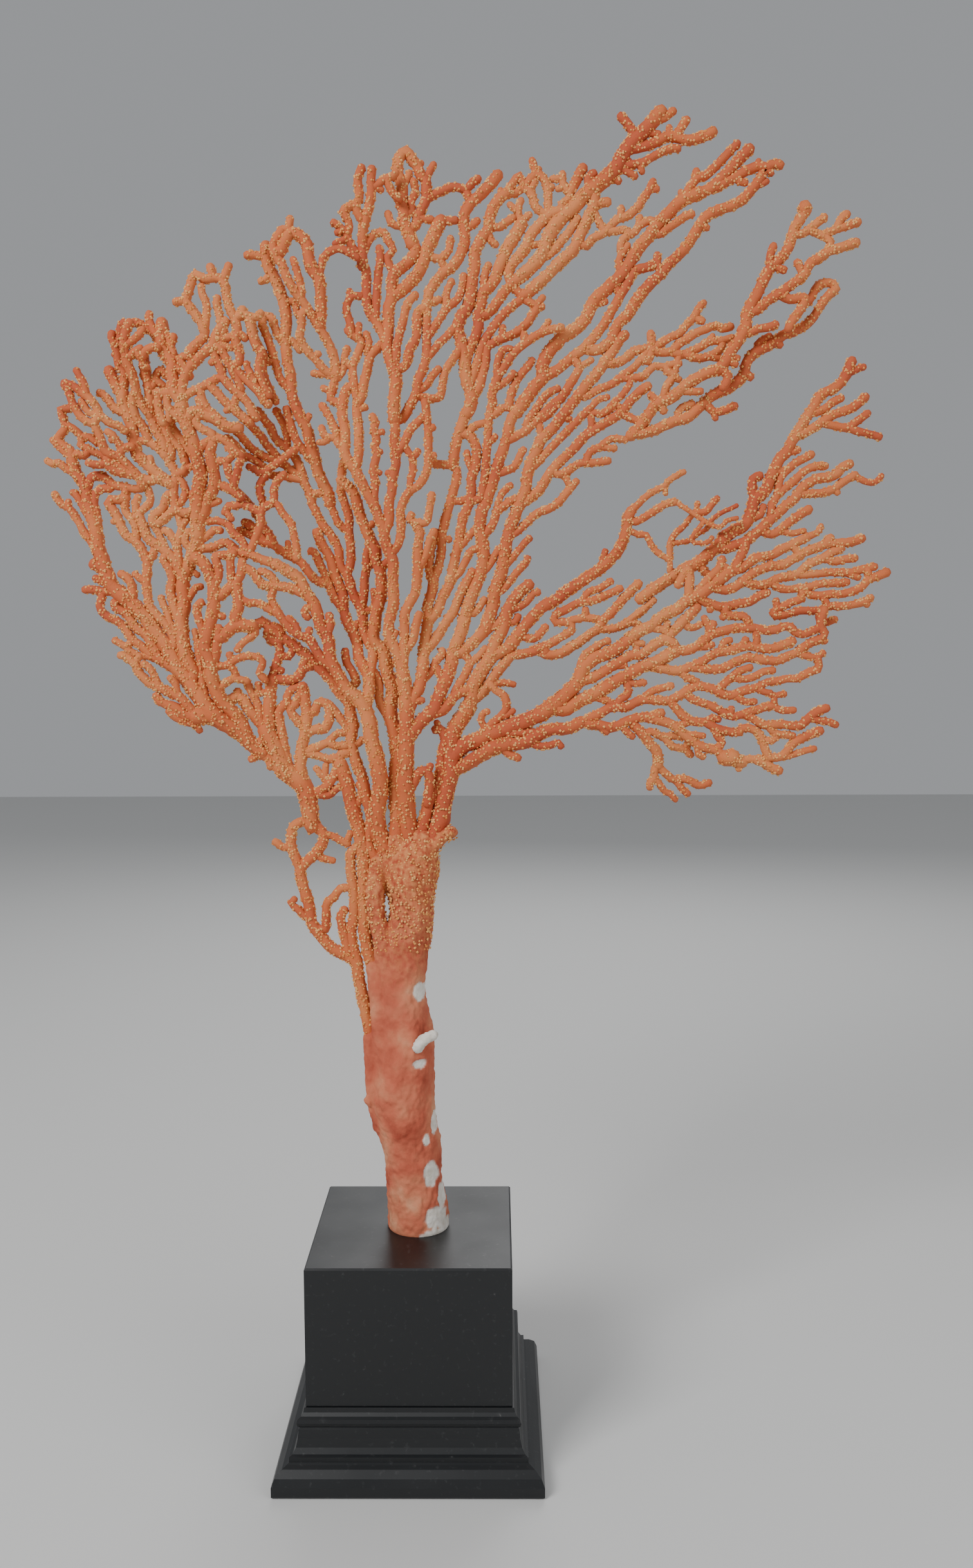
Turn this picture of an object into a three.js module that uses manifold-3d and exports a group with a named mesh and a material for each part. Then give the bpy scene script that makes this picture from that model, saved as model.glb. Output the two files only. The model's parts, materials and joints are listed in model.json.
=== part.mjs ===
// A dried sea fan on a black painted plinth. Millimetres, +Z up, the front faces -Y.
// The origin is the middle of the plinth's underside.
import * as THREE from "three";
import { mergeVertices } from "three/addons/utils/BufferGeometryUtils.js";
import Module from "manifold-3d";

const wasm = await Module();
wasm.setup();

// Driving dimensions.
const BLOCK_WIDTH = 95;
const BLOCK_BOTTOM = 36;
const PLINTH_TOP = 101.6;
const FOOT_HALF = 61.9;
const SEAM = 0.3; // gap between two pieces that touch
const SLIVER = 0.02; // edges shorter than this, left by a cut, are closed up
const DEPTH_BLEND = 50; // length over which a limb leaves its parent's depth for its own
const STRAIGHTEN = 4; // a twig's bends smaller than this are left out of the solid
const TRUNK_SIDES = 9;
const SHORTEST_TWIG = 27; // shorter spurs are left out of the solid

// ---- Geometry helpers ----

// A three.js geometry as a manifold solid.
function solid(geometry) {
  const bare = new THREE.BufferGeometry();
  const flat = geometry.index ? geometry.toNonIndexed() : geometry;
  bare.setAttribute("position", flat.getAttribute("position"));
  const merged = mergeVertices(bare, 1e-4);
  return new wasm.Manifold(
    new wasm.Mesh({
      numProp: 3,
      vertProperties: merged.attributes.position.array,
      triVerts: new Uint32Array(merged.index.array),
    }),
  );
}

// A manifold solid as a three.js geometry.
function geometryOf(body) {
  const mesh = body.getMesh();
  const count = mesh.vertProperties.length / mesh.numProp;
  const points = new Float32Array(count * 3);
  for (let i = 0; i < count; i++) {
    for (let k = 0; k < 3; k++) points[3 * i + k] = mesh.vertProperties[mesh.numProp * i + k];
  }
  const geometry = new THREE.BufferGeometry();
  geometry.setAttribute("position", new THREE.BufferAttribute(points, 3));
  geometry.setIndex(new THREE.BufferAttribute(new Uint32Array(mesh.triVerts), 1));
  geometry.computeVertexNormals();
  return geometry;
}

// A tapering stem: a straight prism with one step per leg, bent along the route.
function stem(route, radii, sides, grow) {
  const outline = new THREE.Shape();
  for (let i = 0; i < sides; i++) {
    const a = (2 * Math.PI * (i + 0.5)) / sides;
    if (i === 0) outline.moveTo(Math.cos(a), Math.sin(a));
    else outline.lineTo(Math.cos(a), Math.sin(a));
  }
  outline.closePath();
  const legs = route.length - 1;
  const prism = new THREE.ExtrudeGeometry(outline, { steps: legs, depth: legs, bevelEnabled: false });
  const frames = route.map((point, k) => {
    const before = route[Math.max(0, k - 1)];
    const after = route[Math.min(legs, k + 1)];
    const along = new THREE.Vector3().subVectors(after, before).normalize();
    const across = new THREE.Vector3(0, 1, 0).cross(along).normalize();
    const up = new THREE.Vector3().crossVectors(along, across);
    return { point, along, across, up, radius: radii[k] + grow };
  });
  const position = prism.getAttribute("position");
  for (let i = 0; i < position.count; i++) {
    const k = Math.round(position.getZ(i));
    const f = frames[k];
    const p = f.point
      .clone()
      .addScaledVector(f.across, position.getX(i) * f.radius)
      .addScaledVector(f.up, position.getY(i) * f.radius);
    if (k === 0) p.addScaledVector(f.along, -grow);
    if (k === legs) p.addScaledVector(f.along, grow);
    position.setXYZ(i, p.x, p.y, p.z);
  }
  return solid(prism);
}

// Several solids joined into one.
function joined(solids) {
  return wasm.Manifold.union(solids);
}

// The largest body of a solid, which drops chips cut off by a neighbour and slivers left by a cut.
function largest(body) {
  const bodies = body.decompose();
  return bodies.reduce((a, b) => (b.volume() > a.volume() ? b : a)).simplify(SLIVER);
}

// ---- The branches ----
// Each limb is a name, the limb it grows from, and its depth. Each line after it is one branch:
// the radius at its start and end, ":" for a branch or "~" for a link that grows back into the
// limb at its far end, and its route as X,Z pairs. A line that starts with spaces carries on.
const FAN = `
@left_limb trunk 0
3 2.6 : -20,196 -22,205 -23,211 -24.5,218 -26,226 -27,232 -31.5,236 -36,238 -40,241 -44,246 -48,252
  -49,260 -51,267 -53,275 -52,279.5 -46,285 -43,289 -41.5,294 -44.5,298 -48,300
2.4 2.4 ~ -53,277 -55,283 -57,288.5 -57,294.5 -56,298.5 -51.5,301
4 4.8 : -47,298 -48,306 -49,313 -51,318 -55,322 -59,325
4.8 4.2 : -58,323 -60,326 -62,332 -64,337 -66.5,341.5 -68.5,345.5
2 1.8 : -57,289 -61,288.5 -65,291.5
1.9 1.7 : -46,284.5 -41.5,283 -37,282
1.9 1.9 : -41.5,295 -37.5,294 -34,292 -30,290
1.7 1.6 : -31,291 -28.5,295.5
1.9 1.8 : -49.5,253.5 -54.5,258.5 -58,261.5 -56,263.5
2.4 2 ~ -46,249 -41.5,249 -41,256 -40.5,261.5 -37,264.5 -34,268.5 -29,269
2.4 2.2 : -31.5,236 -31.5,242 -33,248.5 -34,254.5 -32,258.5
2.6 2.4 ~ -62,328 -66,327.5 -66,331 -69.5,332.5 -72.5,336 -69.5,340 -67.5,343.5
1.8 1.8 : -64.5,329 -66.5,326.5
2.6 2.4 ~ -26,232 -28.5,241 -29,248.5 -28,253 -27.5,260 -27.5,267 -28.5,273 -29,279 -28.5,286 -24.5,289
@middle_left_limb trunk 0
3.2 3.4 : -18,230 -21,238 -22.5,248 -22.5,256 -23,264 -22.5,273 -23,286 -24,292 -25,298 -27,305 -29,313
  -30,318.5 -31.5,323 -33.5,329
2 1.8 : -27,306 -25.5,309 -23,314 -24.5,319
2.4 2.2 ~ -33,328 -33,333 -29,333.5
2.2 2.4 : -34,329 -35.5,324 -39,318.5 -43.5,315 -48,313
1.8 1.7 : -40,319 -40.5,324 -40,328
1.7 1.6 : -41,321 -45,326.5
2 1.8 : -45.5,313.5 -39,313.5 -35,316.5 -31,318.5
@yellow_limb trunk 0
2.8 2.5 : -16,282 -20,289 -19.5,296 -19,304 -21,312 -22,318 -23.5,323.5 -25.5,328.5 -27,334 -28,340
  -27,346 -28,351.5 -29,357 -33,361.5 -35.5,365.5 -39,370 -43,374 -47,378.5 -51.5,382 -56,385.5 -60,388
1.8 1.7 : -24.5,338 -22.5,340
2.2 2 : -29,358 -28.5,364 -25.5,367 -27,371.5 -30,376.5 -30.5,382
2.6 2.4 : -60,388 -64,391 -69,395.5 -72,393.5 -75.5,393.5
2.2 2 : -59,387 -64,386 -67,390 -64,393.5 -60,391 -62,386
@left_centre_limb trunk -7
4.2 3.4 : -12,286 -15.5,297 -15.5,307 -14,316 -14,321 -15,329 -16.5,336 -18,341 -18.5,347 -20,353
  -22,357 -24.5,360 -28.5,362.5
3 2.6 : -28,361.5 -30,365 -32,369 -35,374 -37,378.5 -37,384 -38.5,389 -41,393 -42.5,399 -44,404 -47,408
  -50.5,415 -56.5,419 -62,422
2.2 2 : -38.5,389 -36.5,393.5 -37,398.5
2.3 2 : -35,373.5 -40.5,378 -44,383.5 -47,388 -50.5,388.5 -55,392 -60,398.5 -61.5,401.5
1.7 1.6 : -47,388 -46,392
1.8 1.7 : -51.5,389 -52.5,393.5 -56,397
2 1.8 : -44,403 -48.5,400 -46.5,397
2.4 2 : -49,408 -53.5,410.5 -60.5,411.5 -66.5,412 -69,414 -72,418.5 -76.5,420.5
1.9 1.8 : -60.5,412 -64,417 -68.5,418.5
1.9 1.8 : -62,411.5 -63.5,406.5 -61.5,401.5
2 1.8 ~ -60,398.5 -64,400.5 -68.5,403.5 -74,404 -77.5,406
@tall_left_limb trunk 0
3.8 3.2 : -7,292 -6.5,301 -7,311 -7,318 -6.5,325 -6,332 -6.5,339 -7.5,344 -9,350 -9.5,356 -8,361
  -8.5,366 -10.5,370 -11.5,375 -12,380 -13.5,384
2.9 2.5 : -13,382 -17,387 -16.5,393 -15.5,400 -13.5,406.5 -13,413 -13.5,419 -15.5,423.5 -15.5,428.5
  -18,434 -20,438.5 -22,443.5 -23.5,449 -25.5,455 -28.5,458.5 -31.5,461
2.3 2 : -10,350 -13.5,355.5 -15,360 -14.5,364 -15.5,369 -17.5,372.5
1.8 1.7 : -10.5,372 -7.5,377
1.7 1.6 : -8,315 -11.5,317 -10,321
1.9 1.9 ~ -13.5,420 -10,423.5 -8,426.5
1.8 1.7 : -19.5,438.5 -16.5,441
@centre_limb trunk -7
4.6 3.2 : 0,290 -1.5,300 -2,320 -1.5,340 -1.5,360 -3,372
2.7 2.5 : -2.5,370 -6,382 -9,387 -9.5,393 -8,399 -7,404 -7,411 -7,418 -7,423.5 -8.5,427 -10.5,432
  -11,438 -13.5,443.5 -15.5,449 -18.5,454 -21.5,460 -23.5,464
2.5 2.2 : -2.5,371 -2.5,380 -2,390 -2,398 -0.5,402 3,408 4,414 4.5,420 4.5,426.5 5,432 6,436.5
1.8 1.7 : -8.5,386 -6,390.5
2.2 2 : -2,381 2,387 3.5,394 5,399
1.8 1.7 : 0,358 6.5,358.5
2 1.8 : 3.5,440.5 0.5,442 2,444.5
1.9 1.8 : 5.5,420.5 8.5,426.5 10,432 12.5,437
1.9 1.8 ~ 6,436 3.5,440.5 8.5,440.5 10,445.5 11,450.5 11.5,453.5
2.4 2.2 : -10.5,436 -8.5,442 -8.5,448.5 -7,455 -6.5,460.5 -5,466.5 -5,471.5 -5.5,477 -5,483 -5.5,490
1.7 1.6 : -6.5,462 -9,463
2 1.9 : -5,471 -1,476.5 1.5,481.5 4.5,485 8,488
1.8 1.6 : -1,475 3,470 5.5,473
1.7 1.6 : 3,471 3,464 1.5,459 1.5,455
2.1 1.9 ~ -8,426 -4.5,430.5 -3,436.5 -3,441.5 -3,446.5 -1,451.5 1.5,455 5,457 8.5,462 10,468 10,473.5
  10,480.5 9.5,488 8.5,495
1.8 1.8 : 10,482 12.5,483.5
1.7 1.6 : 10,470 13,471
2 1.9 : -15.5,449 -14.5,459 -15.5,463.5 -14.5,468 -13.5,471.5 -14.5,475 -13.5,478 -15,482 -14,485
  -15.5,488.5
1.5 1.4 : -15,464 -12,463
1.5 1.4 : -14,472 -11.5,472.5
1.5 1.4 : -13.5,480.5 -10.5,481.5
2.4 2.2 ~ 1,318 4,324 7.5,325.5 9.5,322 9,316 8,309
1.7 1.6 : 8.5,324 10,328
@right_limb_low trunk 0
4.4 3.8 : 9,290 12,296 14.5,302 15.5,310 17,316 18.5,322 19.5,330 19.5,335.5 20,341.5 22,346.5 25.5,351
  28,356
3.7 2.7 : 26,352 29,359 30,365 33.5,371.5 36.5,376 39,381 40.5,385.5 43,390 45,394 46,400 50,406.5
  55,411.5 57,413
3.1 2.5 : 36,375 40,379.5 46,382.5 50,387 53,391.5 57,396 60,399.5 63.5,402.5 69.5,405.5 73.5,409 80,413
  85,416.5 90.5,420 94.5,424 98.5,428.5 101.5,436.5 102,442 104,446.5
2.5 2.3 : 29,357 34,361.5 37.5,366 41,371 45,375.5 48,379 53,380 59.5,381.5 62.5,383
2.9 2.9 : 60,381.5 62.5,383 64,380.5
2.1 2 : 62.5,383 66,384.5 70,387 74.5,389.5 76.5,391 76.5,393.5 73,395 69.5,394.5 68,396.5 70,399.5
2.4 2.2 : 62.5,380 68.5,379.5 73,381 77,383.5 81.5,386.5 85.5,389.5 89.5,392 91,395.5 94.5,398.5
  99,403.5 103,408 108,413
2 1.8 : 89.5,391.5 95,391.5 100,393 104.5,394.5 108.5,393.5
2 1.8 : 101,393.5 105.5,397 109.5,400 115,405
1.9 1.9 ~ 75.5,395.5 80,396.5 83,397 89.5,396
1.8 1.7 : 46.5,395 49.5,395 51.5,398
2 1.9 : 53,388.5 58.5,387 62,390 64.5,393
1.8 1.6 : 40.5,366 45,366.5 49.5,365.5
2.2 2.3 : 46,400 44.5,397 41,393.5 37,392
1.9 1.8 : 49,401 55,404 58.5,408.5 61,409
2.1 1.9 : 70,399.5 73.5,400.5 80,404 87,405 94,408 99.5,410.5
1.8 1.7 : 82,405.5 84.5,409 89.5,410.5 92,412 95,414
1.7 1.6 : 90,419.5 92,428
1.8 1.8 : 83,397 83,401
1.6 1.4 : 103,437 108,435 111,435 113,431 116,427 119,425 122,423 122,418
1.6 1.3 : 122,424 122,431 124,435 128,438.5 130.5,442 133.5,445.5 134.5,449.5
1.8 1.7 : 133,445 138,445 140.5,448 143.5,451.5
1.2 1.1 : 122,431 130.5,432 134.5,435 139.5,438 141,441.5 145,444.5 149.5,446.5 152.5,448
@centre_low_twigs trunk 0
3.4 2.6 : 5,296 7,303 9,310 12,316 14,322
2.4 2.3 : 13.5,321 14.5,329 15.5,335 16.5,340 14,345 11.5,344
1.7 1.6 : 13.5,344.5 12.5,348
@left_yellow_crown left_centre_limb 0
2.2 2 : -62,422 -68,424 -73.5,426.5 -78.5,427 -82,429.5
1.9 1.8 : -68,440 -68,445 -66.5,448 -62,450.5 -62,456.5 -60,460.5 -57,463.5
1.8 1.9 : -60,449 -58,445.5 -54,440.5 -53,436.5 -51.5,429 -51.5,424
1.9 2 : -75,428.5 -77,433 -80.5,435.5 -83,440
1.8 1.9 : -76.5,449.5 -80,448.5 -83,449 -85,445.5
1.7 1.6 : -84,446 -81.5,442.5
@right_pink_twigs right_limb_low -7
1.9 1.8 : 102,442 106,441 110,443 115,446 120,449 124,449.5
1.8 1.4 : 103,445 107,449 112,453.5 119,457 121,459.5 127.5,463
1.3 1.2 : 119,457 119.5,453
1.4 1.7 : 103,445 102,438 101,433 98,428
1.2 1.1 : 140,438.5 144.5,438 147,440.5 151.5,441.5
1.2 1.1 : 131,432 135,430.5 138,430.5 140.5,433
@upper_mid_left centre_limb 0
2.5 2.4 : -23.5,464 -27,468.5 -28.5,473 -28,478.5 -28.5,484 -29.5,490 -29,497 -27,502 -24,502
2.2 2.1 : -23,464 -22,471 -22,478 -22,484 -23,493 -20.5,498 -19.5,504 -18,510.5 -16.5,516.5 -13,520
  -10.5,522
1.8 1.7 : -17,516 -18,518.5 -17,523 -18.5,526.5
1.6 1.6 : -22,492 -18.5,493
2 1.9 : -23,497 -23.5,500 -24.5,506.5 -24.5,512 -22,518 -20.5,523 -24.5,525.5 -27,528
1.7 1.6 : -22,524.5 -21.5,530.5
1.9 1.8 ~ -25,526 -25.5,530.5 -27,535.5 -27,539 -24.5,543 -20,543
1.6 1.6 : -25.5,541.5 -25.5,545.5
1.8 1.7 : -24.5,511 -28.5,514 -27,520
2 1.9 : -29.5,493 -31.5,495 -35,497 -33.5,502 -33,505.5 -29.5,509 -28.5,513.5
1.6 1.6 : -34.5,500 -38.5,502
1.6 1.6 : -33,506.5 -37,508 -43,508.5
2 1.8 : -28.5,474 -31.5,476.5 -32,480.5 -34,485.5 -36.5,490.5 -39,494
1.8 1.7 : -32,479 -35,479 -38,480.5 -39,484
1.6 1.5 : -35.5,478.5 -38,477 -40.5,477
@left_lobe_fork left_limb 0
3.4 2.9 : -67,343 -66.5,350 -66.5,354.5 -66,360 -65.5,364.5 -65,369
2.9 2.5 ~ -69,346 -72,350 -74.5,352.5 -76.5,355.5 -78.5,359 -81,360.5 -84,359 -88,357
1.8 1.8 : -81,360.5 -81,363.5
2.1 1.9 : -70.5,350 -71.5,355.5 -73,359.5 -74.5,362 -76,365.5 -77,368
1.9 1.8 : -73,360.5 -71.5,362 -71.5,366.5
1.6 1.6 : -71.5,361 -68.5,362.5
2.2 2 ~ -65,369 -63.5,373.5 -62,378 -61,382 -62,386
1.9 1.8 : -63,373 -60,372.5
2.4 2.2 : -65,368.5 -61,368.5 -57,368 -52,370 -49.5,377 -48,378.5
2 1.9 ~ -61.5,380 -57,379 -55,382.5
2.2 2 ~ -53,370 -50.5,373 -46,374.5
@upper_centre_left centre_limb 0
2.9 2.6 : -5.5,486 -5.5,495.5 -4.5,503 -5,508 -7,513.5 -8.5,519 -8.5,526.5 -8,532 -8,538 -6.5,542
  -6.5,548 -5.5,553 -1.5,556.5 3,560.5 4.5,565 3,568.5 1.5,572
2.7 3.2 : -6.5,543 -3,545 1.5,549 5.5,553.5 8,559 9.5,564 12,569 14.5,574.5 16.5,578
2 1.9 : 16.5,577 19,577.5 23,578
1.9 1.8 : 8.5,560 10.5,561.5 15.5,560.5 19.5,564 20.5,570
1.6 1.6 : 15.5,560.5 18,556
2.3 2.1 : -9,521 -12,528.5 -15,533.5 -17,536.5 -18,542 -18,549 -18,555 -20,557
2 1.9 : -14,532 -13.5,542 -13,549 -12,556.5 -11.5,560.5 -12,565
1.9 1.8 : -5.5,553 -8.5,560.5 -5.5,564 -8,568 -9.5,571.5 -13.5,571.5 -16.5,568 -18.5,564 -20,560
@upper_left_arch upper_mid_left -7
2.2 2.1 : -32,506 -33,515.5 -35.5,522 -39.5,528.5 -41.5,532 -45.5,538 -49.5,543 -53,549 -55,555
  -58,558.5 -58.5,563.5 -54.5,570
1.9 1.8 : -54,569.5 -52,570 -51,575
2.8 2.6 ~ -55.5,560 -53.5,565 -50.5,568.5 -46.5,567 -43.5,563.5 -43,558 -41.5,553 -38.5,548.5 -38,542
  -38,535.5 -38.5,529
1.7 1.6 : -38,549 -37,556.5
1.9 1.8 : -37,556.5 -34.5,560 -29.5,562 -25,560.5 -21,558
1.8 1.7 : -46.5,540 -46.5,543.5 -48,550.5 -50,557
2 1.9 ~ -33,508 -36.5,509 -42,515 -45.5,518.5 -48,523.5 -47,529 -47,533.5 -45,535.5 -41.5,532
1.6 1.5 : -42,516 -39.5,517
@left_middle_limb left_centre_limb 7
2.7 2.4 : -20.5,353 -19,362 -19,368 -21,373 -24,378 -25,384 -27,390 -30,395 -32,403 -32,409 -35,416
  -36.5,421 -38,426 -42,433 -44,438
1.8 1.7 : -27,390 -25.5,395
2.5 2.3 : -19,368 -18,376 -17.5,381.5 -20,386 -22,391 -22.5,396 -23,401 -26.5,407 -28.5,413.5 -30.5,419
2.2 2 : -30,418 -28,423.5 -28,430.5 -28.5,438 -28.5,445 -30.5,451.5 -32,457 -31.5,463 -31,468.5 -28.5,472
2.2 2 : -30.5,418.5 -33,422 -33.5,428.5 -35.5,433.5 -38.5,438 -41.5,442 -43.5,446.5 -45.5,450
1.9 1.8 : -29,438 -33,441 -35,445 -36.5,449 -38,453
2.3 2 : -22,396 -23,402 -22,409 -21.5,416.5 -20.5,421.5 -20.5,426.5 -19,431.5 -19,436
1.7 1.7 ~ -20.5,421 -16.5,423.5
1.8 1.7 : -20.5,401 -17,402 -17.5,410.5
2.2 2 : -31.5,401 -33.5,403 -36.5,408 -38.5,413 -40.5,418 -43,423.5 -45,428 -47,429
2.2 2 : -38.5,413 -40,413.5 -45,415.5 -48,419 -52,424 -57,426.5 -62,430 -65.5,432 -70.5,433.5
  -75.5,436.5 -80.5,438.5
2.2 2 : -45.5,450 -46.5,455 -49,460.5 -50.5,466.5 -54,473 -58,477 -62,480.5 -64,485.5 -66.5,488.5
  -70,493.5
1.8 1.7 : -67,433 -72,438 -75,441.5 -78,442.5
1.7 1.6 : -56.5,427 -57.5,433
1.9 1.8 : -56.5,476 -56.5,483 -58.5,488 -61.5,493.5
2 1.9 : -50,463 -52,464 -58,468.5 -62,473 -66.5,478 -68.5,481.5 -73.5,486.5 -77,490.5 -81,495
1.9 1.9 ~ -46,455 -38,456
2 1.9 : -63.5,430.5 -65.5,435.5 -68.5,440 -71.5,445 -74,449 -77,453 -80.5,456.5
1.8 1.7 : -78.5,443 -75,439.5
2 1.9 : -58.5,468.5 -65.5,471.5 -70.5,474 -75.5,478.5 -80,484 -85,486
2 1.9 : -49.5,461.5 -56.5,463 -61.5,463.5 -65.5,464 -69,468.5 -73.5,471.5 -77,473 -81,478 -85,481
@upper_left_limb left_middle_limb 0
2.8 2.6 : -37,450 -38,456 -39.5,459 -42,464 -43,468.5 -44,473.5 -45.5,479 -46.5,484 -49,488.5 -51.5,495
1.7 1.6 : -47,486 -45,490
2 1.9 : -44,469 -48,474 -51.5,479 -53.5,485 -55.5,493
1.8 1.7 : -67,464.5 -70.5,465.5 -74,467
1.9 1.8 : -65.5,464 -69,459 -68.5,453 -66.5,448
@upper_left_tall upper_left_limb 0
2.4 2.8 : -51.5,495 -53,500.5 -53,508 -54.5,513.5 -55,520.5 -55.5,523.5 -54.5,530.5 -55,537 -56.5,543
  -58.5,548.5 -61.5,554 -63,559 -63,565
2 2 : -63.5,559.5 -67,560.5 -72,560.5
1.8 1.8 : -61.5,552 -64,549.5 -66,549
1.8 1.8 ~ -55,522 -52,523 -48.5,518.5
1.8 1.7 ~ -55.5,540 -50.5,540 -49.5,535 -47,533
2 1.9 ~ -55.5,523 -57,523 -59.5,528 -61.5,533.5 -64,534 -65.5,530.5 -63.5,525 -61.5,519 -60,513
  -58,506.5 -54,501.5
2 1.9 : -61,514 -63,513.5 -65,516.5 -68.5,523 -70,530
1.9 1.8 : -65,516 -65.5,509 -63,502 -60,495.5
@right_main_limb right_limb_low -7
4 4 : 19,330 22.5,334.5 26.5,337.5 30,338.5 33.5,340 37,342 40.5,343 44.5,344.5 48.5,346.5 53.5,348
  58.5,350.5 62,352 65.5,354.5 68.5,356.5
3.6 2.5 : 68,356 72,359.5 75.5,363 78.5,366 80,369 81.5,373 84.5,376 88,378.5 91.5,379.5 95,381 98.5,383
  101.5,385.5 104.5,388 107,390 110,391.5 113.5,393 117,396.5 121.5,399 125,400.5 130,405
3.3 2.9 : 68,355 72,353.5 76,355.5 80,358 83.5,359.5 86.5,361 90,363 94.5,365.5 98,368 101.5,369.5
  105,371.5 108.5,373.5 112,375 116.5,376.5 121.5,379.5 125,381
2 1.9 : 34.5,342 37,345.5 40,348 43.5,351.5 45.5,354.5 45.5,358 44.5,360.5 40.5,363 38,366
1.7 1.6 : 44,350.5 47,352 49,353.5
1.8 1.6 : 35.5,344.5 33.5,349 35,352.5 37,353
2.5 2.4 : 78.5,365 80.5,367 85,368.5 88.5,370 92,372 95.5,374.5 98.5,376 101.5,378 105,379.5 108.5,379.5
  112,382 115.5,384.5 119.5,386.5 122,389 125,392 128.5,395.5 131.5,398.5 134,401.5
1.7 1.6 : 97,374 101.5,374.5
1.7 1.6 : 106.5,380 106.5,383
2.1 2 ~ 113.5,392 118.5,391 121,388.5
1.7 1.6 : 120,390.5 120.5,394.5
2.6 2.4 ~ 120.5,386.5 123,385 124.5,382 123,380
1.8 1.7 : 103,386.5 105,385 109.5,384.5
1.8 1.7 : 130,392 133,392 136,393.5
1.7 1.6 : 103,366.5 107,366 110.5,366.5
2 1.9 : 101.5,367 103,363 101.5,360 98.5,358 97.5,355.5
1.9 1.8 ~ 88,359.5 93,358 96,356
2.3 2.2 : 124,382 128.5,381 133,382.5 137,385.5 140,388 143.5,389.5 147,390.5 151,391.5 156,391.5
  160.5,391.5
1.8 1.7 : 134,382.5 138,383 141.5,384
1.8 1.7 : 140,389 139,393 137,396.5
1.9 1.9 : 140.5,389.5 141.5,394
1.9 1.8 : 157.5,392 157,395.5 155,397 151,397 147,398.5 147.5,401.5
1.6 1.5 : 149,397 146,396.5
2.1 1.9 : 160.5,391.5 164.5,390.5 169.5,390.5 173,392 176.5,392 178.5,389.5 182,388.5 185.5,389.5
  189.5,391.5
1.9 1.8 : 161,390.5 161.5,386 161,383.5
2 1.8 : 80,372 82,379 86.5,382.5 90.5,385 93.5,386
@right_spread_limb right_main_limb 0
3 2.8 : 129.5,404.5 132,405.5 135,407 138.5,409.5 143,413 147,416 150,418
2.3 2.2 : 149.5,418 153.5,418.5 158,421.5 160.5,423.5 164.5,424.5 169.5,425.5 173.5,428 178,430 182,432
  185,433.5
1.8 1.4 : 184.5,434 189.5,435.5 191,438.5
2.2 2.2 ~ 151.5,419.5 153.5,423.5 155.5,427 156.5,430.5
2 2 ~ 178.5,429 181,426 181.5,423.5
2.4 2.2 ~ 130.5,406 130,410.5 130.5,415 129.5,418.5
2.1 2 : 134,408 138,413 141.5,416.5 144.5,419.5 145.5,423.5
1.9 1.9 ~ 146,420 149,417.5
2.3 2.2 : 142.5,410 147,409 151.5,410.5 155,413 158,415.5 162,418 168,420 173.5,420.5 178,423 181.5,425
  185,427 189.5,428.5 193.5,430 200.5,430.5 205.5,431 210,432.5
2.2 2.2 : 193,430 195.5,433
1.8 1.8 : 167.5,419.5 168.5,421.5
2.2 2.1 : 155.5,412.5 160.5,411.5 165.5,411.5 169.5,413.5 173.5,415 178,415.5 181.5,417 184.5,420
  188,422 192,423.5 196.5,426.5 200.5,428 198.5,430.5
1.9 1.9 : 192.5,423 198,422 202,423 207,423.5
1.9 1.9 : 182,416 189.5,416.5 195,417 200.5,417 205.5,417 210.5,418.5 216,419.5
1.7 1.7 : 202,416.5 208.5,414.5
2 1.9 ~ 212,419 213,414.5 210.5,410.5 206.5,408.5 201.5,407 196.5,407 192,406.5 188,406.5 183.5,408.5
  181,410.5
2 2.2 : 213,413.5 217,415 221.5,417
1.9 1.9 : 168,412 173.5,409.5 178,409.5 181.5,410 186.5,410.5 192,412 198,412 203.5,412.5
1.9 1.9 : 182,409 183,405 178.5,403.5 174.5,401.5 171,400 169.5,398.5 171,397 176.5,398 182,399.5
  188,399.5 193,399.5
1.8 1.7 : 171.5,400.5 171,404.5
2 1.9 : 192,399.5 195,401.5 200,401.5 205.5,402 211.5,403.5 214.5,405.5
1.7 1.7 : 194.5,401.5 193.5,404.5 191.5,406
1.7 1.7 : 211,403 213,402
1.9 1.9 : 191,399.5 191,396
1.8 1.8 : 192,393.5 198.5,395.5
1.8 1.7 : 169.5,398.5 172,397.5
2.2 2.1 : 135,405 139.5,403 144.5,401.5 148.5,401.5 153.5,403 158.5,403.5 163,406.5 167,408
1.8 1.8 : 140,402.5 140,399.5
1.9 1.8 : 145.5,401.5 148,397.5 152,397 157,396.5
1.6 1.6 : 147,399 146,396
2.4 2.4 : 130,405 127,402.5 124,400
2 2 : 130,418.5 127,415 125,411
@centre_right_limb centre_limb 0
2.9 2.5 : -1,351 2,360 4.5,364 6,372 6.5,378 7,384 8,392 9,398 8.5,403 10.5,409 11.5,415
2.2 2 : 11,413 9.5,420 10,426.5 11.5,433 12.5,437.5
2.3 2 : 11,414 13.5,420 15,426.5 15.5,431.5 15.5,436 17,441.5 18.5,446.5 20,452 21.5,457 23,462 22,466.5
  18,467.5 13,468 10,468.5
1.7 1.6 : 15.5,434 19.5,433.5
2.4 2.2 : 7,381 11.5,386 15,391.5 18,396.5 20.5,399.5 23.5,407 27,413.5 30,419
2.4 2.2 : 8.5,395 13,400 15.5,406.5 19,413 20.5,420 22,426.5 23.5,432 24.5,438 25.5,443.5 28,449
  29.5,455 29.5,461.5 31.5,466.5 32,472 31.5,477 28.5,481 25,481.5
2.5 2.4 : 21,468 22,474 23,479 25,485 27,490.5 29,495
1.9 1.8 : 28,482 32,485.5 36,486.5
1.7 1.6 : 30,465 28.5,468 27.5,473.5
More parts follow.
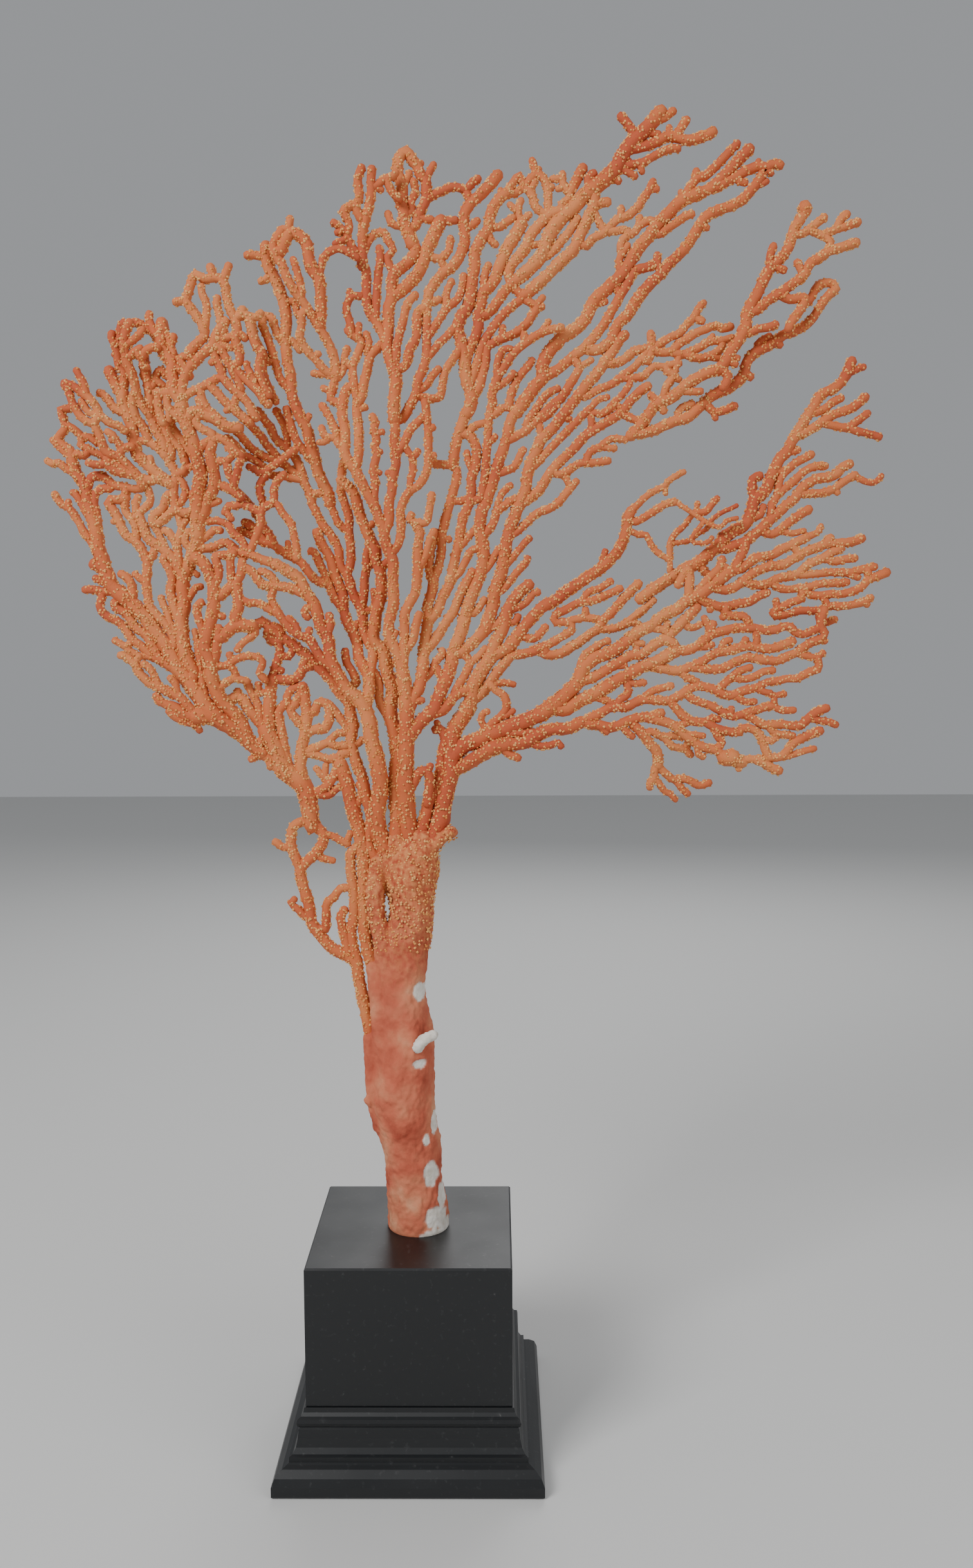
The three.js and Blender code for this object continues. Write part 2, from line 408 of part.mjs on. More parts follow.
1.9 1.8 : 19.5,414.5 23.5,418 26.5,423.5 29.5,428.5 33,429
1.9 1.8 : 24,430 28.5,435.5 31.5,438
2.1 2 : 29,452 33.5,452 35,458 36,464 36.5,471.5 37,477 37.5,483.5 38,490.5 40,497
1.7 1.6 : 37,477 41,480.5
1.7 1.7 ~ 20,451.5 24,451 28,452
2 1.8 ~ 40,490 43.5,493 47,493.5 50.5,491.5
2 1.9 : 47,494 48.5,500.5 51.5,507 55.5,511.5 58,515
@upper_right_centre_twigs centre_right_limb -7
2.1 1.9 : 39.5,495 39.5,500.5 42,507 46.5,513.5 50,518 54.5,521.5 60,525 65.5,527 71.5,528
1.8 1.7 : 41,506 42,514 45,519 48.5,519
1.7 1.6 : 41,502 46.5,505.5 49.5,509
1.7 1.7 ~ 53.5,526 54.5,522
1.6 1.5 : 61,526 65.5,531
@upper_centre_limb centre_right_limb 0
3 2.6 : 27,490 28.5,492 30,498 28,504 27,510.5 26.5,517 25,524 23.5,529 25.5,535 28.5,539 30,546.5
  30.5,553 31.5,557 31.5,563 34.5,569.5 38,574.5 38.5,579.5 40.5,584.5 43.5,588.5 48,591.5
2 2 ~ 46.5,590 49.5,595.5 52,598.5 53,596.5 54.5,593.5 56.5,591.5 58.5,588.5 59.5,584.5 63,581.5
  66.5,581.5
1.9 1.8 ~ 46.5,590 50,590.5 54.5,593
1.5 1.5 : 43.5,589 43.5,592
1.9 1.8 : 54.5,593.5 57,597 60,599.5 59,602 58,605.5
2.1 1.9 ~ 60,600 63.5,597 65,593 65.5,588.5 65.5,583.5 66.5,581.5
1.6 1.6 : 65,593 67.5,593.5
1.5 1.5 : 60,600 61.5,601.5
1.8 1.7 : 57,591 59.5,596.5
1.8 1.8 : 38,574 38.5,569.5 41.5,567
1.9 1.8 : 38.5,575.5 43,575 45.5,577 49.5,579.5
2.2 2 : 30,498 33,502 35,508.5 36.5,515 37,520.5 41.5,523.5 46.5,525.5 51.5,528 55.5,531.5 58,535.5
  60,539 54.5,542.5
1.6 1.6 : 60,539 63,539
1.6 1.6 : 43.5,524.5 44.5,530
1.6 1.6 : 60,540 63,543.5
@upper_inner_limb upper_centre_limb 0
2.3 3 : 27,514 30.5,523 33,529 33,535 34.5,540.5 35.5,545.5 40,550 42,555 44.5,561.5 47,566.5 50.5,572
  53.5,577.5
1.8 1.7 : 52.5,577 51.5,583 53,587.5
1.7 1.6 : 51.5,582 47.5,585.5
1.6 1.6 : 53.5,578.5 57,581
1.9 1.8 : 35.5,546 36,553 38,558
2.2 2.6 : 33,535 37,535.5 41.5,540.5 45.5,546.5 48,549 47,555 50,560 54.5,565 56.5,570 59.5,574.5 63,578
  66.5,581.5 69.5,582 71.5,583
1.7 1.6 : 55.5,567 61,567.5
2 2.1 : 48,549 53,543.5 48.5,539 44.5,535.5 39.5,529 35,522 33,515 29,503
2 1.8 : 71.5,583 71.5,585.5 75,588 75.5,590.5 73,593 72,595.5 72,599.5
1.7 1.7 : 72,597 67,597
1.6 1.5 : 72.5,593 69.5,592.5
2.2 2.4 : 75.5,591 78,595.5 80,600 81.5,602
2.8 2.7 ~ 53,543.5 55.5,545 60,549 65.5,554 71.5,560 77,565 79.5,570.5 82,576 84.5,581 86.5,585.5 86.5,590
2.1 1.9 : 79.5,568 83,566.5 85.5,570 90,572 93.5,575 97,578.5 101.5,580 105.5,583 108.5,587 111.5,591.5
  113.5,595.5
2.3 2.2 : 86.5,585.5 93,586.5
1.6 1.6 : 112,591.5 115.5,592
1.7 1.7 : 98.5,579 99,584
1.9 1.8 ~ 86,583.5 88.5,578 91.5,573
@top_right_limb upper_inner_limb 0
2.9 3.6 : 48,549 53.5,553.5 58.5,558 63,563.5 64.5,568.5 67.5,574.5 71.5,579.5 76.5,583.5 80.5,588
  84.5,591.5 88.5,594.5
3.6 3.2 : 88,594 93,598 96.5,601.5 98.5,605.5 101.5,610 104.5,613.5 108,616.5 111.5,620 114.5,623.5
  117,626
2 1.9 : 115,622.5 118,623 122.5,626
2.3 2.2 : 105,616 102,620.5 98.5,624.5
1.8 1.7 : 109,616.5 116,616
2.3 2.5 : 102.5,609.5 108,610.5 112,611.5 116.5,613.5 120,615 123.5,614.5 128,613 133,613.5 138,615
  140.5,616.5
1.7 1.6 : 120.5,615.5 120.5,619
2.1 2 : 123.5,615 126.5,619.5 128.5,622
2 1.9 : 97.5,602 104.5,603 108,603.5 112,605.5 117,608 121.5,609.5 125,609.5
1.7 1.6 : 107,603 108.5,599.5
1.8 1.7 : 97,601 101.5,600 105.5,597.5
1.5 1.5 : 101,603 102.5,605
1.8 1.7 : 92,597.5 95,597 98,595.5
2.2 2.1 : 84.5,593 83.5,597 86.5,599.5
2.1 2 : 62,561 66.5,563.5 71.5,569 75.5,574 79,579.5
@right_centre_limb centre_limb 0
3.4 3 : -1,340 3,346 7,350 11,353.5 13,358.5 15,363.5 17.5,369 19.5,375 20.5,381 22,385 24.5,391 26,397
3 2.8 : 25.5,394 28.5,405 31.5,412 33.5,418 35,424 35,430.5 33.5,436 33.5,442 34.5,447 36.5,450
2.7 2.4 : 36,448 38.5,456.5 40.5,463 42,468 44.5,475 46.5,481.5 48,488 51,492 54,496
2 2 ~ 15,369 13,373 11.5,375 13.5,378 15.5,380 15,382
1.9 1.9 : 12,374 9.5,371 5,366
2.6 2.3 ~ 9,351 15.5,353.5 18.5,357 22,361 25.5,362.5 29,364
2 2 ~ 21,362 25,368.5 27.5,373 28.5,376.5 25.5,379.5 22,380
1.8 1.7 : 28.5,376 32,378.5 36,383
2.6 3 : 20.5,379 26,382 30,385.5 33,388.5 35.5,391.5 37,396
2 1.8 : 42,463.5 46.5,465 50,467 52,471.5 54,474.5
2.1 1.9 : 45.5,478 53.5,482 58,485.5 61.5,488 65.5,490.5 69.5,495
1.9 1.8 : 55,486 58,490.5 61.5,495
1.9 1.8 : 34.5,418 38,422 41.5,428 44,430
2.2 2 : 34,434 39.5,440.5 41.5,446.5 45,449 49.5,452 52,451
1.7 1.6 : 41.5,448 43.5,454 48,458.5
1.8 1.7 : 30,399 32,400.5 35.5,406
2.2 2.1 : 60,486 65.5,493 71.5,498 75,503.5 78.5,509 80,511.5 77,515
1.6 1.5 : 80,512 85.5,515
1.9 1.8 : 60,493 62,496.5 66.5,500.5 70,502
@right_upper_limb right_centre_limb 0
3 2.9 : 50,490.5 55.5,498 59.5,503.5 63,507 62.5,512 64.5,517 68.5,522 72,525.5 77,528.5 82,533 84.5,538
  86.5,542 91.5,546.5 95.5,550 99.5,554 103.5,560 107,565.5 112,571.5 115.5,576 119.5,580 123,583.5
  126.5,586.5 131.5,588.5 135.5,590
1.7 1.6 : 85.5,540 92,541.5
1.9 1.8 : 99,553.5 98,560.5 102,567
1.9 1.8 : 98.5,565 99.5,569.5 103,572 105.5,573 107,576.5 107.5,579.5
1.9 1.8 ~ 107,575.5 112,578 115,576.5
1.9 1.8 ~ 103,572 100.5,574 97,573.5 91.5,573
1.8 1.8 ~ 96,549.5 98.5,544
2.1 1.9 : 127,587.5 130,592 133.5,596.5 137,597 140,599.5 143,602.5 146,605.5 149,608.5 151.5,611
2 1.9 : 116,571.5 120.5,574.5 124.5,577 128,579.5 131.5,580.5
1.9 1.9 : 133.5,595.5 133,599.5
1.6 1.6 : 127,588.5 126,590.5
@right_upper_second right_upper_limb 0
2.4 2.1 : 63,507 65.5,508 71.5,512 76.5,516.5 81.5,520 86.5,525.5 91.5,532 95.5,539 98.5,544 102,550
  105.5,555.5 110,556.5 115,558.5
@right_upper_tips right_upper_limb 0
2.4 2.2 : 134,589.5 140,591.5 143,592.5 148,595 153,597.5 157,599.5 161,600.5 165,600 168,601.5 171,600.5
2.4 2.6 : 138,591 141,593 145,596.5 149,600.5 153,604.5 157,608.5
1.6 1.6 : 160.5,600.5 161,603
1.6 1.6 : 164,599.5 167,597
1.8 1.7 : 151,596 152,594.5 155.5,593.5
@top_right_outer_limb right_upper_second 0
2.5 2.6 : 82,520 88.5,519.5 94.5,524 97,530.5 102,535.5 105,540.5 109,546
2.6 2.4 : 103,537 107,543 110,547 113.5,550.5 117,553.5 120.5,558 124.5,561.5 128,565 130.5,568.5
  133.5,573.5 136.5,578 140,580.5 145,582.5 150,584 155,587 158,590.5 161,594 163,597.5
1.7 1.6 : 135,574.5 138.5,574
1.7 1.6 : 161.5,592.5 165,594
2 1.9 ~ 117,554.5 115.5,558 115.5,562.5
1.9 1.9 ~ 163,597 164,599.5
@top_centre_twigs upper_centre_left 0
3 2.2 ~ 3.5,566 2,569 0.5,574 -1,577 -0.5,581 -2,585.5 -1.5,590 -1.5,593.5 -3.5,598 -3.5,600 -3,605
  0.5,608.5 3,605 5.5,602 7,598 9.5,595.5 9.5,590 9.5,587 7,582 5.5,579.5 5,575.5 1,573
1.8 1.7 : 9.5,595.5 10.5,598.5 13,603
1.5 1.5 : 6,602 7.5,603.5
2 1.9 : 9.5,587 14.5,590 18,591.5 21.5,593 25,592.5 27.5,591.5 30.5,595 33.5,597
1.9 1.9 ~ 27.5,591 29.5,586.5
1.8 1.7 : -1.5,592.5 0,594.5 2,599
1.9 1.8 : -0.5,579.5 3,581.5 2.5,585.5 4.5,590.5 3.5,595.5
1.7 1.7 ~ 3,581.5 5.5,579.5
1.9 1.8 : -0.5,575 -4.5,575 -7,577 -8,580.5
1.8 1.8 : 6,578.5 12,578
@left_lobe_limb left_limb -7
3.4 4.2 : -69,333 -73,336 -75.5,338.5 -79,342.5 -83,345.5 -87,348 -91,350.5 -95.5,351.5 -100,351.5
3 2 : -99,351.5 -104.5,352 -108.5,355.5 -112.5,357 -115.5,358.5 -117.5,361.5
1.9 1.8 : -105.5,353 -110,353.5 -112,354
2 1.8 : -111,354 -108.5,351 -104.5,349 -100,347.5 -98,344.5
2.4 2 : -97,351.5 -100.5,353.5 -103.5,357 -106.5,360.5 -110,362 -114.5,364.5 -118.5,366 -122,368.5
  -125,372 -126.5,375.5 -128.5,377.5 -131.5,379.5 -133.5,380
1.8 1.7 : -126.5,376.5 -124.5,379.5
1.9 1.8 : -115,365 -116.5,367 -118.5,371.5 -120.5,374.5 -123,376
1.8 1.7 : -107,361.5 -108.5,367 -111,369.5
2.2 1.8 : -70,334 -75.5,330.5
@left_lobe_inner left_lobe_limb -7
3.5 2.8 : -77,340.5 -80,349 -84.5,354.5 -88,358.5 -90.5,364.5 -92,370 -92,375 -93,378.5 -94.5,383.5
  -93.5,388.5 -92,394.5 -90.5,399.5 -90,406.5 -90,413 -91.5,416.5 -93,420 -95,423 -98,425
2 1.9 : -94.5,385.5 -95.5,392 -97,396.5 -98,402 -96.5,404 -95.5,404.5
2 1.8 : -88.5,359.5 -88.5,364.5 -85.5,367 -82,369 -78.5,368.5 -75.5,367.5
1.9 1.8 ~ -92,375 -88.5,375 -84.5,375 -81.5,377.5 -77,379 -73,379.5 -69.5,378.5 -68,376.5 -69,373.5
  -70,371.5 -67,368
1.8 1.7 ~ -83.5,375 -81.5,373 -80.5,370.5 -81.5,369
1.6 1.6 : -82.5,377 -83.5,380.5
2.5 2.1 : -92,377 -90,378 -89.5,382 -88.5,388 -88,393
2.8 3 : -88.5,387 -85.5,389 -83,391.5 -80,393.5 -75.5,393.5 -71.5,393
2.8 2.5 : -80,393 -80,399 -78.5,402 -79,408 -79.5,413
1.8 1.7 : -71,390 -75,387 -78,384.5 -80,382
1.7 1.6 : -90,399 -88.5,398.5 -85.5,397.5
2.4 2.1 : -90,406.5 -87,407 -83.5,410 -79.5,413.5 -77,418 -76.5,423.5
2.2 2 : -90,412 -87.5,416.5 -88,421.5 -88.5,425.5 -83.5,426 -80,427
2 1.9 ~ -81.5,412 -81.5,414 -82,420 -82,425.5
@left_lobe_outer left_lobe_limb 0
4.2 3.6 : -90,350.5 -94,354.5 -96.5,358 -98,360.5 -100.5,364 -103,367.5 -106.5,371.5 -109,375.5
  -111.5,379.5 -113,383.5 -116,387 -118.5,390.5 -121,394.5 -123.5,398 -128.5,403 -132,406.5
2.4 2.2 ~ -93.5,354 -95.5,359 -96.5,364.5 -97,371.5 -97.5,377 -98.5,382 -98.5,385 -94.5,385.5
1.8 1.6 : -98.5,384 -99.5,387 -100.5,391.5
2.6 2.2 : -110,374 -113,375.5 -117,378 -119,382 -121.5,387 -123.5,390 -125.5,391 -128.5,393.5 -130.5,397
  -133,400 -137,402 -137.5,405
1.8 1.7 : -123.5,389.5 -124,392
2.1 1.9 : -117,378 -119.5,378.5 -123,381.5 -126.5,385 -129.5,387 -131.5,390 -133.5,393 -136.5,396
  -140,397.5 -143,399.5 -144.5,403 -143.5,406.5 -143.5,409
1.9 1.8 ~ -119.5,378.5 -123,379.5 -126.5,379.5 -129.5,381 -132,383 -130.5,386
1.8 1.7 : -131.5,383.5 -133,384 -135.5,385.5 -138,387
@left_lobe_centre left_lobe_outer 0
3.4 3 : -103,367.5 -100.5,371.5 -102,374.5 -104.5,380 -105.5,385 -106,390 -106.5,395 -106,399 -105,403
  -105.5,408.5 -105.5,414.5 -103.5,419.5 -101.5,425 -100,429.5 -98,434.5
2.3 2.1 : -106.5,393 -108.5,399 -110.5,405.5 -111.5,410.5 -110.5,415 -112,420.5 -114.5,424.5 -113,427
2.2 2 : -105.5,416 -106.5,420.5 -107.5,425.5 -108,430.5 -110,434.5 -111.5,437 -114,438
1.9 1.8 : -108,430.5 -106.5,435.5 -105.5,439.5 -106.5,443 -107,445.5
1.8 1.7 : -106,439.5 -105,440.5 -103,443
2.2 1.9 : -100,428.5 -103.5,431.5 -104.5,434.5 -102,437.5
2.6 2.3 : -105.5,415.5 -107,419.5 -108.5,423 -110.5,425.5 -113.5,428.5 -118,431.5 -121.5,434.5
  -123.5,439.5 -125.5,445
1.9 1.8 ~ -113.5,430.5 -115.5,434.5 -117,438.5 -118.5,440
1.9 1.8 : -103,406 -102,408 -99.5,411.5 -97,412
1.9 1.7 : -106,382 -107.5,386.5 -110,391.5 -112,395.5 -113,400 -114.5,403 -116,407
1.6 1.5 : -100,418.5 -98.5,417
@left_outer_limb left_lobe_outer 0
3.9 2.4 : -131,405.5 -136.5,410 -139.5,413 -140.5,416.5 -142,420.5 -143,425 -144.5,428.5 -145,433
  -145.5,438 -147,443.5 -148.5,449.5 -149.5,455 -150.5,459.5 -153.5,463.5 -155,468 -156,471.5 -156,474.5
1.9 1.7 : -156,471.5 -159.5,474.5 -162,477 -164.5,479.5
2 1.9 ~ -156,471.5 -153.5,473 -150,472 -148,473.5
2.1 1.8 : -155,466 -155.5,464.5 -159.5,467 -162,469 -165,468.5 -167.5,470
2 1.9 : -156,474.5 -159.5,477 -162,480 -160.5,482 -158,484.5 -158.5,488 -159.5,491 -160,493 -155.5,493.5
  -152,494.5
1.8 1.8 ~ -158.5,486.5 -154.5,484.5 -151.5,482 -150.5,479.5 -151.5,477 -148.5,475.5 -144.5,473.5
  -140,471.5 -138,469.5
1.9 1.8 : -150.5,480.5 -146.5,480.5 -143.5,478 -140.5,478
2.1 1.9 : -144.5,439 -145,445 -146,450.5 -145,455 -142,457 -138,457
2.2 2 : -149,456 -148.5,458 -147,462 -142,463 -138.5,460.5 -136.5,458.5 -132,458 -128,457 -123.5,457
2 1.8 : -148.5,444 -150,446.5 -152,450.5 -154.5,454.5 -156,455.5
2 1.8 : -144.5,427 -146.5,430.5 -149.5,435 -152,438.5 -153,441 -155.5,445 -158,448.5 -160.5,449.5
  -163,452 -164.5,455
1.7 1.7 : -158,448.5 -158,451.5
3 3 : -142.5,420 -147,422.5
2.2 1.9 : -140.5,413 -143.5,414.5 -146.5,416
2.2 2 : -138,410 -143,409.5 -146.5,410.5 -151.5,410.5
2.4 2 : -129,406 -129.5,413 -132,416.5 -134.5,418
1.8 1.7 ~ -131.5,403.5 -131,398
@left_lobe_tall left_lobe_centre -7
3.5 2.9 : -98,434 -98,440 -98,445.5 -97,452 -96.5,456.5 -95,461.5 -95.5,466.5 -96.5,471.5 -97,475.5
  -98.5,480 -100,484.5 -101.5,488.5 -102.5,493
1.9 1.7 : -99,448 -99.5,455
1.6 1.6 : -96,466 -100,466
3 2.5 : -98,440 -94.5,446.5 -93,451.5 -90,455.5 -88.5,460 -89,465 -89.5,468.5 -90,472 -88.5,476.5
1.8 1.7 : -92,449.5 -87,451
2.2 2 : -88.5,459 -87,458 -83.5,457 -80,455 -76.5,452
2 1.8 : -80,455.5 -79.5,459 -78.5,461.5 -77,466.5 -75.5,469.5
2 1.8 : -79.5,459 -82,463.5 -83,468 -86.5,468.5
1.8 1.7 : -83,468 -79,471.5 -80.5,473.5 -82,474.5
1.8 1.7 : -89,465 -87.5,467
2.2 2 : -97,474 -94.5,474 -91.5,476.5 -88,478 -85,478.5 -81.5,476.5 -78.5,473 -75.5,470.5
2.1 2 : -88,478 -88.5,480.5 -92,482 -95.5,484.5 -96.5,486 -94,488.5
1.9 1.8 : -97,433 -93.5,435.5 -90,438 -87,437.5
1.8 1.7 : -96,442 -91.5,442 -88,442 -83.5,440.5
2.2 2 : -98.5,429 -95.5,429.5 -90.5,430 -87,432 -83,431.5 -80,428.5 -75.5,425.5
2.8 2.6 : -99.5,487 -96.5,490.5 -93.5,489.5 -89.5,488 -85.5,486.5 -81.5,483.5 -75.5,483
1.8 1.7 : -94,490 -93,493 -94.5,496
@left_inner_crown left_lobe_tall -7
2.4 2.2 : -102.5,493 -101,496.5 -101.5,500.5 -100,505.5 -98,509.5
2 1.9 : -101.5,496.5 -98,498.5 -93.5,500.5 -88.5,503 -84.5,505 -83,505.5
2 1.9 ~ -98,508 -101,511 -102,513.5 -98.5,514.5 -95.5,513
2.4 2.2 : -98,509 -93.5,513.5 -90,516.5 -87,518.5 -86.5,520.5 -85.5,523 -83,527 -80.5,530
2.3 2.2 : -98.5,514.5 -95.5,518.5 -92,521.5 -90,524
2.2 2 : -90,524 -92,529.5 -94.5,533 -97,536.5 -98.5,538.5 -97,542 -95.5,546.5 -93.5,550 -89.5,548
  -85.5,548.5 -83,548.5 -80.5,545.5 -80,540.5 -78.5,535 -76.5,530.5
2 2 : -98.5,538.5 -103,538
2 2 : -85.5,548.5 -87,553.5
2 1.9 : -81,548.5 -78.5,554
1.9 1.8 : -90,525 -89.5,530 -89,535 -89.5,538.5 -91,542 -91,545
1.9 1.8 : -83,527.5 -83.5,533.5 -84.5,537 -84,540
1.9 1.8 ~ -84.5,521.5 -81.5,525.5 -81.5,528
1.8 1.7 : -83.5,521.5 -78.5,523 -74.5,524.5 -72,522
1.7 1.6 : -83,519.5 -78,518
2 2 : -85.5,519.5 -86.5,516.5 -85,512 -83,508 -83,505.5
1.7 1.7 : -85.5,513.5 -88,511.5
2.2 2 : -85,519.5 -82,515.5 -80,511.5 -78.5,509.5
2.2 2.1 : -76.5,530.5 -75.5,526.5 -76.5,521.5 -75,516.5 -75,512 -78,510
2.3 2.1 : -76.5,530.5 -73,533 -70.5,532 -69.5,528 -68.5,523 -67,518.5 -64.5,516.5
2.2 2.2 : -73,533 -73,535
2 1.9 : -69.5,531.5 -66.5,531.5 -64.5,533.5
2.2 2.1 : -83,505.5 -79.5,501.5 -75.5,498 -72,494.5 -70,490.5 -68,487
1.9 1.9 : -78.5,508.5 -75.5,503 -74.5,499.5
2 1.9 : -77,509.5 -73.5,505.5 -69.5,501.5 -66.5,498.5 -64.5,495 -62,493
1.8 1.7 : -68,501.5 -69.5,505.5 -71.5,509.5 -72,511.5
2 1.9 : -65.5,513.5 -66.5,508 -64.5,502 -62,497
2 1.9 : -93,498.5 -91.5,493.5 -88,489.5 -84.5,486
2.1 2 : -88.5,501.5 -85,498 -82,494.5 -78.5,491.5 -74.5,488 -70.5,485
1.7 1.7 : -78.5,492 -77,496.5
1.6 1.6 : -80.5,491.5 -82,490.5
1.9 1.8 : -70,508 -68,501.5 -64,495.5
@left_lobe_net left_lobe_tall 0
2.3 2.1 : -98,445 -100.5,446.5 -103.5,445.5 -107,447 -109.5,446.5 -113,443.5 -115.5,441.5 -118.5,440.5
  -119,443 -118,445 -114.5,447 -113,449.5 -112,453 -110.5,454.5
2.1 2 : -108,447.5 -108.5,452 -108.5,456.5 -108,459.5 -107,462 -108,465.5 -110,468.5 -111.5,471.5
  -114.5,474.5 -117,476.5 -120.5,478.5 -125,478.5
1.9 1.8 ~ -107,449 -103.5,453 -103,456.5 -104.5,460 -106.5,462
2.1 2 : -107,463.5 -103.5,464.5 -102,466.5 -103.5,471.5 -104.5,475 -106.5,477 -108.5,480.5 -109.5,485
  -108,488
1.9 2 : -108,484.5 -105.5,480.5 -103,478 -100.5,473.5 -97.5,470
2.2 2 : -109,471 -109.5,476.5 -110.5,480.5 -113,485.5 -114.5,490.5 -113,494
2.8 2.4 : -111.5,471.5 -112,475 -113.5,480 -115.5,483.5 -117,488 -118,491.5 -117.5,495.5 -118,500.5
  -118.5,504.5 -119.5,508 -120,513 -120,516.5
2 1.9 : -117.5,501 -115,505 -114.5,508 -112,510 -109.5,507 -107,506.5
1.9 1.8 : -114.5,505.5 -111.5,503 -109.5,500
@left_lobe_head left_lobe_net 0
2.6 3 : -108.5,458 -112,460.5 -115,463 -119,466.5 -122,469.5 -125,472.5 -126.5,480.5 -127,485.5
  -128.5,490 -130.5,496 -130.5,500.5
2.4 2 : -130.5,500 -129.5,504.5 -129.5,509.5 -131.5,511.5 -132,516.5 -133,521.5 -134.5,524.5 -134,526.5
2.6 2.6 : -131,498 -133.5,503.5 -135.5,508 -136.5,510.5
2.1 1.9 : -130,491 -135,493.5 -138,498 -141.5,500.5
2 1.9 : -132.5,519.5 -130.5,524.5 -130,529.5 -128.5,531 -125,530.5 -122,531 -118.5,528.5 -115.5,526.5
  -113.5,523.5 -111.5,520.5
1.8 1.8 ~ -131,512 -128,513 -126.5,513
1.5 1.5 : -132,516.5 -134,517
1.9 1.8 : -116.5,463 -118.5,467 -119,471
@left_outer_net left_lobe_net -7
2.4 2.2 : -108.5,458.5 -112,460 -115,461.5 -118.5,460.5 -123.5,461.5 -126.5,463 -130.5,463.5 -135,465
  -138,468
2.2 2 : -123,457 -123.5,461 -126.5,464.5 -129.5,468 -132,470.5 -130.5,474.5 -126,475.5
2 1.9 : -129.5,464.5 -133.5,467 -136.5,468.5 -138.5,470
2 1.8 : -138,468 -142,467 -146.5,468
2.2 2 : -132,471 -135,471.5 -138,473 -139.5,476.5 -140.5,480.5 -142.5,485 -140,489.5 -141.5,493
  -144.5,497 -147,498.5 -150.5,501.5 -155.5,503.5
2 1.9 : -142.5,485 -145,486 -148,488 -150.5,491.5 -152,494.5 -153.5,500 -155.5,503
1.9 1.8 : -139.5,489.5 -135,485.5 -131.5,484.5 -128.5,482
1.9 1.8 : -130.5,474.5 -133.5,478.5 -134.5,480.5 -137,482
1.6 1.6 : -134,479 -135.5,478
1.8 1.7 : -145,498 -146.5,503.5 -148.5,507 -149.5,509
1.8 1.7 : -140.5,489.5 -144.5,490 -146.5,493 -148,495.5
@left_lobe_tip left_lobe_tall 0
2.9 2.9 : -102.5,491 -101.5,493 -103,496.5 -105.5,499.5 -105.5,504.5 -106.5,508.5 -105.5,511.5
  -108,514.5 -110,517 -111.5,520.5 -111.5,524.5 -110.5,528.5 -111,531
2.3 2 : -105,499 -109.5,498.5 -114,499
2 1.9 : -112.5,498 -113,493.5 -112,489.5 -110.5,485
1.9 1.8 : -108.5,497.5 -108.5,493 -105.5,489.5 -103,487
1.6 1.5 : -108,491 -108,486.5
2.4 2.2 : -105.5,511 -103,509.5 -100.5,508 -98,506
2 1.8 : -105,512 -105.5,516.5 -107,520.5 -108,523.5 -109,525.5
2 1.9 : -107,520 -105.5,524.5
2.2 1.8 : -113,523.5 -115.5,528.5 -117,533 -116.5,535
@left_lobe_crown left_lobe_net -7
2.2 2.1 : -119.5,478.5 -120,480.5 -122,485.5 -124.5,488.5 -125.5,493 -125,498 -123.5,500.5 -124,504.5
  -125,508.5 -126.5,512 -127,516.5 -127,521.5 -125.5,526.5 -123.5,529.5
1.9 1.8 : -126.5,519.5 -123,521.5 -119.5,524.5 -118,526.5
1.9 1.8 : -126,513.5 -123,516.5 -119.5,518.5
2 2.2 : -123.5,500.5 -123,498 -121.5,494.5 -118.5,490.5 -117.5,489
2 1.9 : -119.5,513.5 -118,517 -114.5,518.5 -111.5,518.5
1.6 1.6 : -119.5,510 -117,510.5
@right_inner_limb right_centre_limb 0
3.1 2.9 : 36,391 37.5,397 39.5,403 40.5,410.5 43,417 44.5,423.5 45.5,430.5 47,437 49.5,443.5 51.5,449
2.8 2.4 : 51,447 54.5,455.5 55.5,462 57,468 60,474 62,479 66.5,483 70.5,488 75,493.5 79,498.5 83,503.5
  88,509 91.5,514 95,519 98,524 101,526.5
2 1.8 : 58.5,466.5 63.5,472 69.5,478 75,483.5 80,488.5 85,493
2.4 2.2 : 51.5,449.5 58,453 62,457 65.5,463 70.5,468.5 76.5,474 82,480 87,483.5 93,487 98.5,490.5
  103.5,496.5 107,500 111.5,503
1.8 1.7 ~ 85.5,484 85.5,490.5 90.5,490.5 97,494
2 1.8 : 69.5,463 73.5,464 80,468 85,468 93.5,469
1.8 1.7 : 83,469 84.5,473 89.5,475.5 94.5,479 101.5,478.5
1.6 1.5 : 89.5,475 96.5,474.5
1.8 1.8 : 73,463 75,458.5 77,458 78.5,460
2 1.9 ~ 77,458 73.5,454 70.5,450.5 65.5,447 60.5,445.5 55,440.5 50.5,436.5 47,435
1.8 1.7 : 45,421 50.5,427 54.5,432 57,434
1.8 1.7 : 62,481 61,486
1.7 1.6 : 71,489 75.5,488
1.9 1.8 ~ 99,490 102,489 108,487 112,490.5 116.5,494
1.9 1.8 : 42,409 45.5,411.5 50.5,418 54.5,422 56,425
1.9 1.8 : 82,498 88.5,501.5 95,504 100,508 105.5,512 109.5,517 113.5,521
1.6 1.5 : 84.5,493 88,496.5 93,498
1.8 1.7 : 100,506.5 108.5,507 111.5,509.5 114.5,512 118.5,511.5 122,512.5 126,513
1.6 1.6 : 103,504 100.5,500 95.5,495 91.5,490.5
2.2 2 : 111,514 113,520.5 112.5,527
2 1.9 : 120,509.5 123.5,507.5 121.5,505 119.5,501.5 118.5,497 116.5,494.5
@upper_right_twigs right_inner_limb 0
2.2 2 : 91,513 98.5,514 105,519
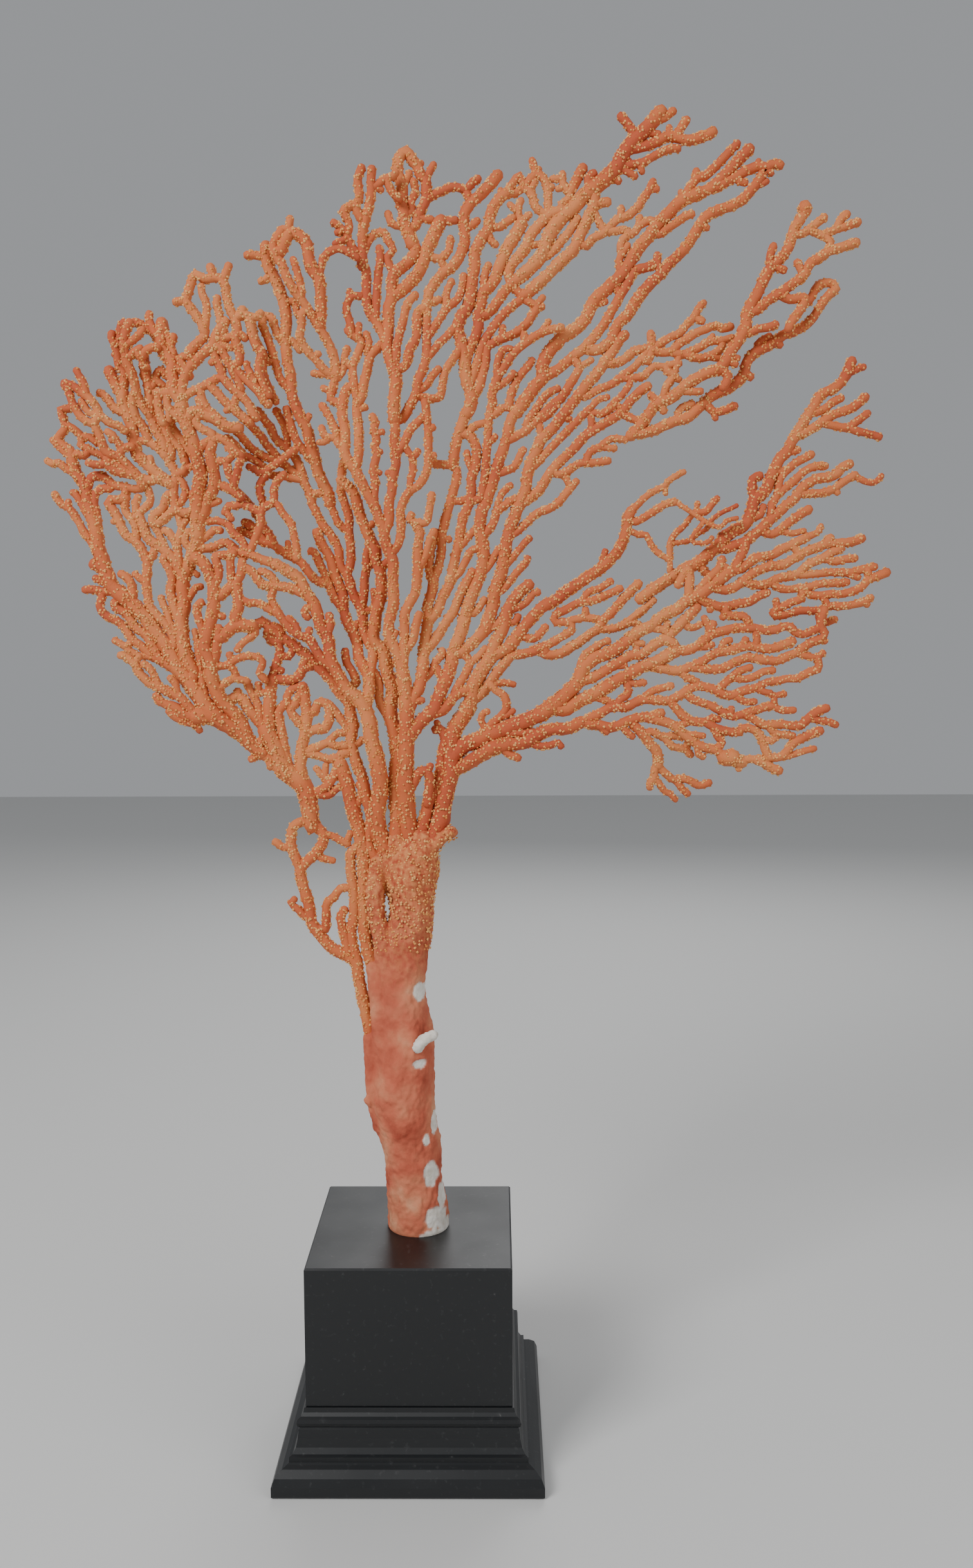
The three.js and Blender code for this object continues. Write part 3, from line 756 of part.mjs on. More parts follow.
2 1.8 : 113.5,520.5 117,522 121.5,525 125.5,526.5 128.5,530 132,533.5 134.5,538 137,540.5
1.7 1.8 : 133,533.5 136.5,532
2.1 1.9 : 113.5,519 119.5,518 123.5,519.5 125.5,522 130,524.5 133.5,527 138,528.5 142,530 145.5,528.5
  149.5,529.5
2 1.8 : 121,518 127,517 131.5,518.5 135.5,520.5 140,523 144.5,523 150,524.5
1.6 1.5 : 140,523 141,525.5
2 1.9 : 128,517 133,515.5 137,515.5 141.5,517 145,519.5 145.5,521.5
1.8 1.7 : 139,515.5 144.5,515
1.7 1.6 : 123.5,507.5 126,505.5
@top_left_twigs upper_centre_left -7
2.4 2.1 : -20,556 -19.5,565 -19.5,570 -18.5,575 -17,579.5 -15.5,584.5 -15,588.5 -15,593 -14.5,598
2.1 2 : -19,575 -21.5,579.5 -22,583 -20.5,585 -20.5,588.5 -21,593 -19,598.5
2 1.9 ~ -22,583 -25.5,581.5 -28,579.5 -25.5,575.5 -25.5,572 -26.5,569.5 -23.5,564 -20,560
1.9 1.8 : -26.5,570 -29.5,573 -32.5,575
1.6 1.6 : -28.5,571 -31,570.5
1.8 1.7 : -26,568.5 -32,565.5
1.9 1.8 ~ -15,589.5 -11.5,591.5 -8.5,594 -5.5,594.5 -3.5,596.5
1.5 1.5 : -14,589.5 -10,589
1.8 1.8 ~ -7.5,594 -8,593 -5.5,588 -2,585
@upper_centre_slant upper_centre_left 0
2.1 2.7 : -4.5,509 0,512 2,519 4.5,523.5 5,530 5.5,535.5 9.5,539 10.5,545 13,549 17,554 21.5,557
  24.5,561.5 26.5,566 27,571.5 26.5,577 27,581.5 29.5,585.5 33,588.5 36.5,592 40,595.5 42.5,599
1.9 1.8 : 27,573.5 30,575.5 33,578
2 1.9 : -5,512 -4.5,516.5 -3.5,523.5 -1.5,530.5 0.5,539 4.5,544
2.1 2.3 : 9.5,539 9.5,535 9.5,529 9.5,523 9.5,516.5 8,510.5 5.5,505 4.5,499 1.5,493.5 -1.5,488.5 -5,487
1.9 1.8 : 9.5,514 15.5,522 20,526.5 23.5,530.5
2 1.9 : 9.5,524 15.5,533 18.5,538 23,541.5 25.5,546.5 26.5,553
1.8 1.7 : 18,538.5 18.5,545 21,550.5
1.7 1.7 : 10,539.5 15.5,542
1.8 1.7 : 5,500 8.5,502 12,507 15,510.5
1.9 1.9 ~ 4.5,498 10.5,497 15.5,498 16.5,503.5 18.5,510.5 23,517 25,520.5
1.7 1.6 : 7,497 8.5,495.5 9.5,490
@left_inner_twigs left_limb 0
2.9 2.6 : -50,318 -52,325 -52,331 -51,338 -49.5,343.5 -49,349 -48.5,352 -49.5,357 -50,361.5 -51,365.5
2.4 2.3 ~ -49,343 -44,345 -40.5,345 -38.5,348.5 -38,354 -39.5,357 -43.5,357 -45,353.5 -48.5,351.5
2 2 ~ -38.5,357 -35.5,353.5 -32,348.5 -29,344
2.2 2 ~ -51,334 -47,335 -43.5,336.5 -39,338.5 -35.5,337 -29,337
1.9 1.8 ~ -38,339.5 -34,343 -28,343
2 2 ~ -51,333 -45.5,333 -41.5,331.5 -38,330.5 -33.5,332
2.3 2.2 ~ -50,345 -54,350 -56.5,354 -54,357 -51.5,361.5
2 2 ~ -51,365 -55.5,364 -58,360 -57.5,357 -56.5,355
2.2 2.4 : -58.5,357 -62,353 -61.5,348.5 -60.5,343 -59,333 -57,325
@right_low_limb centre_low_twigs -7
3.2 3.8 : 15,322.5 19.5,325 24.5,327 28,329 32,331.5 35.5,333.5 39.5,336 43,337 47,338
3.3 3 : 46,337.5 51.5,338 55.5,339 58.5,341 62,343 65.5,344.5 70,345 74.5,345 78,346.5 81.5,348.5
2.4 2.2 : 81,348 85,350 89.5,352 93.5,354.5 98,355 102,355 105.5,357 109.5,358.5 113,358.5 118,358 122,358
2 1.8 : 56,338.5 60.5,337 65.5,337 70,338.5 71.5,336.5
2.2 1.9 : 43.5,336 47,333 51.5,331
2 2 : 58,343.5 54.5,343 50,343 46,342.5
2.6 2.2 : 81,348 85.5,347 90,346.5 94.5,345.5 98.5,346.5 102,348.5 105.5,349.5 109.5,350.5 113.5,350.5
  118.5,352.5
1.8 1.7 : 89,346 93,343
1.8 1.7 : 99.5,346.5 102,343.5 105,341
1.9 1.8 : 109.5,359 113,362 117,363.5 123,365
2.4 2.2 : 109,350.5 114.5,349.5 118.5,348.5 123,347 126,345 129,342 131,340.5 133.5,338.5 137,336.5
  140.5,335.5 144.5,334.5 147,332
1.8 1.8 ~ 124,346 127,346.5 131,348
1.8 1.7 : 129,341.5 133.5,342 138,341.5
1.8 1.7 : 135,337 135.5,333 138,331.5
2.2 2.1 : 122,358 125,354.5 128,351 131,349 134.5,348 138.5,348 142,346 145.5,344.5 150,343.5 154.5,343
  155.5,345 159.5,345 163,343 165,339.5 166.5,335.5 168,331.5
1.8 1.7 : 139,348.5 141.5,350 145,349
2 2 : 142.5,346 144.5,341.5 146.5,338.5 145,336 143,335
2.2 2.2 : 168,331 173.5,331.5 176.5,334 179.5,338 183,340 187,342 192,344
1.7 1.6 : 175,331.5 180.5,333 185,334.5 189.5,335.5
4 4.4 : 148.5,331 152,331.5
3.6 3 : 152.5,330 156.5,329
1.9 1.6 : 154,329 154.5,325.5
2 1.9 : 157.5,330.5 163,330.5 168,330.5
2.2 2.4 : 162,330.5 165.5,329 169.5,326.5 173.5,325
@right_middle_limb right_main_limb -7
2.3 2.2 : 113.5,374 118.5,373 123,372 127,372 130.5,373.5 134.5,375 138,377 141.5,379.5 144.5,380.5
  148.5,381 152,382 155.5,383 160,383 164.5,382 168.5,382 173,383.5 178,385.5
1.6 1.5 : 176.5,384.5 177,383
1.8 1.7 : 145,381 146.5,385 149.5,386
1.8 1.8 : 154.5,383 156.5,386.5
2.2 2.1 : 131.5,373.5 136.5,373 141.5,372.5 146.5,373 150,375 154.5,377 158.5,378 163,377 167,376.5
  171.5,376.5 175.5,378.5 179.5,380 182,382 185.5,384.5 189.5,386 191.5,387 192,389 190,392 190.5,396
  191.5,400
1.7 1.7 : 191,386.5 192.5,385
1.8 1.6 : 181,379.5 184.5,378.5 188.5,378 192,380
1.9 1.9 : 189,378.5 190,374 189.5,372 186.5,371.5 183,369.5 180,368 175.5,368 171.5,367 167,366.5
  163,364.5 158.5,363
2.2 2.2 : 159,363 154.5,362 151.5,360.5 148,360.5 144.5,362 141.5,363.5 137,364.5 134,364.5 130.5,363
  127,360.5 123,358.5
1.9 1.8 : 143.5,362.5 148,366.5 151,369.5 153.5,371.5 159,373.5
1.8 1.8 : 151.5,368.5 157,368 161.5,369.5 165,371.5 169.5,372
1.8 1.7 : 161.5,364 165.5,362 168.5,361.5
1.8 1.7 : 152,360.5 156.5,357.5 161.5,357.5
2 1.9 ~ 127,371.5 130,368.5 134,367 135,364.5
2.1 2 : 129,361.5 133,358.5 137,357 141.5,355.5 145,353.5 148.5,351.5 151.5,350.5 155.5,351.5 159.5,353
  163,354 166.5,355 170,355.5
1.7 1.7 : 150.5,351 150.5,354.5
1.8 1.8 : 170,355 173.5,353.5 179.5,353.5
1.6 1.6 : 170,355 170.5,360 175,361
1.6 1.5 : 170.5,360 168,361
2.1 2.2 : 156.5,352 161.5,349 165,347 168.5,346.5 173,347 177,346.5 181.5,346 184.5,348 187,350.5
  190.5,353 194.5,354.5
1.9 1.8 : 187,349.5 192,348.5 195.5,348 199,346.5
2 1.8 : 167.5,346.5 170.5,343 175,342 179.5,341.5
1.8 1.8 : 170.5,343 171.5,340.5 169.5,339 166.5,339.5
@far_right_limb right_inner_limb -7
2.7 2.6 : 103,480 108,485 111,489 115,494.5 120.5,496 124.5,499 128,502 132,504.5 136,506.5 140,508
  144,508.5
1.8 1.8 : 116,495 112,498.5
2.6 2.6 : 142,507.5 145.5,512 148,516.5 151,520.5 153,524 155,528 155,532 156.5,536.5 159.5,541.5
  161.5,546 163.5,550 166,554.5
2.4 2.4 : 166,554 169.5,557 173,561.5 175,566.5 176,571 178.5,574.5 181,578
3.1 3.1 : 180.5,578 180.5,580.5
2 1.9 : 165.5,554 165.5,559.5 167,563.5
1.9 1.9 : 166,554.5 169,553.5 172,552.5
2 1.9 : 175.5,568 180,568.5 183.5,571 187,573.5 189.5,575.5
1.9 1.9 : 182.5,570 187,568 190.5,566.5 192,564.5 192,561.5
1.9 1.9 : 189,567.5 193.5,569.5 196.5,570.5 200.5,571.5 204.5,573
1.9 1.9 : 195,571 197,574.5 199.5,576.5
2.4 2.2 : 156,533.5 160.5,535.5 165,539.5 169.5,542 173,544.5 176.5,547 180,549.5 182,553 183.5,555.5
  188,558 191.5,560.5 195.5,561.5 200,563 204,564
1.9 1.9 : 180.5,550 178.5,554.5 177.5,556
2.2 2.1 : 170.5,541.5 174.5,539.5 178,540 181.5,540
2.2 2.2 : 182,540 180.5,537 178.5,533.5 175.5,529.5 174,526
1.8 1.8 : 148,514.5 148,519.5
1.6 1.6 : 147,514 151.5,513.5
1.6 1.6 : 147,512 150.5,510.5
1.8 1.8 : 127,499.5 130.5,499 135,499
1.8 1.7 : 117,494.5 118.5,490.5
2 1.9 : 156,524.5 160,526.5 164.5,527 168.5,528.5
2 2 : 154.5,525.5 152,526.5
2.1 2.1 ~ 144.5,508 147,505 146,502.5 144.5,500
@far_right_loop far_right_limb 0
2.5 2.5 : 104,481 112,482 119.5,485 124.5,487 129,488 133,491 137,495 140.5,498 144.5,500 148.5,501.5
  153,505 155.5,508.5 156,512 158,515.5 161.5,518.5 165.5,520 170,523 174.5,526 178.5,527
2.2 2 : 178,527 183,529.5 187,533.5 190,538.5 193.5,543 197,545.5 195.5,548 192,548.5 188.5,547
  186.5,543.5 184.5,540 181.5,538.5
2 2 : 156.5,508 158.5,506
1.9 1.8 : 162,518.5 161.5,521.5 164.5,523.5 167,525
1.8 1.8 : 170,522 172,520.5
1.9 1.8 : 125,487.5 125.5,491.5 128.5,493.5 132,494.5
2 1.8 : 138,495 140.5,491.5 143.5,490.5 147,491.5 151.5,493.5
1.7 1.6 : 141,491 142.5,487.5
@right_drooping_twigs right_low_limb 0
2.4 2.6 : 105,347 108.5,343.5 111,341 113.5,337 116.5,334 117,330 117,327
2 1.8 : 116.5,328 115.5,325 115.5,321.5 113.5,319 113.5,316.5
1.8 1.4 : 115.5,321 118.5,318 120.5,315 123.5,313.5 126,310.5
2 1.9 : 117.5,327 121.5,323 125,320.5 129.5,321 133.5,319.5 137,317.5 142,319
1.8 1.7 : 125.5,320 129.5,315.5 132,313.5
2 1.8 : 110,342.5 113.5,343.5 117,342 120.5,340 123,337 127,335.5 129.5,335.5 131.5,333.5 133,332
1.8 1.8 ~ 119,341 124.5,341.5 128.5,340.5
1.6 1.5 : 131.5,338 130.5,335
@left_lobe_twigs left_lobe_centre 0
2 2.3 : -109.5,384 -110,388 -113,393.5 -116,397 -119,400 -121,403 -122,408.5 -122.5,414.5 -122,419.5
  -122,423.5 -123.5,427 -125,430.5 -128,433.5 -131.5,435.5 -133.5,439.5 -135,443 -137,447 -139.5,450
  -138,452 -134.5,452 -130.5,453
1.7 1.7 : -135,442 -137.5,442
2 1.9 : -126.5,434.5 -127,439.5 -128.5,443 -131.5,446.5 -131.5,450.5 -131,457
2 1.9 : -128.5,443 -125.5,445.5 -122,448.5 -120,450 -119.5,452 -120.5,456.5 -123,459.5
1.9 1.8 : -126.5,446 -126.5,450.5 -125,453.5
1.8 1.7 : -122.5,414 -125.5,415.5 -128,418
2 1.9 ~ -122,424.5 -119.5,425.5 -118.5,429.5
@right_far_limb right_limb_low 0
2.9 3 : 108,405 113,409 119,413 125,416.5 129.5,419.5 134.5,421.5 138,424.5 142,428 145,431 148,435
3 2.6 : 147,433.5 152,437 155.5,438.5 158,442 159.5,446.5 160.5,450.5 164.5,453.5 166.5,457 168,461.5
  170,465.5 172,469.5 175,472 177,476.5 179.5,480.5
2.5 2.4 : 179,479 182,484.5 185,489.5 187.5,493 189.5,497 193,499.5 196,500.5 199.5,503.5 202,507
  203.5,510.5 204.5,513.5
2.2 2.2 : 160.5,450 159.5,455 159.5,460 163,461.5
1.9 1.9 : 158.5,441.5 163,443.5 164.5,447.5
2 2 : 170,463.5 175,463.5 177,465.5 180.5,468 186.5,471
1.9 1.9 ~ 175,463 172,460 171.5,455.5 170.5,451.5 168.5,448 168,442.5
2 1.9 : 171.5,452.5 175.5,456.5 179.5,460 183.5,463.5 188,465.5 193,465.5
1.7 1.6 : 177,472 180.5,473
1.8 1.7 : 204,508 208,510 210,510.5
2 1.9 : 186,489.5 192,491.5 195.5,494.5 200,496.5
2.3 2.1 : 179,479 183.5,481 188,483.5 191.5,486 195.5,488.5 200.5,490.5 205,492 211,497
2 1.9 : 192,485 198,483.5 203,483 206.5,485.5 212,489.5
1.9 1.8 : 203,482.5 206.5,481.5 210.5,480.5 214.5,479.5 217.5,478.5
2 2 ~ 136,421 138.5,417.5 140.5,416.5
@right_fan_limb right_far_limb 0
2.5 2.3 : 143,428.5 148,428.5 152,430 156.5,431.5 160.5,434.5 164.5,438 168,441.5 171.5,444.5 175,448
  178.5,450.5 181.5,455 185,458 189.5,460 194.5,460.5 198,462 200.5,465 204,466.5
2 1.9 : 180.5,453 187,453 192,453.5 196.5,455 200.5,458 204.5,460.5 206.5,461.5
1.6 1.5 : 206,461 208.5,459.5 212,458 215.5,458 218.5,461
1.6 1.5 : 197,455 198.5,453
2 2.2 : 163,436.5 168.5,434.5 172,436.5 176.5,440 180.5,443 185.5,446
1.6 1.5 : 172,436 178,435 182,436 183.5,436
`;

// The text above as a list of limbs.
function readLimbs(text) {
  const limbs = [];
  for (const line of text.trim().replace(/\n +/g, " ").split("\n")) {
    const words = line.trim().split(/\s+/);
    if (words[0][0] === "@") {
      limbs.push({ name: words[0].slice(1), parent: words[1], depth: Number(words[2]), branches: [] });
      continue;
    }
    const route = words.slice(3).map((pair) => pair.split(",").map(Number));
    const link = words[2] === "~";
    limbs[limbs.length - 1].branches.push({ start: Number(words[0]), end: Number(words[1]), link, route });
  }
  return limbs;
}

// The gentle front-to-back sway that the whole fan has.
function sway(x, z) {
  return 4 * Math.sin(x / 61 + 0.6) + 3 * Math.sin(z / 47 + x / 90);
}

function smooth(t) {
  const s = Math.min(1, Math.max(0, t));
  return s * s * (3 - 2 * s);
}

// A limb's depth at a point, without the sway: its parent's at the fork, its own further out.
function depthAt(limb, x, z, limbs) {
  if (!limb) return 0;
  const [rootX, rootZ] = limb.branches[0].route[0];
  const t = smooth(Math.hypot(x - rootX, z - rootZ) / DEPTH_BLEND);
  return (1 - t) * depthAt(limbs.get(limb.parent), rootX, rootZ, limbs) + t * limb.depth;
}

// The sway fades out down the trunk, so that the limbs leave it where it is.
function place(limb, x, z, limbs) {
  const y = depthAt(limb, x, z, limbs) + sway(x, z) * smooth((z - 285) / 120);
  return new THREE.Vector3(x, y, z);
}

// The route with its small bends taken out.
function straightened(route) {
  if (route.length < 3) return route;
  const [ax, az] = route[0];
  const [bx, bz] = route[route.length - 1];
  const length = Math.hypot(bx - ax, bz - az) || 1e-6;
  let worst = 0;
  let at = 0;
  route.forEach(([x, z], i) => {
    const off =
      length < 1 ? Math.hypot(x - ax, z - az) : Math.abs((bx - ax) * (z - az) - (bz - az) * (x - ax)) / length;
    if (off > worst) {
      worst = off;
      at = i;
    }
  });
  if (worst < STRAIGHTEN) return [route[0], route[route.length - 1]];
  return [...straightened(route.slice(0, at + 1)).slice(0, -1), ...straightened(route.slice(at))];
}

// The point of the grown branches nearest to p, seen from the front.
function nearest(grown, p) {
  let best = { gap: Infinity, point: p };
  for (const route of grown) {
    for (let i = 0; i + 1 < route.length; i++) {
      const a = route[i];
      const b = route[i + 1];
      const dx = b.x - a.x;
      const dz = b.z - a.z;
      const t = Math.min(1, Math.max(0, ((p.x - a.x) * dx + (p.z - a.z) * dz) / (dx * dx + dz * dz || 1)));
      const q = new THREE.Vector3().lerpVectors(a, b, t);
      const gap = Math.hypot(q.x - p.x, q.z - p.z);
      if (gap < best.gap) best = { gap, point: q };
    }
  }
  return best;
}

function lengthOf(route) {
  let sum = 0;
  for (let i = 1; i < route.length; i++) {
    sum += Math.hypot(route[i][0] - route[i - 1][0], route[i][1] - route[i - 1][1]);
  }
  return sum;
}

// One limb's stems, each rooted on what has already grown, and the same stems a seam larger.
function growLimb(limb, limbs) {
  const grown = [];
  const stems = [];
  const sheaths = [];
  for (const branch of limb.branches) {
    if (grown.length && lengthOf(branch.route) < SHORTEST_TWIG) continue;
    const route = straightened(branch.route).map(([x, z]) => place(limb, x, z, limbs));
    if (grown.length) {
      const root = nearest(grown, route[0]);
      if (root.gap > 9) continue;
      if (root.gap > 0.3) route.unshift(root.point);
      else route[0] = root.point;
      if (branch.link) {
        const end = nearest(grown, route[route.length - 1]);
        if (end.gap < 4) route.push(end.point);
      }
    }
    const kept = route.filter((p, i) => i === 0 || p.distanceTo(route[i - 1]) > 0.8);
    if (kept.length < 2) continue;
    const last = kept.length - 1;
    const radii = kept.map((p, i) => branch.start + ((branch.end - branch.start) * i) / last);
    const sides = branch.start > 3.4 ? 4 : 3;
    stems.push(stem(kept, radii, sides, 0));
    sheaths.push(stem(kept, radii, sides, 2 * SEAM));
    grown.push(kept);
  }
  return { body: joined(stems), sheath: joined(sheaths) };
}

// ---- The trunk ----
// Its stems have grown together: X, Y, Z and radius at each point.
const TRUNK_STEMS = [
  [[2, 0, PLINTH_TOP + SEAM, 15], [2, 0, 110, 14.6], [0, 0, 126, 13.8], [-1, 0, 140, 13.8], [-3.5, 0, 155, 15],
    [-5, 0, 168, 15.4], [-4, 0, 180, 14.4], [-3, 0, 195, 13.2], [-4, 0, 210, 11.6], [-4.5, 0, 222, 11],
    [-2.5, 0, 236, 10.4], [-0.5, 0, 250, 10.4], [0.5, 0, 264, 10.4], [2, 0, 277, 11.2], [3.5, 0, 287, 11.2],
    [4.5, 0, 294, 9]],
  [[-13, -1, 152, 6.4], [-17, -1, 167, 6], [-18.5, -1, 180, 4.6], [-20, 0, 194, 4]],
  [[-12, -3, 184, 5.4], [-14.5, -3, 204, 5], [-16, -2, 219, 5], [-17.4, 0, 229, 4.2]],
  [[-10, -3, 222, 5], [-13.5, -3, 240, 4.2], [-16.6, -2, 256, 4.4], [-17.6, -1, 268, 4.8], [-16.4, 0, 280, 4.2]],
  [[-5, 3, 262, 6], [-9, 2, 276, 5.6], [-11, 1, 284.4, 4.8]],
  [[-4, -3, 266, 6.4], [-6, -2, 280, 5.6], [-6.6, 0, 290, 4.4]],
  [[10, -2, 288, 3.4], [16, -3, 294, 3.2], [20.6, -3, 296.4, 3.4]],
  [[-19, -3, 164, 3.4], [-21.8, -4, 166.5, 2.4]],
  [[5, -9, 196, 2.6], [9, -9.6, 198.4, 2.4], [11.4, -9, 199.6, 2]],
];

function trunkStems(grow) {
  return TRUNK_STEMS.map((points, i) =>
    stem(points.map(([x, y, z]) => new THREE.Vector3(x, y, z)), points.map((p) => p[3]), i ? 6 : TRUNK_SIDES, grow),
  );
}

// ---- The plinth ----

// A square moulding from its half-width at each height. The profile starts and ends on the axis.
function moulding(profile) {
  const points = profile.map(([half, z]) => new THREE.Vector2(half * Math.SQRT2, z));
  const turned = new THREE.LatheGeometry(points, 4, Math.PI / 4);
  turned.rotateX(Math.PI / 2);
  return solid(turned);
}

const HALF = BLOCK_WIDTH / 2;
const blockProfile = [
  [0, BLOCK_BOTTOM], [HALF, BLOCK_BOTTOM], [HALF, PLINTH_TOP - 0.8], [HALF - 0.8, PLINTH_TOP], [0, PLINTH_TOP],
];
const footProfile = [
  [0, 0], [FOOT_HALF - 0.8, 0], [FOOT_HALF, 1], [FOOT_HALF, 5.5], [FOOT_HALF - 1.4, 9], [FOOT_HALF - 4.4, 11.6],
  [55.6, 12.6], [54.6, 13.2], [54.6, 15.6], [53.2, 16.2], [51.8, 18.6], [51, 22.4], [50.6, 26.4], [50.2, 27.4],
  [51, 28.2], [51.4, 29.8], [51, 31.4], [49.6, 32.2], [48.6, 33.6], [48.2, BLOCK_BOTTOM - SEAM], [0, BLOCK_BOTTOM - SEAM],
];

// ---- Materials and the part ----

function coralMaterial(color) {
  return new THREE.MeshStandardMaterial({ color, roughness: 0.85, metalness: 0 });
}

function paintMaterial() {
  return new THREE.MeshStandardMaterial({ color: 0x0b0c0d, roughness: 0.4, metalness: 0 });
}

function named(name, body, material) {
  const mesh = new THREE.Mesh(geometryOf(body), material);
  mesh.name = name;
  return mesh;
}

const group = new THREE.Group();
group.add(named("plinth_block", moulding(blockProfile), paintMaterial()));
group.add(named("plinth_foot", moulding(footProfile), paintMaterial()));
group.add(named("trunk", largest(joined(trunkStems(0))), coralMaterial(0xc8705a)));

const limbs = new Map(readLimbs(FAN).map((limb) => [limb.name, limb]));
let taken = joined(trunkStems(2 * SEAM));
for (const limb of limbs.values()) {
  const { body, sheath } = growLimb(limb, limbs);
  group.add(named(limb.name, largest(body.subtract(taken)), coralMaterial(0xd98a5c)));
  taken = joined([taken, sheath, body]);
}

export default group;
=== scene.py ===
"""The sea fan's picture model: every branch as a round tapering stem covered in polyp bumps, a grown-together
trunk with bare chalky patches, and the black painted plinth of the CAD. Metres, +Z up, front facing -Y."""

import json
import math

import bpy
import numpy as np
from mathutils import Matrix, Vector, noise

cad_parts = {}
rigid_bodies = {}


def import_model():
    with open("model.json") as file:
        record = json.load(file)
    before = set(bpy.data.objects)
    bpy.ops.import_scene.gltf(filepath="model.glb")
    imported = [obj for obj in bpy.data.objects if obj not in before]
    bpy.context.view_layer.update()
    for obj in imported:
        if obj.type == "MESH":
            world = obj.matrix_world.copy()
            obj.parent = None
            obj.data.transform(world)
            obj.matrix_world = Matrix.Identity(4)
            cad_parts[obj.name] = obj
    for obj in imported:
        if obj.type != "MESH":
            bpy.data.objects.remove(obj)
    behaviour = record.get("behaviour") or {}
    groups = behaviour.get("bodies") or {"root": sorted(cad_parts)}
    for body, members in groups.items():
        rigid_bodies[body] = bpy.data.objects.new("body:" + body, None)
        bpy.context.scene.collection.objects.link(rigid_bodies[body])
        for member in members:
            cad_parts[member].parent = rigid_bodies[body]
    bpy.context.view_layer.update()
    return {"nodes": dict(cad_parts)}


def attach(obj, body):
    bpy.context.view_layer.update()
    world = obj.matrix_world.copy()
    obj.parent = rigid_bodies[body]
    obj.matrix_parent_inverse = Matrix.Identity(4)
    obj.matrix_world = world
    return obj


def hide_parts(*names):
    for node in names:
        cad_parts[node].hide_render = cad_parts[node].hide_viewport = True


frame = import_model()

MM = 0.001
SEED = 7
DEPTH_BLEND = 50.0  # mm over which a limb leaves its parent's depth for its own
RING_STEP = 2.0  # mm between the rings of a branch
RING_SIDES = 7
POLYP_SPACING = 4.0  # mm2 of skin for each polyp
POLYP_SIZE = 0.62  # mm, a polyp bump's radius
POLYP_CORNERS = 4
POLYP_SINK = 0.15  # mm a polyp's foot sits under the skin
CAP_REACH = 0.6  # how far a stem's end dome stands out, in its own radii
ROOT_CAP = 0.55  # the radius of the dome at a stem's root, in stem radii
TIP_CAP = 0.6  # the same at its tip
BRANCH_ROUGHNESS = 0.1  # lumpiness of a branch, as a part of its radius
LINK_REACH = 4.0  # mm within which a link joins the branch ahead of it
LEAST_STEP = 0.8  # mm between the points kept on a route
CROWN_Z = 285.0  # mm, where the sway begins
CROWN_BLEND = 120.0  # mm over which it grows to its full size
TRUNK_BOTTOM = 101.9  # mm
FRESH_Z = 238.0  # mm, above which the trunk still carries polyps
TRUNK_STEP = 2.0  # mm between the rings of a trunk stem

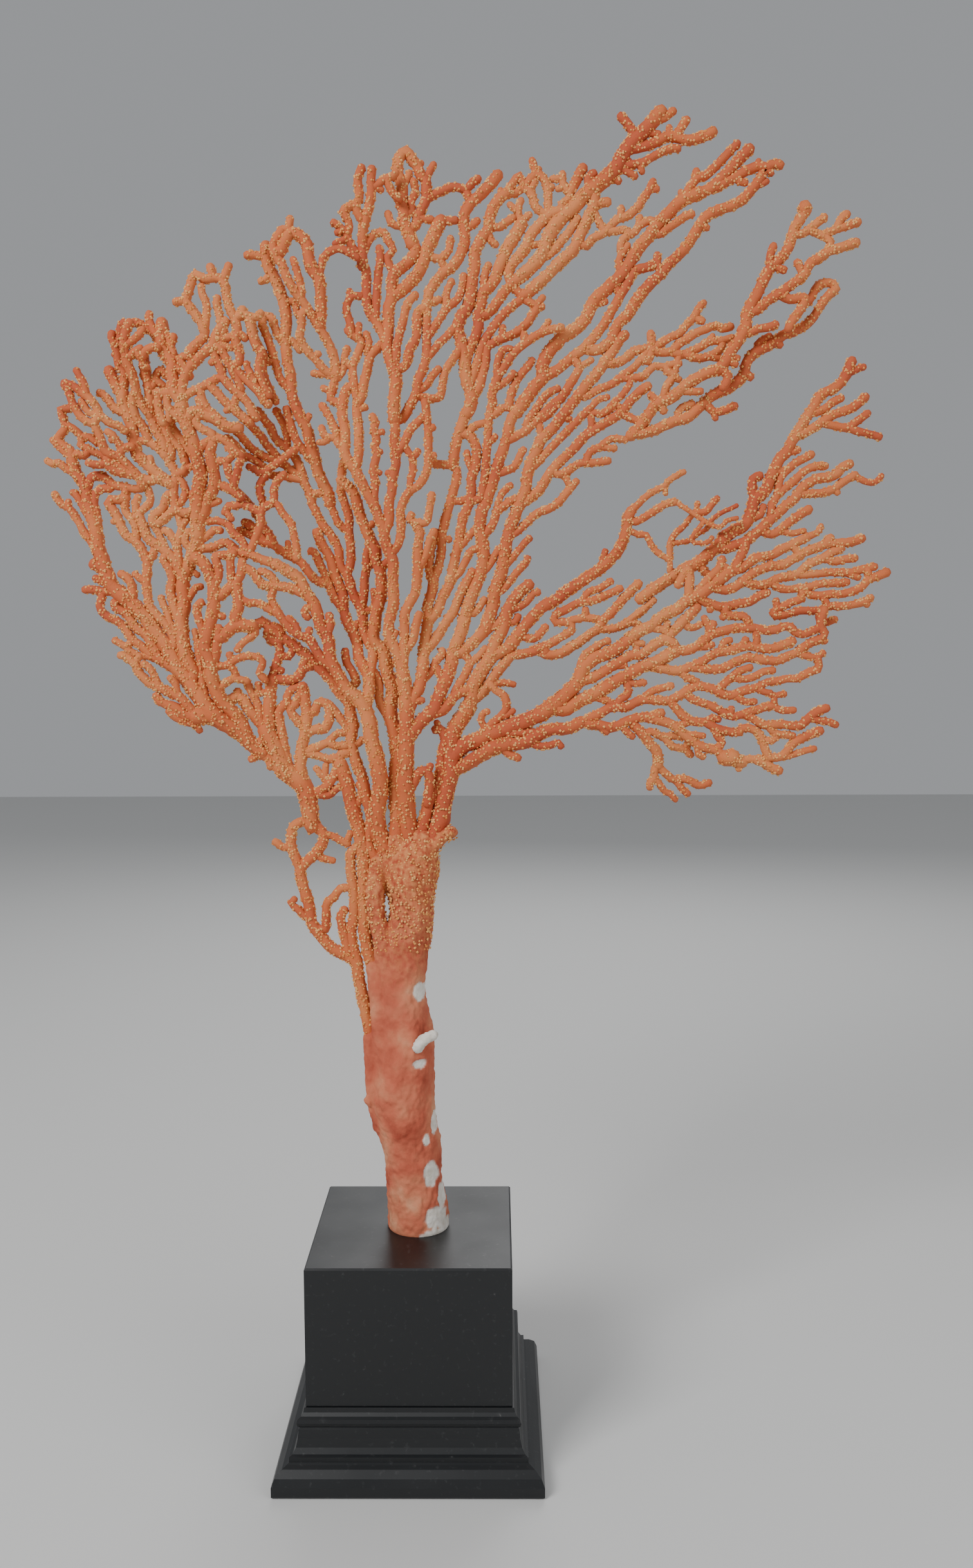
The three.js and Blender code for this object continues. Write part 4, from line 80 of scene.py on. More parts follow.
# ---- The branches ----
# Each limb is a name, the limb it grows from, and its depth. Each line after it is one branch: the radius at
# its start and end, ":" for a branch or "~" for a link that grows back into the limb, and X,Z pairs. In mm.
FAN = """
@left_limb trunk 0
3 2.6 : -20,196 -22,205 -23,211 -24.5,218 -26,226 -27,232 -31.5,236 -36,238 -40,241 -44,246 -48,252
  -49,260 -51,267 -53,275 -52,279.5 -46,285 -43,289 -41.5,294 -44.5,298 -48,300
2.4 2.4 ~ -53,277 -55,283 -57,288.5 -57,294.5 -56,298.5 -51.5,301
4 4.8 : -47,298 -48,306 -49,313 -51,318 -55,322 -59,325
4.8 4.2 : -58,323 -60,326 -62,332 -64,337 -66.5,341.5 -68.5,345.5
2 1.8 : -57,289 -61,288.5 -65,291.5
1.9 1.7 : -46,284.5 -41.5,283 -37,282
1.9 1.9 : -41.5,295 -37.5,294 -34,292 -30,290
1.7 1.6 : -31,291 -28.5,295.5
1.9 1.8 : -49.5,253.5 -54.5,258.5 -58,261.5 -56,263.5
2.4 2 ~ -46,249 -41.5,249 -41,256 -40.5,261.5 -37,264.5 -34,268.5 -29,269
2.4 2.2 : -31.5,236 -31.5,242 -33,248.5 -34,254.5 -32,258.5
2.6 2.4 ~ -62,328 -66,327.5 -66,331 -69.5,332.5 -72.5,336 -69.5,340 -67.5,343.5
1.8 1.8 : -64.5,329 -66.5,326.5
2.6 2.4 ~ -26,232 -28.5,241 -29,248.5 -28,253 -27.5,260 -27.5,267 -28.5,273 -29,279 -28.5,286 -24.5,289
@middle_left_limb trunk 0
3.2 3.4 : -18,230 -21,238 -22.5,248 -22.5,256 -23,264 -22.5,273 -23,286 -24,292 -25,298 -27,305 -29,313
  -30,318.5 -31.5,323 -33.5,329
2 1.8 : -27,306 -25.5,309 -23,314 -24.5,319
2.4 2.2 ~ -33,328 -33,333 -29,333.5
2.2 2.4 : -34,329 -35.5,324 -39,318.5 -43.5,315 -48,313
1.8 1.7 : -40,319 -40.5,324 -40,328
1.7 1.6 : -41,321 -45,326.5
2 1.8 : -45.5,313.5 -39,313.5 -35,316.5 -31,318.5
@yellow_limb trunk 0
2.8 2.5 : -16,282 -20,289 -19.5,296 -19,304 -21,312 -22,318 -23.5,323.5 -25.5,328.5 -27,334 -28,340
  -27,346 -28,351.5 -29,357 -33,361.5 -35.5,365.5 -39,370 -43,374 -47,378.5 -51.5,382 -56,385.5 -60,388
1.8 1.7 : -24.5,338 -22.5,340
2.2 2 : -29,358 -28.5,364 -25.5,367 -27,371.5 -30,376.5 -30.5,382
2.6 2.4 : -60,388 -64,391 -69,395.5 -72,393.5 -75.5,393.5
2.2 2 : -59,387 -64,386 -67,390 -64,393.5 -60,391 -62,386
@left_centre_limb trunk -7
4.2 3.4 : -12,286 -15.5,297 -15.5,307 -14,316 -14,321 -15,329 -16.5,336 -18,341 -18.5,347 -20,353
  -22,357 -24.5,360 -28.5,362.5
3 2.6 : -28,361.5 -30,365 -32,369 -35,374 -37,378.5 -37,384 -38.5,389 -41,393 -42.5,399 -44,404 -47,408
  -50.5,415 -56.5,419 -62,422
2.2 2 : -38.5,389 -36.5,393.5 -37,398.5
2.3 2 : -35,373.5 -40.5,378 -44,383.5 -47,388 -50.5,388.5 -55,392 -60,398.5 -61.5,401.5
1.7 1.6 : -47,388 -46,392
1.8 1.7 : -51.5,389 -52.5,393.5 -56,397
2 1.8 : -44,403 -48.5,400 -46.5,397
2.4 2 : -49,408 -53.5,410.5 -60.5,411.5 -66.5,412 -69,414 -72,418.5 -76.5,420.5
1.9 1.8 : -60.5,412 -64,417 -68.5,418.5
1.9 1.8 : -62,411.5 -63.5,406.5 -61.5,401.5
2 1.8 ~ -60,398.5 -64,400.5 -68.5,403.5 -74,404 -77.5,406
@tall_left_limb trunk 0
3.8 3.2 : -7,292 -6.5,301 -7,311 -7,318 -6.5,325 -6,332 -6.5,339 -7.5,344 -9,350 -9.5,356 -8,361
  -8.5,366 -10.5,370 -11.5,375 -12,380 -13.5,384
2.9 2.5 : -13,382 -17,387 -16.5,393 -15.5,400 -13.5,406.5 -13,413 -13.5,419 -15.5,423.5 -15.5,428.5
  -18,434 -20,438.5 -22,443.5 -23.5,449 -25.5,455 -28.5,458.5 -31.5,461
2.3 2 : -10,350 -13.5,355.5 -15,360 -14.5,364 -15.5,369 -17.5,372.5
1.8 1.7 : -10.5,372 -7.5,377
1.7 1.6 : -8,315 -11.5,317 -10,321
1.9 1.9 ~ -13.5,420 -10,423.5 -8,426.5
1.8 1.7 : -19.5,438.5 -16.5,441
@centre_limb trunk -7
4.6 3.2 : 0,290 -1.5,300 -2,320 -1.5,340 -1.5,360 -3,372
2.7 2.5 : -2.5,370 -6,382 -9,387 -9.5,393 -8,399 -7,404 -7,411 -7,418 -7,423.5 -8.5,427 -10.5,432
  -11,438 -13.5,443.5 -15.5,449 -18.5,454 -21.5,460 -23.5,464
2.5 2.2 : -2.5,371 -2.5,380 -2,390 -2,398 -0.5,402 3,408 4,414 4.5,420 4.5,426.5 5,432 6,436.5
1.8 1.7 : -8.5,386 -6,390.5
2.2 2 : -2,381 2,387 3.5,394 5,399
1.8 1.7 : 0,358 6.5,358.5
2 1.8 : 3.5,440.5 0.5,442 2,444.5
1.9 1.8 : 5.5,420.5 8.5,426.5 10,432 12.5,437
1.9 1.8 ~ 6,436 3.5,440.5 8.5,440.5 10,445.5 11,450.5 11.5,453.5
2.4 2.2 : -10.5,436 -8.5,442 -8.5,448.5 -7,455 -6.5,460.5 -5,466.5 -5,471.5 -5.5,477 -5,483 -5.5,490
1.7 1.6 : -6.5,462 -9,463
2 1.9 : -5,471 -1,476.5 1.5,481.5 4.5,485 8,488
1.8 1.6 : -1,475 3,470 5.5,473
1.7 1.6 : 3,471 3,464 1.5,459 1.5,455
2.1 1.9 ~ -8,426 -4.5,430.5 -3,436.5 -3,441.5 -3,446.5 -1,451.5 1.5,455 5,457 8.5,462 10,468 10,473.5
  10,480.5 9.5,488 8.5,495
1.8 1.8 : 10,482 12.5,483.5
1.7 1.6 : 10,470 13,471
2 1.9 : -15.5,449 -14.5,459 -15.5,463.5 -14.5,468 -13.5,471.5 -14.5,475 -13.5,478 -15,482 -14,485
  -15.5,488.5
1.5 1.4 : -15,464 -12,463
1.5 1.4 : -14,472 -11.5,472.5
1.5 1.4 : -13.5,480.5 -10.5,481.5
2.4 2.2 ~ 1,318 4,324 7.5,325.5 9.5,322 9,316 8,309
1.7 1.6 : 8.5,324 10,328
@right_limb_low trunk 0
4.4 3.8 : 9,290 12,296 14.5,302 15.5,310 17,316 18.5,322 19.5,330 19.5,335.5 20,341.5 22,346.5 25.5,351
  28,356
3.7 2.7 : 26,352 29,359 30,365 33.5,371.5 36.5,376 39,381 40.5,385.5 43,390 45,394 46,400 50,406.5
  55,411.5 57,413
3.1 2.5 : 36,375 40,379.5 46,382.5 50,387 53,391.5 57,396 60,399.5 63.5,402.5 69.5,405.5 73.5,409 80,413
  85,416.5 90.5,420 94.5,424 98.5,428.5 101.5,436.5 102,442 104,446.5
2.5 2.3 : 29,357 34,361.5 37.5,366 41,371 45,375.5 48,379 53,380 59.5,381.5 62.5,383
2.9 2.9 : 60,381.5 62.5,383 64,380.5
2.1 2 : 62.5,383 66,384.5 70,387 74.5,389.5 76.5,391 76.5,393.5 73,395 69.5,394.5 68,396.5 70,399.5
2.4 2.2 : 62.5,380 68.5,379.5 73,381 77,383.5 81.5,386.5 85.5,389.5 89.5,392 91,395.5 94.5,398.5
  99,403.5 103,408 108,413
2 1.8 : 89.5,391.5 95,391.5 100,393 104.5,394.5 108.5,393.5
2 1.8 : 101,393.5 105.5,397 109.5,400 115,405
1.9 1.9 ~ 75.5,395.5 80,396.5 83,397 89.5,396
1.8 1.7 : 46.5,395 49.5,395 51.5,398
2 1.9 : 53,388.5 58.5,387 62,390 64.5,393
1.8 1.6 : 40.5,366 45,366.5 49.5,365.5
2.2 2.3 : 46,400 44.5,397 41,393.5 37,392
1.9 1.8 : 49,401 55,404 58.5,408.5 61,409
2.1 1.9 : 70,399.5 73.5,400.5 80,404 87,405 94,408 99.5,410.5
1.8 1.7 : 82,405.5 84.5,409 89.5,410.5 92,412 95,414
1.7 1.6 : 90,419.5 92,428
1.8 1.8 : 83,397 83,401
1.6 1.4 : 103,437 108,435 111,435 113,431 116,427 119,425 122,423 122,418
1.6 1.3 : 122,424 122,431 124,435 128,438.5 130.5,442 133.5,445.5 134.5,449.5
1.8 1.7 : 133,445 138,445 140.5,448 143.5,451.5
1.2 1.1 : 122,431 130.5,432 134.5,435 139.5,438 141,441.5 145,444.5 149.5,446.5 152.5,448
@centre_low_twigs trunk 0
3.4 2.6 : 5,296 7,303 9,310 12,316 14,322
2.4 2.3 : 13.5,321 14.5,329 15.5,335 16.5,340 14,345 11.5,344
1.7 1.6 : 13.5,344.5 12.5,348
@left_yellow_crown left_centre_limb 0
2.2 2 : -62,422 -68,424 -73.5,426.5 -78.5,427 -82,429.5
1.9 1.8 : -68,440 -68,445 -66.5,448 -62,450.5 -62,456.5 -60,460.5 -57,463.5
1.8 1.9 : -60,449 -58,445.5 -54,440.5 -53,436.5 -51.5,429 -51.5,424
1.9 2 : -75,428.5 -77,433 -80.5,435.5 -83,440
1.8 1.9 : -76.5,449.5 -80,448.5 -83,449 -85,445.5
1.7 1.6 : -84,446 -81.5,442.5
@right_pink_twigs right_limb_low -7
1.9 1.8 : 102,442 106,441 110,443 115,446 120,449 124,449.5
1.8 1.4 : 103,445 107,449 112,453.5 119,457 121,459.5 127.5,463
1.3 1.2 : 119,457 119.5,453
1.4 1.7 : 103,445 102,438 101,433 98,428
1.2 1.1 : 140,438.5 144.5,438 147,440.5 151.5,441.5
1.2 1.1 : 131,432 135,430.5 138,430.5 140.5,433
@upper_mid_left centre_limb 0
2.5 2.4 : -23.5,464 -27,468.5 -28.5,473 -28,478.5 -28.5,484 -29.5,490 -29,497 -27,502 -24,502
2.2 2.1 : -23,464 -22,471 -22,478 -22,484 -23,493 -20.5,498 -19.5,504 -18,510.5 -16.5,516.5 -13,520
  -10.5,522
1.8 1.7 : -17,516 -18,518.5 -17,523 -18.5,526.5
1.6 1.6 : -22,492 -18.5,493
2 1.9 : -23,497 -23.5,500 -24.5,506.5 -24.5,512 -22,518 -20.5,523 -24.5,525.5 -27,528
1.7 1.6 : -22,524.5 -21.5,530.5
1.9 1.8 ~ -25,526 -25.5,530.5 -27,535.5 -27,539 -24.5,543 -20,543
1.6 1.6 : -25.5,541.5 -25.5,545.5
1.8 1.7 : -24.5,511 -28.5,514 -27,520
2 1.9 : -29.5,493 -31.5,495 -35,497 -33.5,502 -33,505.5 -29.5,509 -28.5,513.5
1.6 1.6 : -34.5,500 -38.5,502
1.6 1.6 : -33,506.5 -37,508 -43,508.5
2 1.8 : -28.5,474 -31.5,476.5 -32,480.5 -34,485.5 -36.5,490.5 -39,494
1.8 1.7 : -32,479 -35,479 -38,480.5 -39,484
1.6 1.5 : -35.5,478.5 -38,477 -40.5,477
@left_lobe_fork left_limb 0
3.4 2.9 : -67,343 -66.5,350 -66.5,354.5 -66,360 -65.5,364.5 -65,369
2.9 2.5 ~ -69,346 -72,350 -74.5,352.5 -76.5,355.5 -78.5,359 -81,360.5 -84,359 -88,357
1.8 1.8 : -81,360.5 -81,363.5
2.1 1.9 : -70.5,350 -71.5,355.5 -73,359.5 -74.5,362 -76,365.5 -77,368
1.9 1.8 : -73,360.5 -71.5,362 -71.5,366.5
1.6 1.6 : -71.5,361 -68.5,362.5
2.2 2 ~ -65,369 -63.5,373.5 -62,378 -61,382 -62,386
1.9 1.8 : -63,373 -60,372.5
2.4 2.2 : -65,368.5 -61,368.5 -57,368 -52,370 -49.5,377 -48,378.5
2 1.9 ~ -61.5,380 -57,379 -55,382.5
2.2 2 ~ -53,370 -50.5,373 -46,374.5
@upper_centre_left centre_limb 0
2.9 2.6 : -5.5,486 -5.5,495.5 -4.5,503 -5,508 -7,513.5 -8.5,519 -8.5,526.5 -8,532 -8,538 -6.5,542
  -6.5,548 -5.5,553 -1.5,556.5 3,560.5 4.5,565 3,568.5 1.5,572
2.7 3.2 : -6.5,543 -3,545 1.5,549 5.5,553.5 8,559 9.5,564 12,569 14.5,574.5 16.5,578
2 1.9 : 16.5,577 19,577.5 23,578
1.9 1.8 : 8.5,560 10.5,561.5 15.5,560.5 19.5,564 20.5,570
1.6 1.6 : 15.5,560.5 18,556
2.3 2.1 : -9,521 -12,528.5 -15,533.5 -17,536.5 -18,542 -18,549 -18,555 -20,557
2 1.9 : -14,532 -13.5,542 -13,549 -12,556.5 -11.5,560.5 -12,565
1.9 1.8 : -5.5,553 -8.5,560.5 -5.5,564 -8,568 -9.5,571.5 -13.5,571.5 -16.5,568 -18.5,564 -20,560
@upper_left_arch upper_mid_left -7
2.2 2.1 : -32,506 -33,515.5 -35.5,522 -39.5,528.5 -41.5,532 -45.5,538 -49.5,543 -53,549 -55,555
  -58,558.5 -58.5,563.5 -54.5,570
1.9 1.8 : -54,569.5 -52,570 -51,575
2.8 2.6 ~ -55.5,560 -53.5,565 -50.5,568.5 -46.5,567 -43.5,563.5 -43,558 -41.5,553 -38.5,548.5 -38,542
  -38,535.5 -38.5,529
1.7 1.6 : -38,549 -37,556.5
1.9 1.8 : -37,556.5 -34.5,560 -29.5,562 -25,560.5 -21,558
1.8 1.7 : -46.5,540 -46.5,543.5 -48,550.5 -50,557
2 1.9 ~ -33,508 -36.5,509 -42,515 -45.5,518.5 -48,523.5 -47,529 -47,533.5 -45,535.5 -41.5,532
1.6 1.5 : -42,516 -39.5,517
@left_middle_limb left_centre_limb 7
2.7 2.4 : -20.5,353 -19,362 -19,368 -21,373 -24,378 -25,384 -27,390 -30,395 -32,403 -32,409 -35,416
  -36.5,421 -38,426 -42,433 -44,438
1.8 1.7 : -27,390 -25.5,395
2.5 2.3 : -19,368 -18,376 -17.5,381.5 -20,386 -22,391 -22.5,396 -23,401 -26.5,407 -28.5,413.5 -30.5,419
2.2 2 : -30,418 -28,423.5 -28,430.5 -28.5,438 -28.5,445 -30.5,451.5 -32,457 -31.5,463 -31,468.5 -28.5,472
2.2 2 : -30.5,418.5 -33,422 -33.5,428.5 -35.5,433.5 -38.5,438 -41.5,442 -43.5,446.5 -45.5,450
1.9 1.8 : -29,438 -33,441 -35,445 -36.5,449 -38,453
2.3 2 : -22,396 -23,402 -22,409 -21.5,416.5 -20.5,421.5 -20.5,426.5 -19,431.5 -19,436
1.7 1.7 ~ -20.5,421 -16.5,423.5
1.8 1.7 : -20.5,401 -17,402 -17.5,410.5
2.2 2 : -31.5,401 -33.5,403 -36.5,408 -38.5,413 -40.5,418 -43,423.5 -45,428 -47,429
2.2 2 : -38.5,413 -40,413.5 -45,415.5 -48,419 -52,424 -57,426.5 -62,430 -65.5,432 -70.5,433.5
  -75.5,436.5 -80.5,438.5
2.2 2 : -45.5,450 -46.5,455 -49,460.5 -50.5,466.5 -54,473 -58,477 -62,480.5 -64,485.5 -66.5,488.5
  -70,493.5
1.8 1.7 : -67,433 -72,438 -75,441.5 -78,442.5
1.7 1.6 : -56.5,427 -57.5,433
1.9 1.8 : -56.5,476 -56.5,483 -58.5,488 -61.5,493.5
2 1.9 : -50,463 -52,464 -58,468.5 -62,473 -66.5,478 -68.5,481.5 -73.5,486.5 -77,490.5 -81,495
1.9 1.9 ~ -46,455 -38,456
2 1.9 : -63.5,430.5 -65.5,435.5 -68.5,440 -71.5,445 -74,449 -77,453 -80.5,456.5
1.8 1.7 : -78.5,443 -75,439.5
2 1.9 : -58.5,468.5 -65.5,471.5 -70.5,474 -75.5,478.5 -80,484 -85,486
2 1.9 : -49.5,461.5 -56.5,463 -61.5,463.5 -65.5,464 -69,468.5 -73.5,471.5 -77,473 -81,478 -85,481
@upper_left_limb left_middle_limb 0
2.8 2.6 : -37,450 -38,456 -39.5,459 -42,464 -43,468.5 -44,473.5 -45.5,479 -46.5,484 -49,488.5 -51.5,495
1.7 1.6 : -47,486 -45,490
2 1.9 : -44,469 -48,474 -51.5,479 -53.5,485 -55.5,493
1.8 1.7 : -67,464.5 -70.5,465.5 -74,467
1.9 1.8 : -65.5,464 -69,459 -68.5,453 -66.5,448
@upper_left_tall upper_left_limb 0
2.4 2.8 : -51.5,495 -53,500.5 -53,508 -54.5,513.5 -55,520.5 -55.5,523.5 -54.5,530.5 -55,537 -56.5,543
  -58.5,548.5 -61.5,554 -63,559 -63,565
2 2 : -63.5,559.5 -67,560.5 -72,560.5
1.8 1.8 : -61.5,552 -64,549.5 -66,549
1.8 1.8 ~ -55,522 -52,523 -48.5,518.5
1.8 1.7 ~ -55.5,540 -50.5,540 -49.5,535 -47,533
2 1.9 ~ -55.5,523 -57,523 -59.5,528 -61.5,533.5 -64,534 -65.5,530.5 -63.5,525 -61.5,519 -60,513
  -58,506.5 -54,501.5
2 1.9 : -61,514 -63,513.5 -65,516.5 -68.5,523 -70,530
1.9 1.8 : -65,516 -65.5,509 -63,502 -60,495.5
@right_main_limb right_limb_low -7
4 4 : 19,330 22.5,334.5 26.5,337.5 30,338.5 33.5,340 37,342 40.5,343 44.5,344.5 48.5,346.5 53.5,348
  58.5,350.5 62,352 65.5,354.5 68.5,356.5
3.6 2.5 : 68,356 72,359.5 75.5,363 78.5,366 80,369 81.5,373 84.5,376 88,378.5 91.5,379.5 95,381 98.5,383
  101.5,385.5 104.5,388 107,390 110,391.5 113.5,393 117,396.5 121.5,399 125,400.5 130,405
3.3 2.9 : 68,355 72,353.5 76,355.5 80,358 83.5,359.5 86.5,361 90,363 94.5,365.5 98,368 101.5,369.5
  105,371.5 108.5,373.5 112,375 116.5,376.5 121.5,379.5 125,381
2 1.9 : 34.5,342 37,345.5 40,348 43.5,351.5 45.5,354.5 45.5,358 44.5,360.5 40.5,363 38,366
1.7 1.6 : 44,350.5 47,352 49,353.5
1.8 1.6 : 35.5,344.5 33.5,349 35,352.5 37,353
2.5 2.4 : 78.5,365 80.5,367 85,368.5 88.5,370 92,372 95.5,374.5 98.5,376 101.5,378 105,379.5 108.5,379.5
  112,382 115.5,384.5 119.5,386.5 122,389 125,392 128.5,395.5 131.5,398.5 134,401.5
1.7 1.6 : 97,374 101.5,374.5
1.7 1.6 : 106.5,380 106.5,383
2.1 2 ~ 113.5,392 118.5,391 121,388.5
1.7 1.6 : 120,390.5 120.5,394.5
2.6 2.4 ~ 120.5,386.5 123,385 124.5,382 123,380
1.8 1.7 : 103,386.5 105,385 109.5,384.5
1.8 1.7 : 130,392 133,392 136,393.5
1.7 1.6 : 103,366.5 107,366 110.5,366.5
2 1.9 : 101.5,367 103,363 101.5,360 98.5,358 97.5,355.5
1.9 1.8 ~ 88,359.5 93,358 96,356
2.3 2.2 : 124,382 128.5,381 133,382.5 137,385.5 140,388 143.5,389.5 147,390.5 151,391.5 156,391.5
  160.5,391.5
1.8 1.7 : 134,382.5 138,383 141.5,384
1.8 1.7 : 140,389 139,393 137,396.5
1.9 1.9 : 140.5,389.5 141.5,394
1.9 1.8 : 157.5,392 157,395.5 155,397 151,397 147,398.5 147.5,401.5
1.6 1.5 : 149,397 146,396.5
2.1 1.9 : 160.5,391.5 164.5,390.5 169.5,390.5 173,392 176.5,392 178.5,389.5 182,388.5 185.5,389.5
  189.5,391.5
1.9 1.8 : 161,390.5 161.5,386 161,383.5
2 1.8 : 80,372 82,379 86.5,382.5 90.5,385 93.5,386
@right_spread_limb right_main_limb 0
3 2.8 : 129.5,404.5 132,405.5 135,407 138.5,409.5 143,413 147,416 150,418
2.3 2.2 : 149.5,418 153.5,418.5 158,421.5 160.5,423.5 164.5,424.5 169.5,425.5 173.5,428 178,430 182,432
  185,433.5
1.8 1.4 : 184.5,434 189.5,435.5 191,438.5
2.2 2.2 ~ 151.5,419.5 153.5,423.5 155.5,427 156.5,430.5
2 2 ~ 178.5,429 181,426 181.5,423.5
2.4 2.2 ~ 130.5,406 130,410.5 130.5,415 129.5,418.5
2.1 2 : 134,408 138,413 141.5,416.5 144.5,419.5 145.5,423.5
1.9 1.9 ~ 146,420 149,417.5
2.3 2.2 : 142.5,410 147,409 151.5,410.5 155,413 158,415.5 162,418 168,420 173.5,420.5 178,423 181.5,425
  185,427 189.5,428.5 193.5,430 200.5,430.5 205.5,431 210,432.5
2.2 2.2 : 193,430 195.5,433
1.8 1.8 : 167.5,419.5 168.5,421.5
2.2 2.1 : 155.5,412.5 160.5,411.5 165.5,411.5 169.5,413.5 173.5,415 178,415.5 181.5,417 184.5,420
  188,422 192,423.5 196.5,426.5 200.5,428 198.5,430.5
1.9 1.9 : 192.5,423 198,422 202,423 207,423.5
1.9 1.9 : 182,416 189.5,416.5 195,417 200.5,417 205.5,417 210.5,418.5 216,419.5
1.7 1.7 : 202,416.5 208.5,414.5
2 1.9 ~ 212,419 213,414.5 210.5,410.5 206.5,408.5 201.5,407 196.5,407 192,406.5 188,406.5 183.5,408.5
  181,410.5
2 2.2 : 213,413.5 217,415 221.5,417
1.9 1.9 : 168,412 173.5,409.5 178,409.5 181.5,410 186.5,410.5 192,412 198,412 203.5,412.5
1.9 1.9 : 182,409 183,405 178.5,403.5 174.5,401.5 171,400 169.5,398.5 171,397 176.5,398 182,399.5
  188,399.5 193,399.5
1.8 1.7 : 171.5,400.5 171,404.5
2 1.9 : 192,399.5 195,401.5 200,401.5 205.5,402 211.5,403.5 214.5,405.5
1.7 1.7 : 194.5,401.5 193.5,404.5 191.5,406
1.7 1.7 : 211,403 213,402
1.9 1.9 : 191,399.5 191,396
1.8 1.8 : 192,393.5 198.5,395.5
1.8 1.7 : 169.5,398.5 172,397.5
2.2 2.1 : 135,405 139.5,403 144.5,401.5 148.5,401.5 153.5,403 158.5,403.5 163,406.5 167,408
1.8 1.8 : 140,402.5 140,399.5
1.9 1.8 : 145.5,401.5 148,397.5 152,397 157,396.5
1.6 1.6 : 147,399 146,396
2.4 2.4 : 130,405 127,402.5 124,400
2 2 : 130,418.5 127,415 125,411
@centre_right_limb centre_limb 0
2.9 2.5 : -1,351 2,360 4.5,364 6,372 6.5,378 7,384 8,392 9,398 8.5,403 10.5,409 11.5,415
2.2 2 : 11,413 9.5,420 10,426.5 11.5,433 12.5,437.5
2.3 2 : 11,414 13.5,420 15,426.5 15.5,431.5 15.5,436 17,441.5 18.5,446.5 20,452 21.5,457 23,462 22,466.5
  18,467.5 13,468 10,468.5
1.7 1.6 : 15.5,434 19.5,433.5
2.4 2.2 : 7,381 11.5,386 15,391.5 18,396.5 20.5,399.5 23.5,407 27,413.5 30,419
2.4 2.2 : 8.5,395 13,400 15.5,406.5 19,413 20.5,420 22,426.5 23.5,432 24.5,438 25.5,443.5 28,449
  29.5,455 29.5,461.5 31.5,466.5 32,472 31.5,477 28.5,481 25,481.5
2.5 2.4 : 21,468 22,474 23,479 25,485 27,490.5 29,495
1.9 1.8 : 28,482 32,485.5 36,486.5
1.7 1.6 : 30,465 28.5,468 27.5,473.5
1.9 1.8 : 19.5,414.5 23.5,418 26.5,423.5 29.5,428.5 33,429
1.9 1.8 : 24,430 28.5,435.5 31.5,438
2.1 2 : 29,452 33.5,452 35,458 36,464 36.5,471.5 37,477 37.5,483.5 38,490.5 40,497
1.7 1.6 : 37,477 41,480.5
1.7 1.7 ~ 20,451.5 24,451 28,452
2 1.8 ~ 40,490 43.5,493 47,493.5 50.5,491.5
2 1.9 : 47,494 48.5,500.5 51.5,507 55.5,511.5 58,515
@upper_right_centre_twigs centre_right_limb -7
2.1 1.9 : 39.5,495 39.5,500.5 42,507 46.5,513.5 50,518 54.5,521.5 60,525 65.5,527 71.5,528
1.8 1.7 : 41,506 42,514 45,519 48.5,519
1.7 1.6 : 41,502 46.5,505.5 49.5,509
1.7 1.7 ~ 53.5,526 54.5,522
1.6 1.5 : 61,526 65.5,531
@upper_centre_limb centre_right_limb 0
3 2.6 : 27,490 28.5,492 30,498 28,504 27,510.5 26.5,517 25,524 23.5,529 25.5,535 28.5,539 30,546.5
  30.5,553 31.5,557 31.5,563 34.5,569.5 38,574.5 38.5,579.5 40.5,584.5 43.5,588.5 48,591.5
2 2 ~ 46.5,590 49.5,595.5 52,598.5 53,596.5 54.5,593.5 56.5,591.5 58.5,588.5 59.5,584.5 63,581.5
  66.5,581.5
1.9 1.8 ~ 46.5,590 50,590.5 54.5,593
1.5 1.5 : 43.5,589 43.5,592
1.9 1.8 : 54.5,593.5 57,597 60,599.5 59,602 58,605.5
2.1 1.9 ~ 60,600 63.5,597 65,593 65.5,588.5 65.5,583.5 66.5,581.5
1.6 1.6 : 65,593 67.5,593.5
1.5 1.5 : 60,600 61.5,601.5
1.8 1.7 : 57,591 59.5,596.5
1.8 1.8 : 38,574 38.5,569.5 41.5,567
1.9 1.8 : 38.5,575.5 43,575 45.5,577 49.5,579.5
2.2 2 : 30,498 33,502 35,508.5 36.5,515 37,520.5 41.5,523.5 46.5,525.5 51.5,528 55.5,531.5 58,535.5
  60,539 54.5,542.5
1.6 1.6 : 60,539 63,539
1.6 1.6 : 43.5,524.5 44.5,530
1.6 1.6 : 60,540 63,543.5
@upper_inner_limb upper_centre_limb 0
2.3 3 : 27,514 30.5,523 33,529 33,535 34.5,540.5 35.5,545.5 40,550 42,555 44.5,561.5 47,566.5 50.5,572
  53.5,577.5
1.8 1.7 : 52.5,577 51.5,583 53,587.5
1.7 1.6 : 51.5,582 47.5,585.5
1.6 1.6 : 53.5,578.5 57,581
1.9 1.8 : 35.5,546 36,553 38,558
2.2 2.6 : 33,535 37,535.5 41.5,540.5 45.5,546.5 48,549 47,555 50,560 54.5,565 56.5,570 59.5,574.5 63,578
  66.5,581.5 69.5,582 71.5,583
1.7 1.6 : 55.5,567 61,567.5
2 2.1 : 48,549 53,543.5 48.5,539 44.5,535.5 39.5,529 35,522 33,515 29,503
2 1.8 : 71.5,583 71.5,585.5 75,588 75.5,590.5 73,593 72,595.5 72,599.5
1.7 1.7 : 72,597 67,597
1.6 1.5 : 72.5,593 69.5,592.5
2.2 2.4 : 75.5,591 78,595.5 80,600 81.5,602
2.8 2.7 ~ 53,543.5 55.5,545 60,549 65.5,554 71.5,560 77,565 79.5,570.5 82,576 84.5,581 86.5,585.5 86.5,590
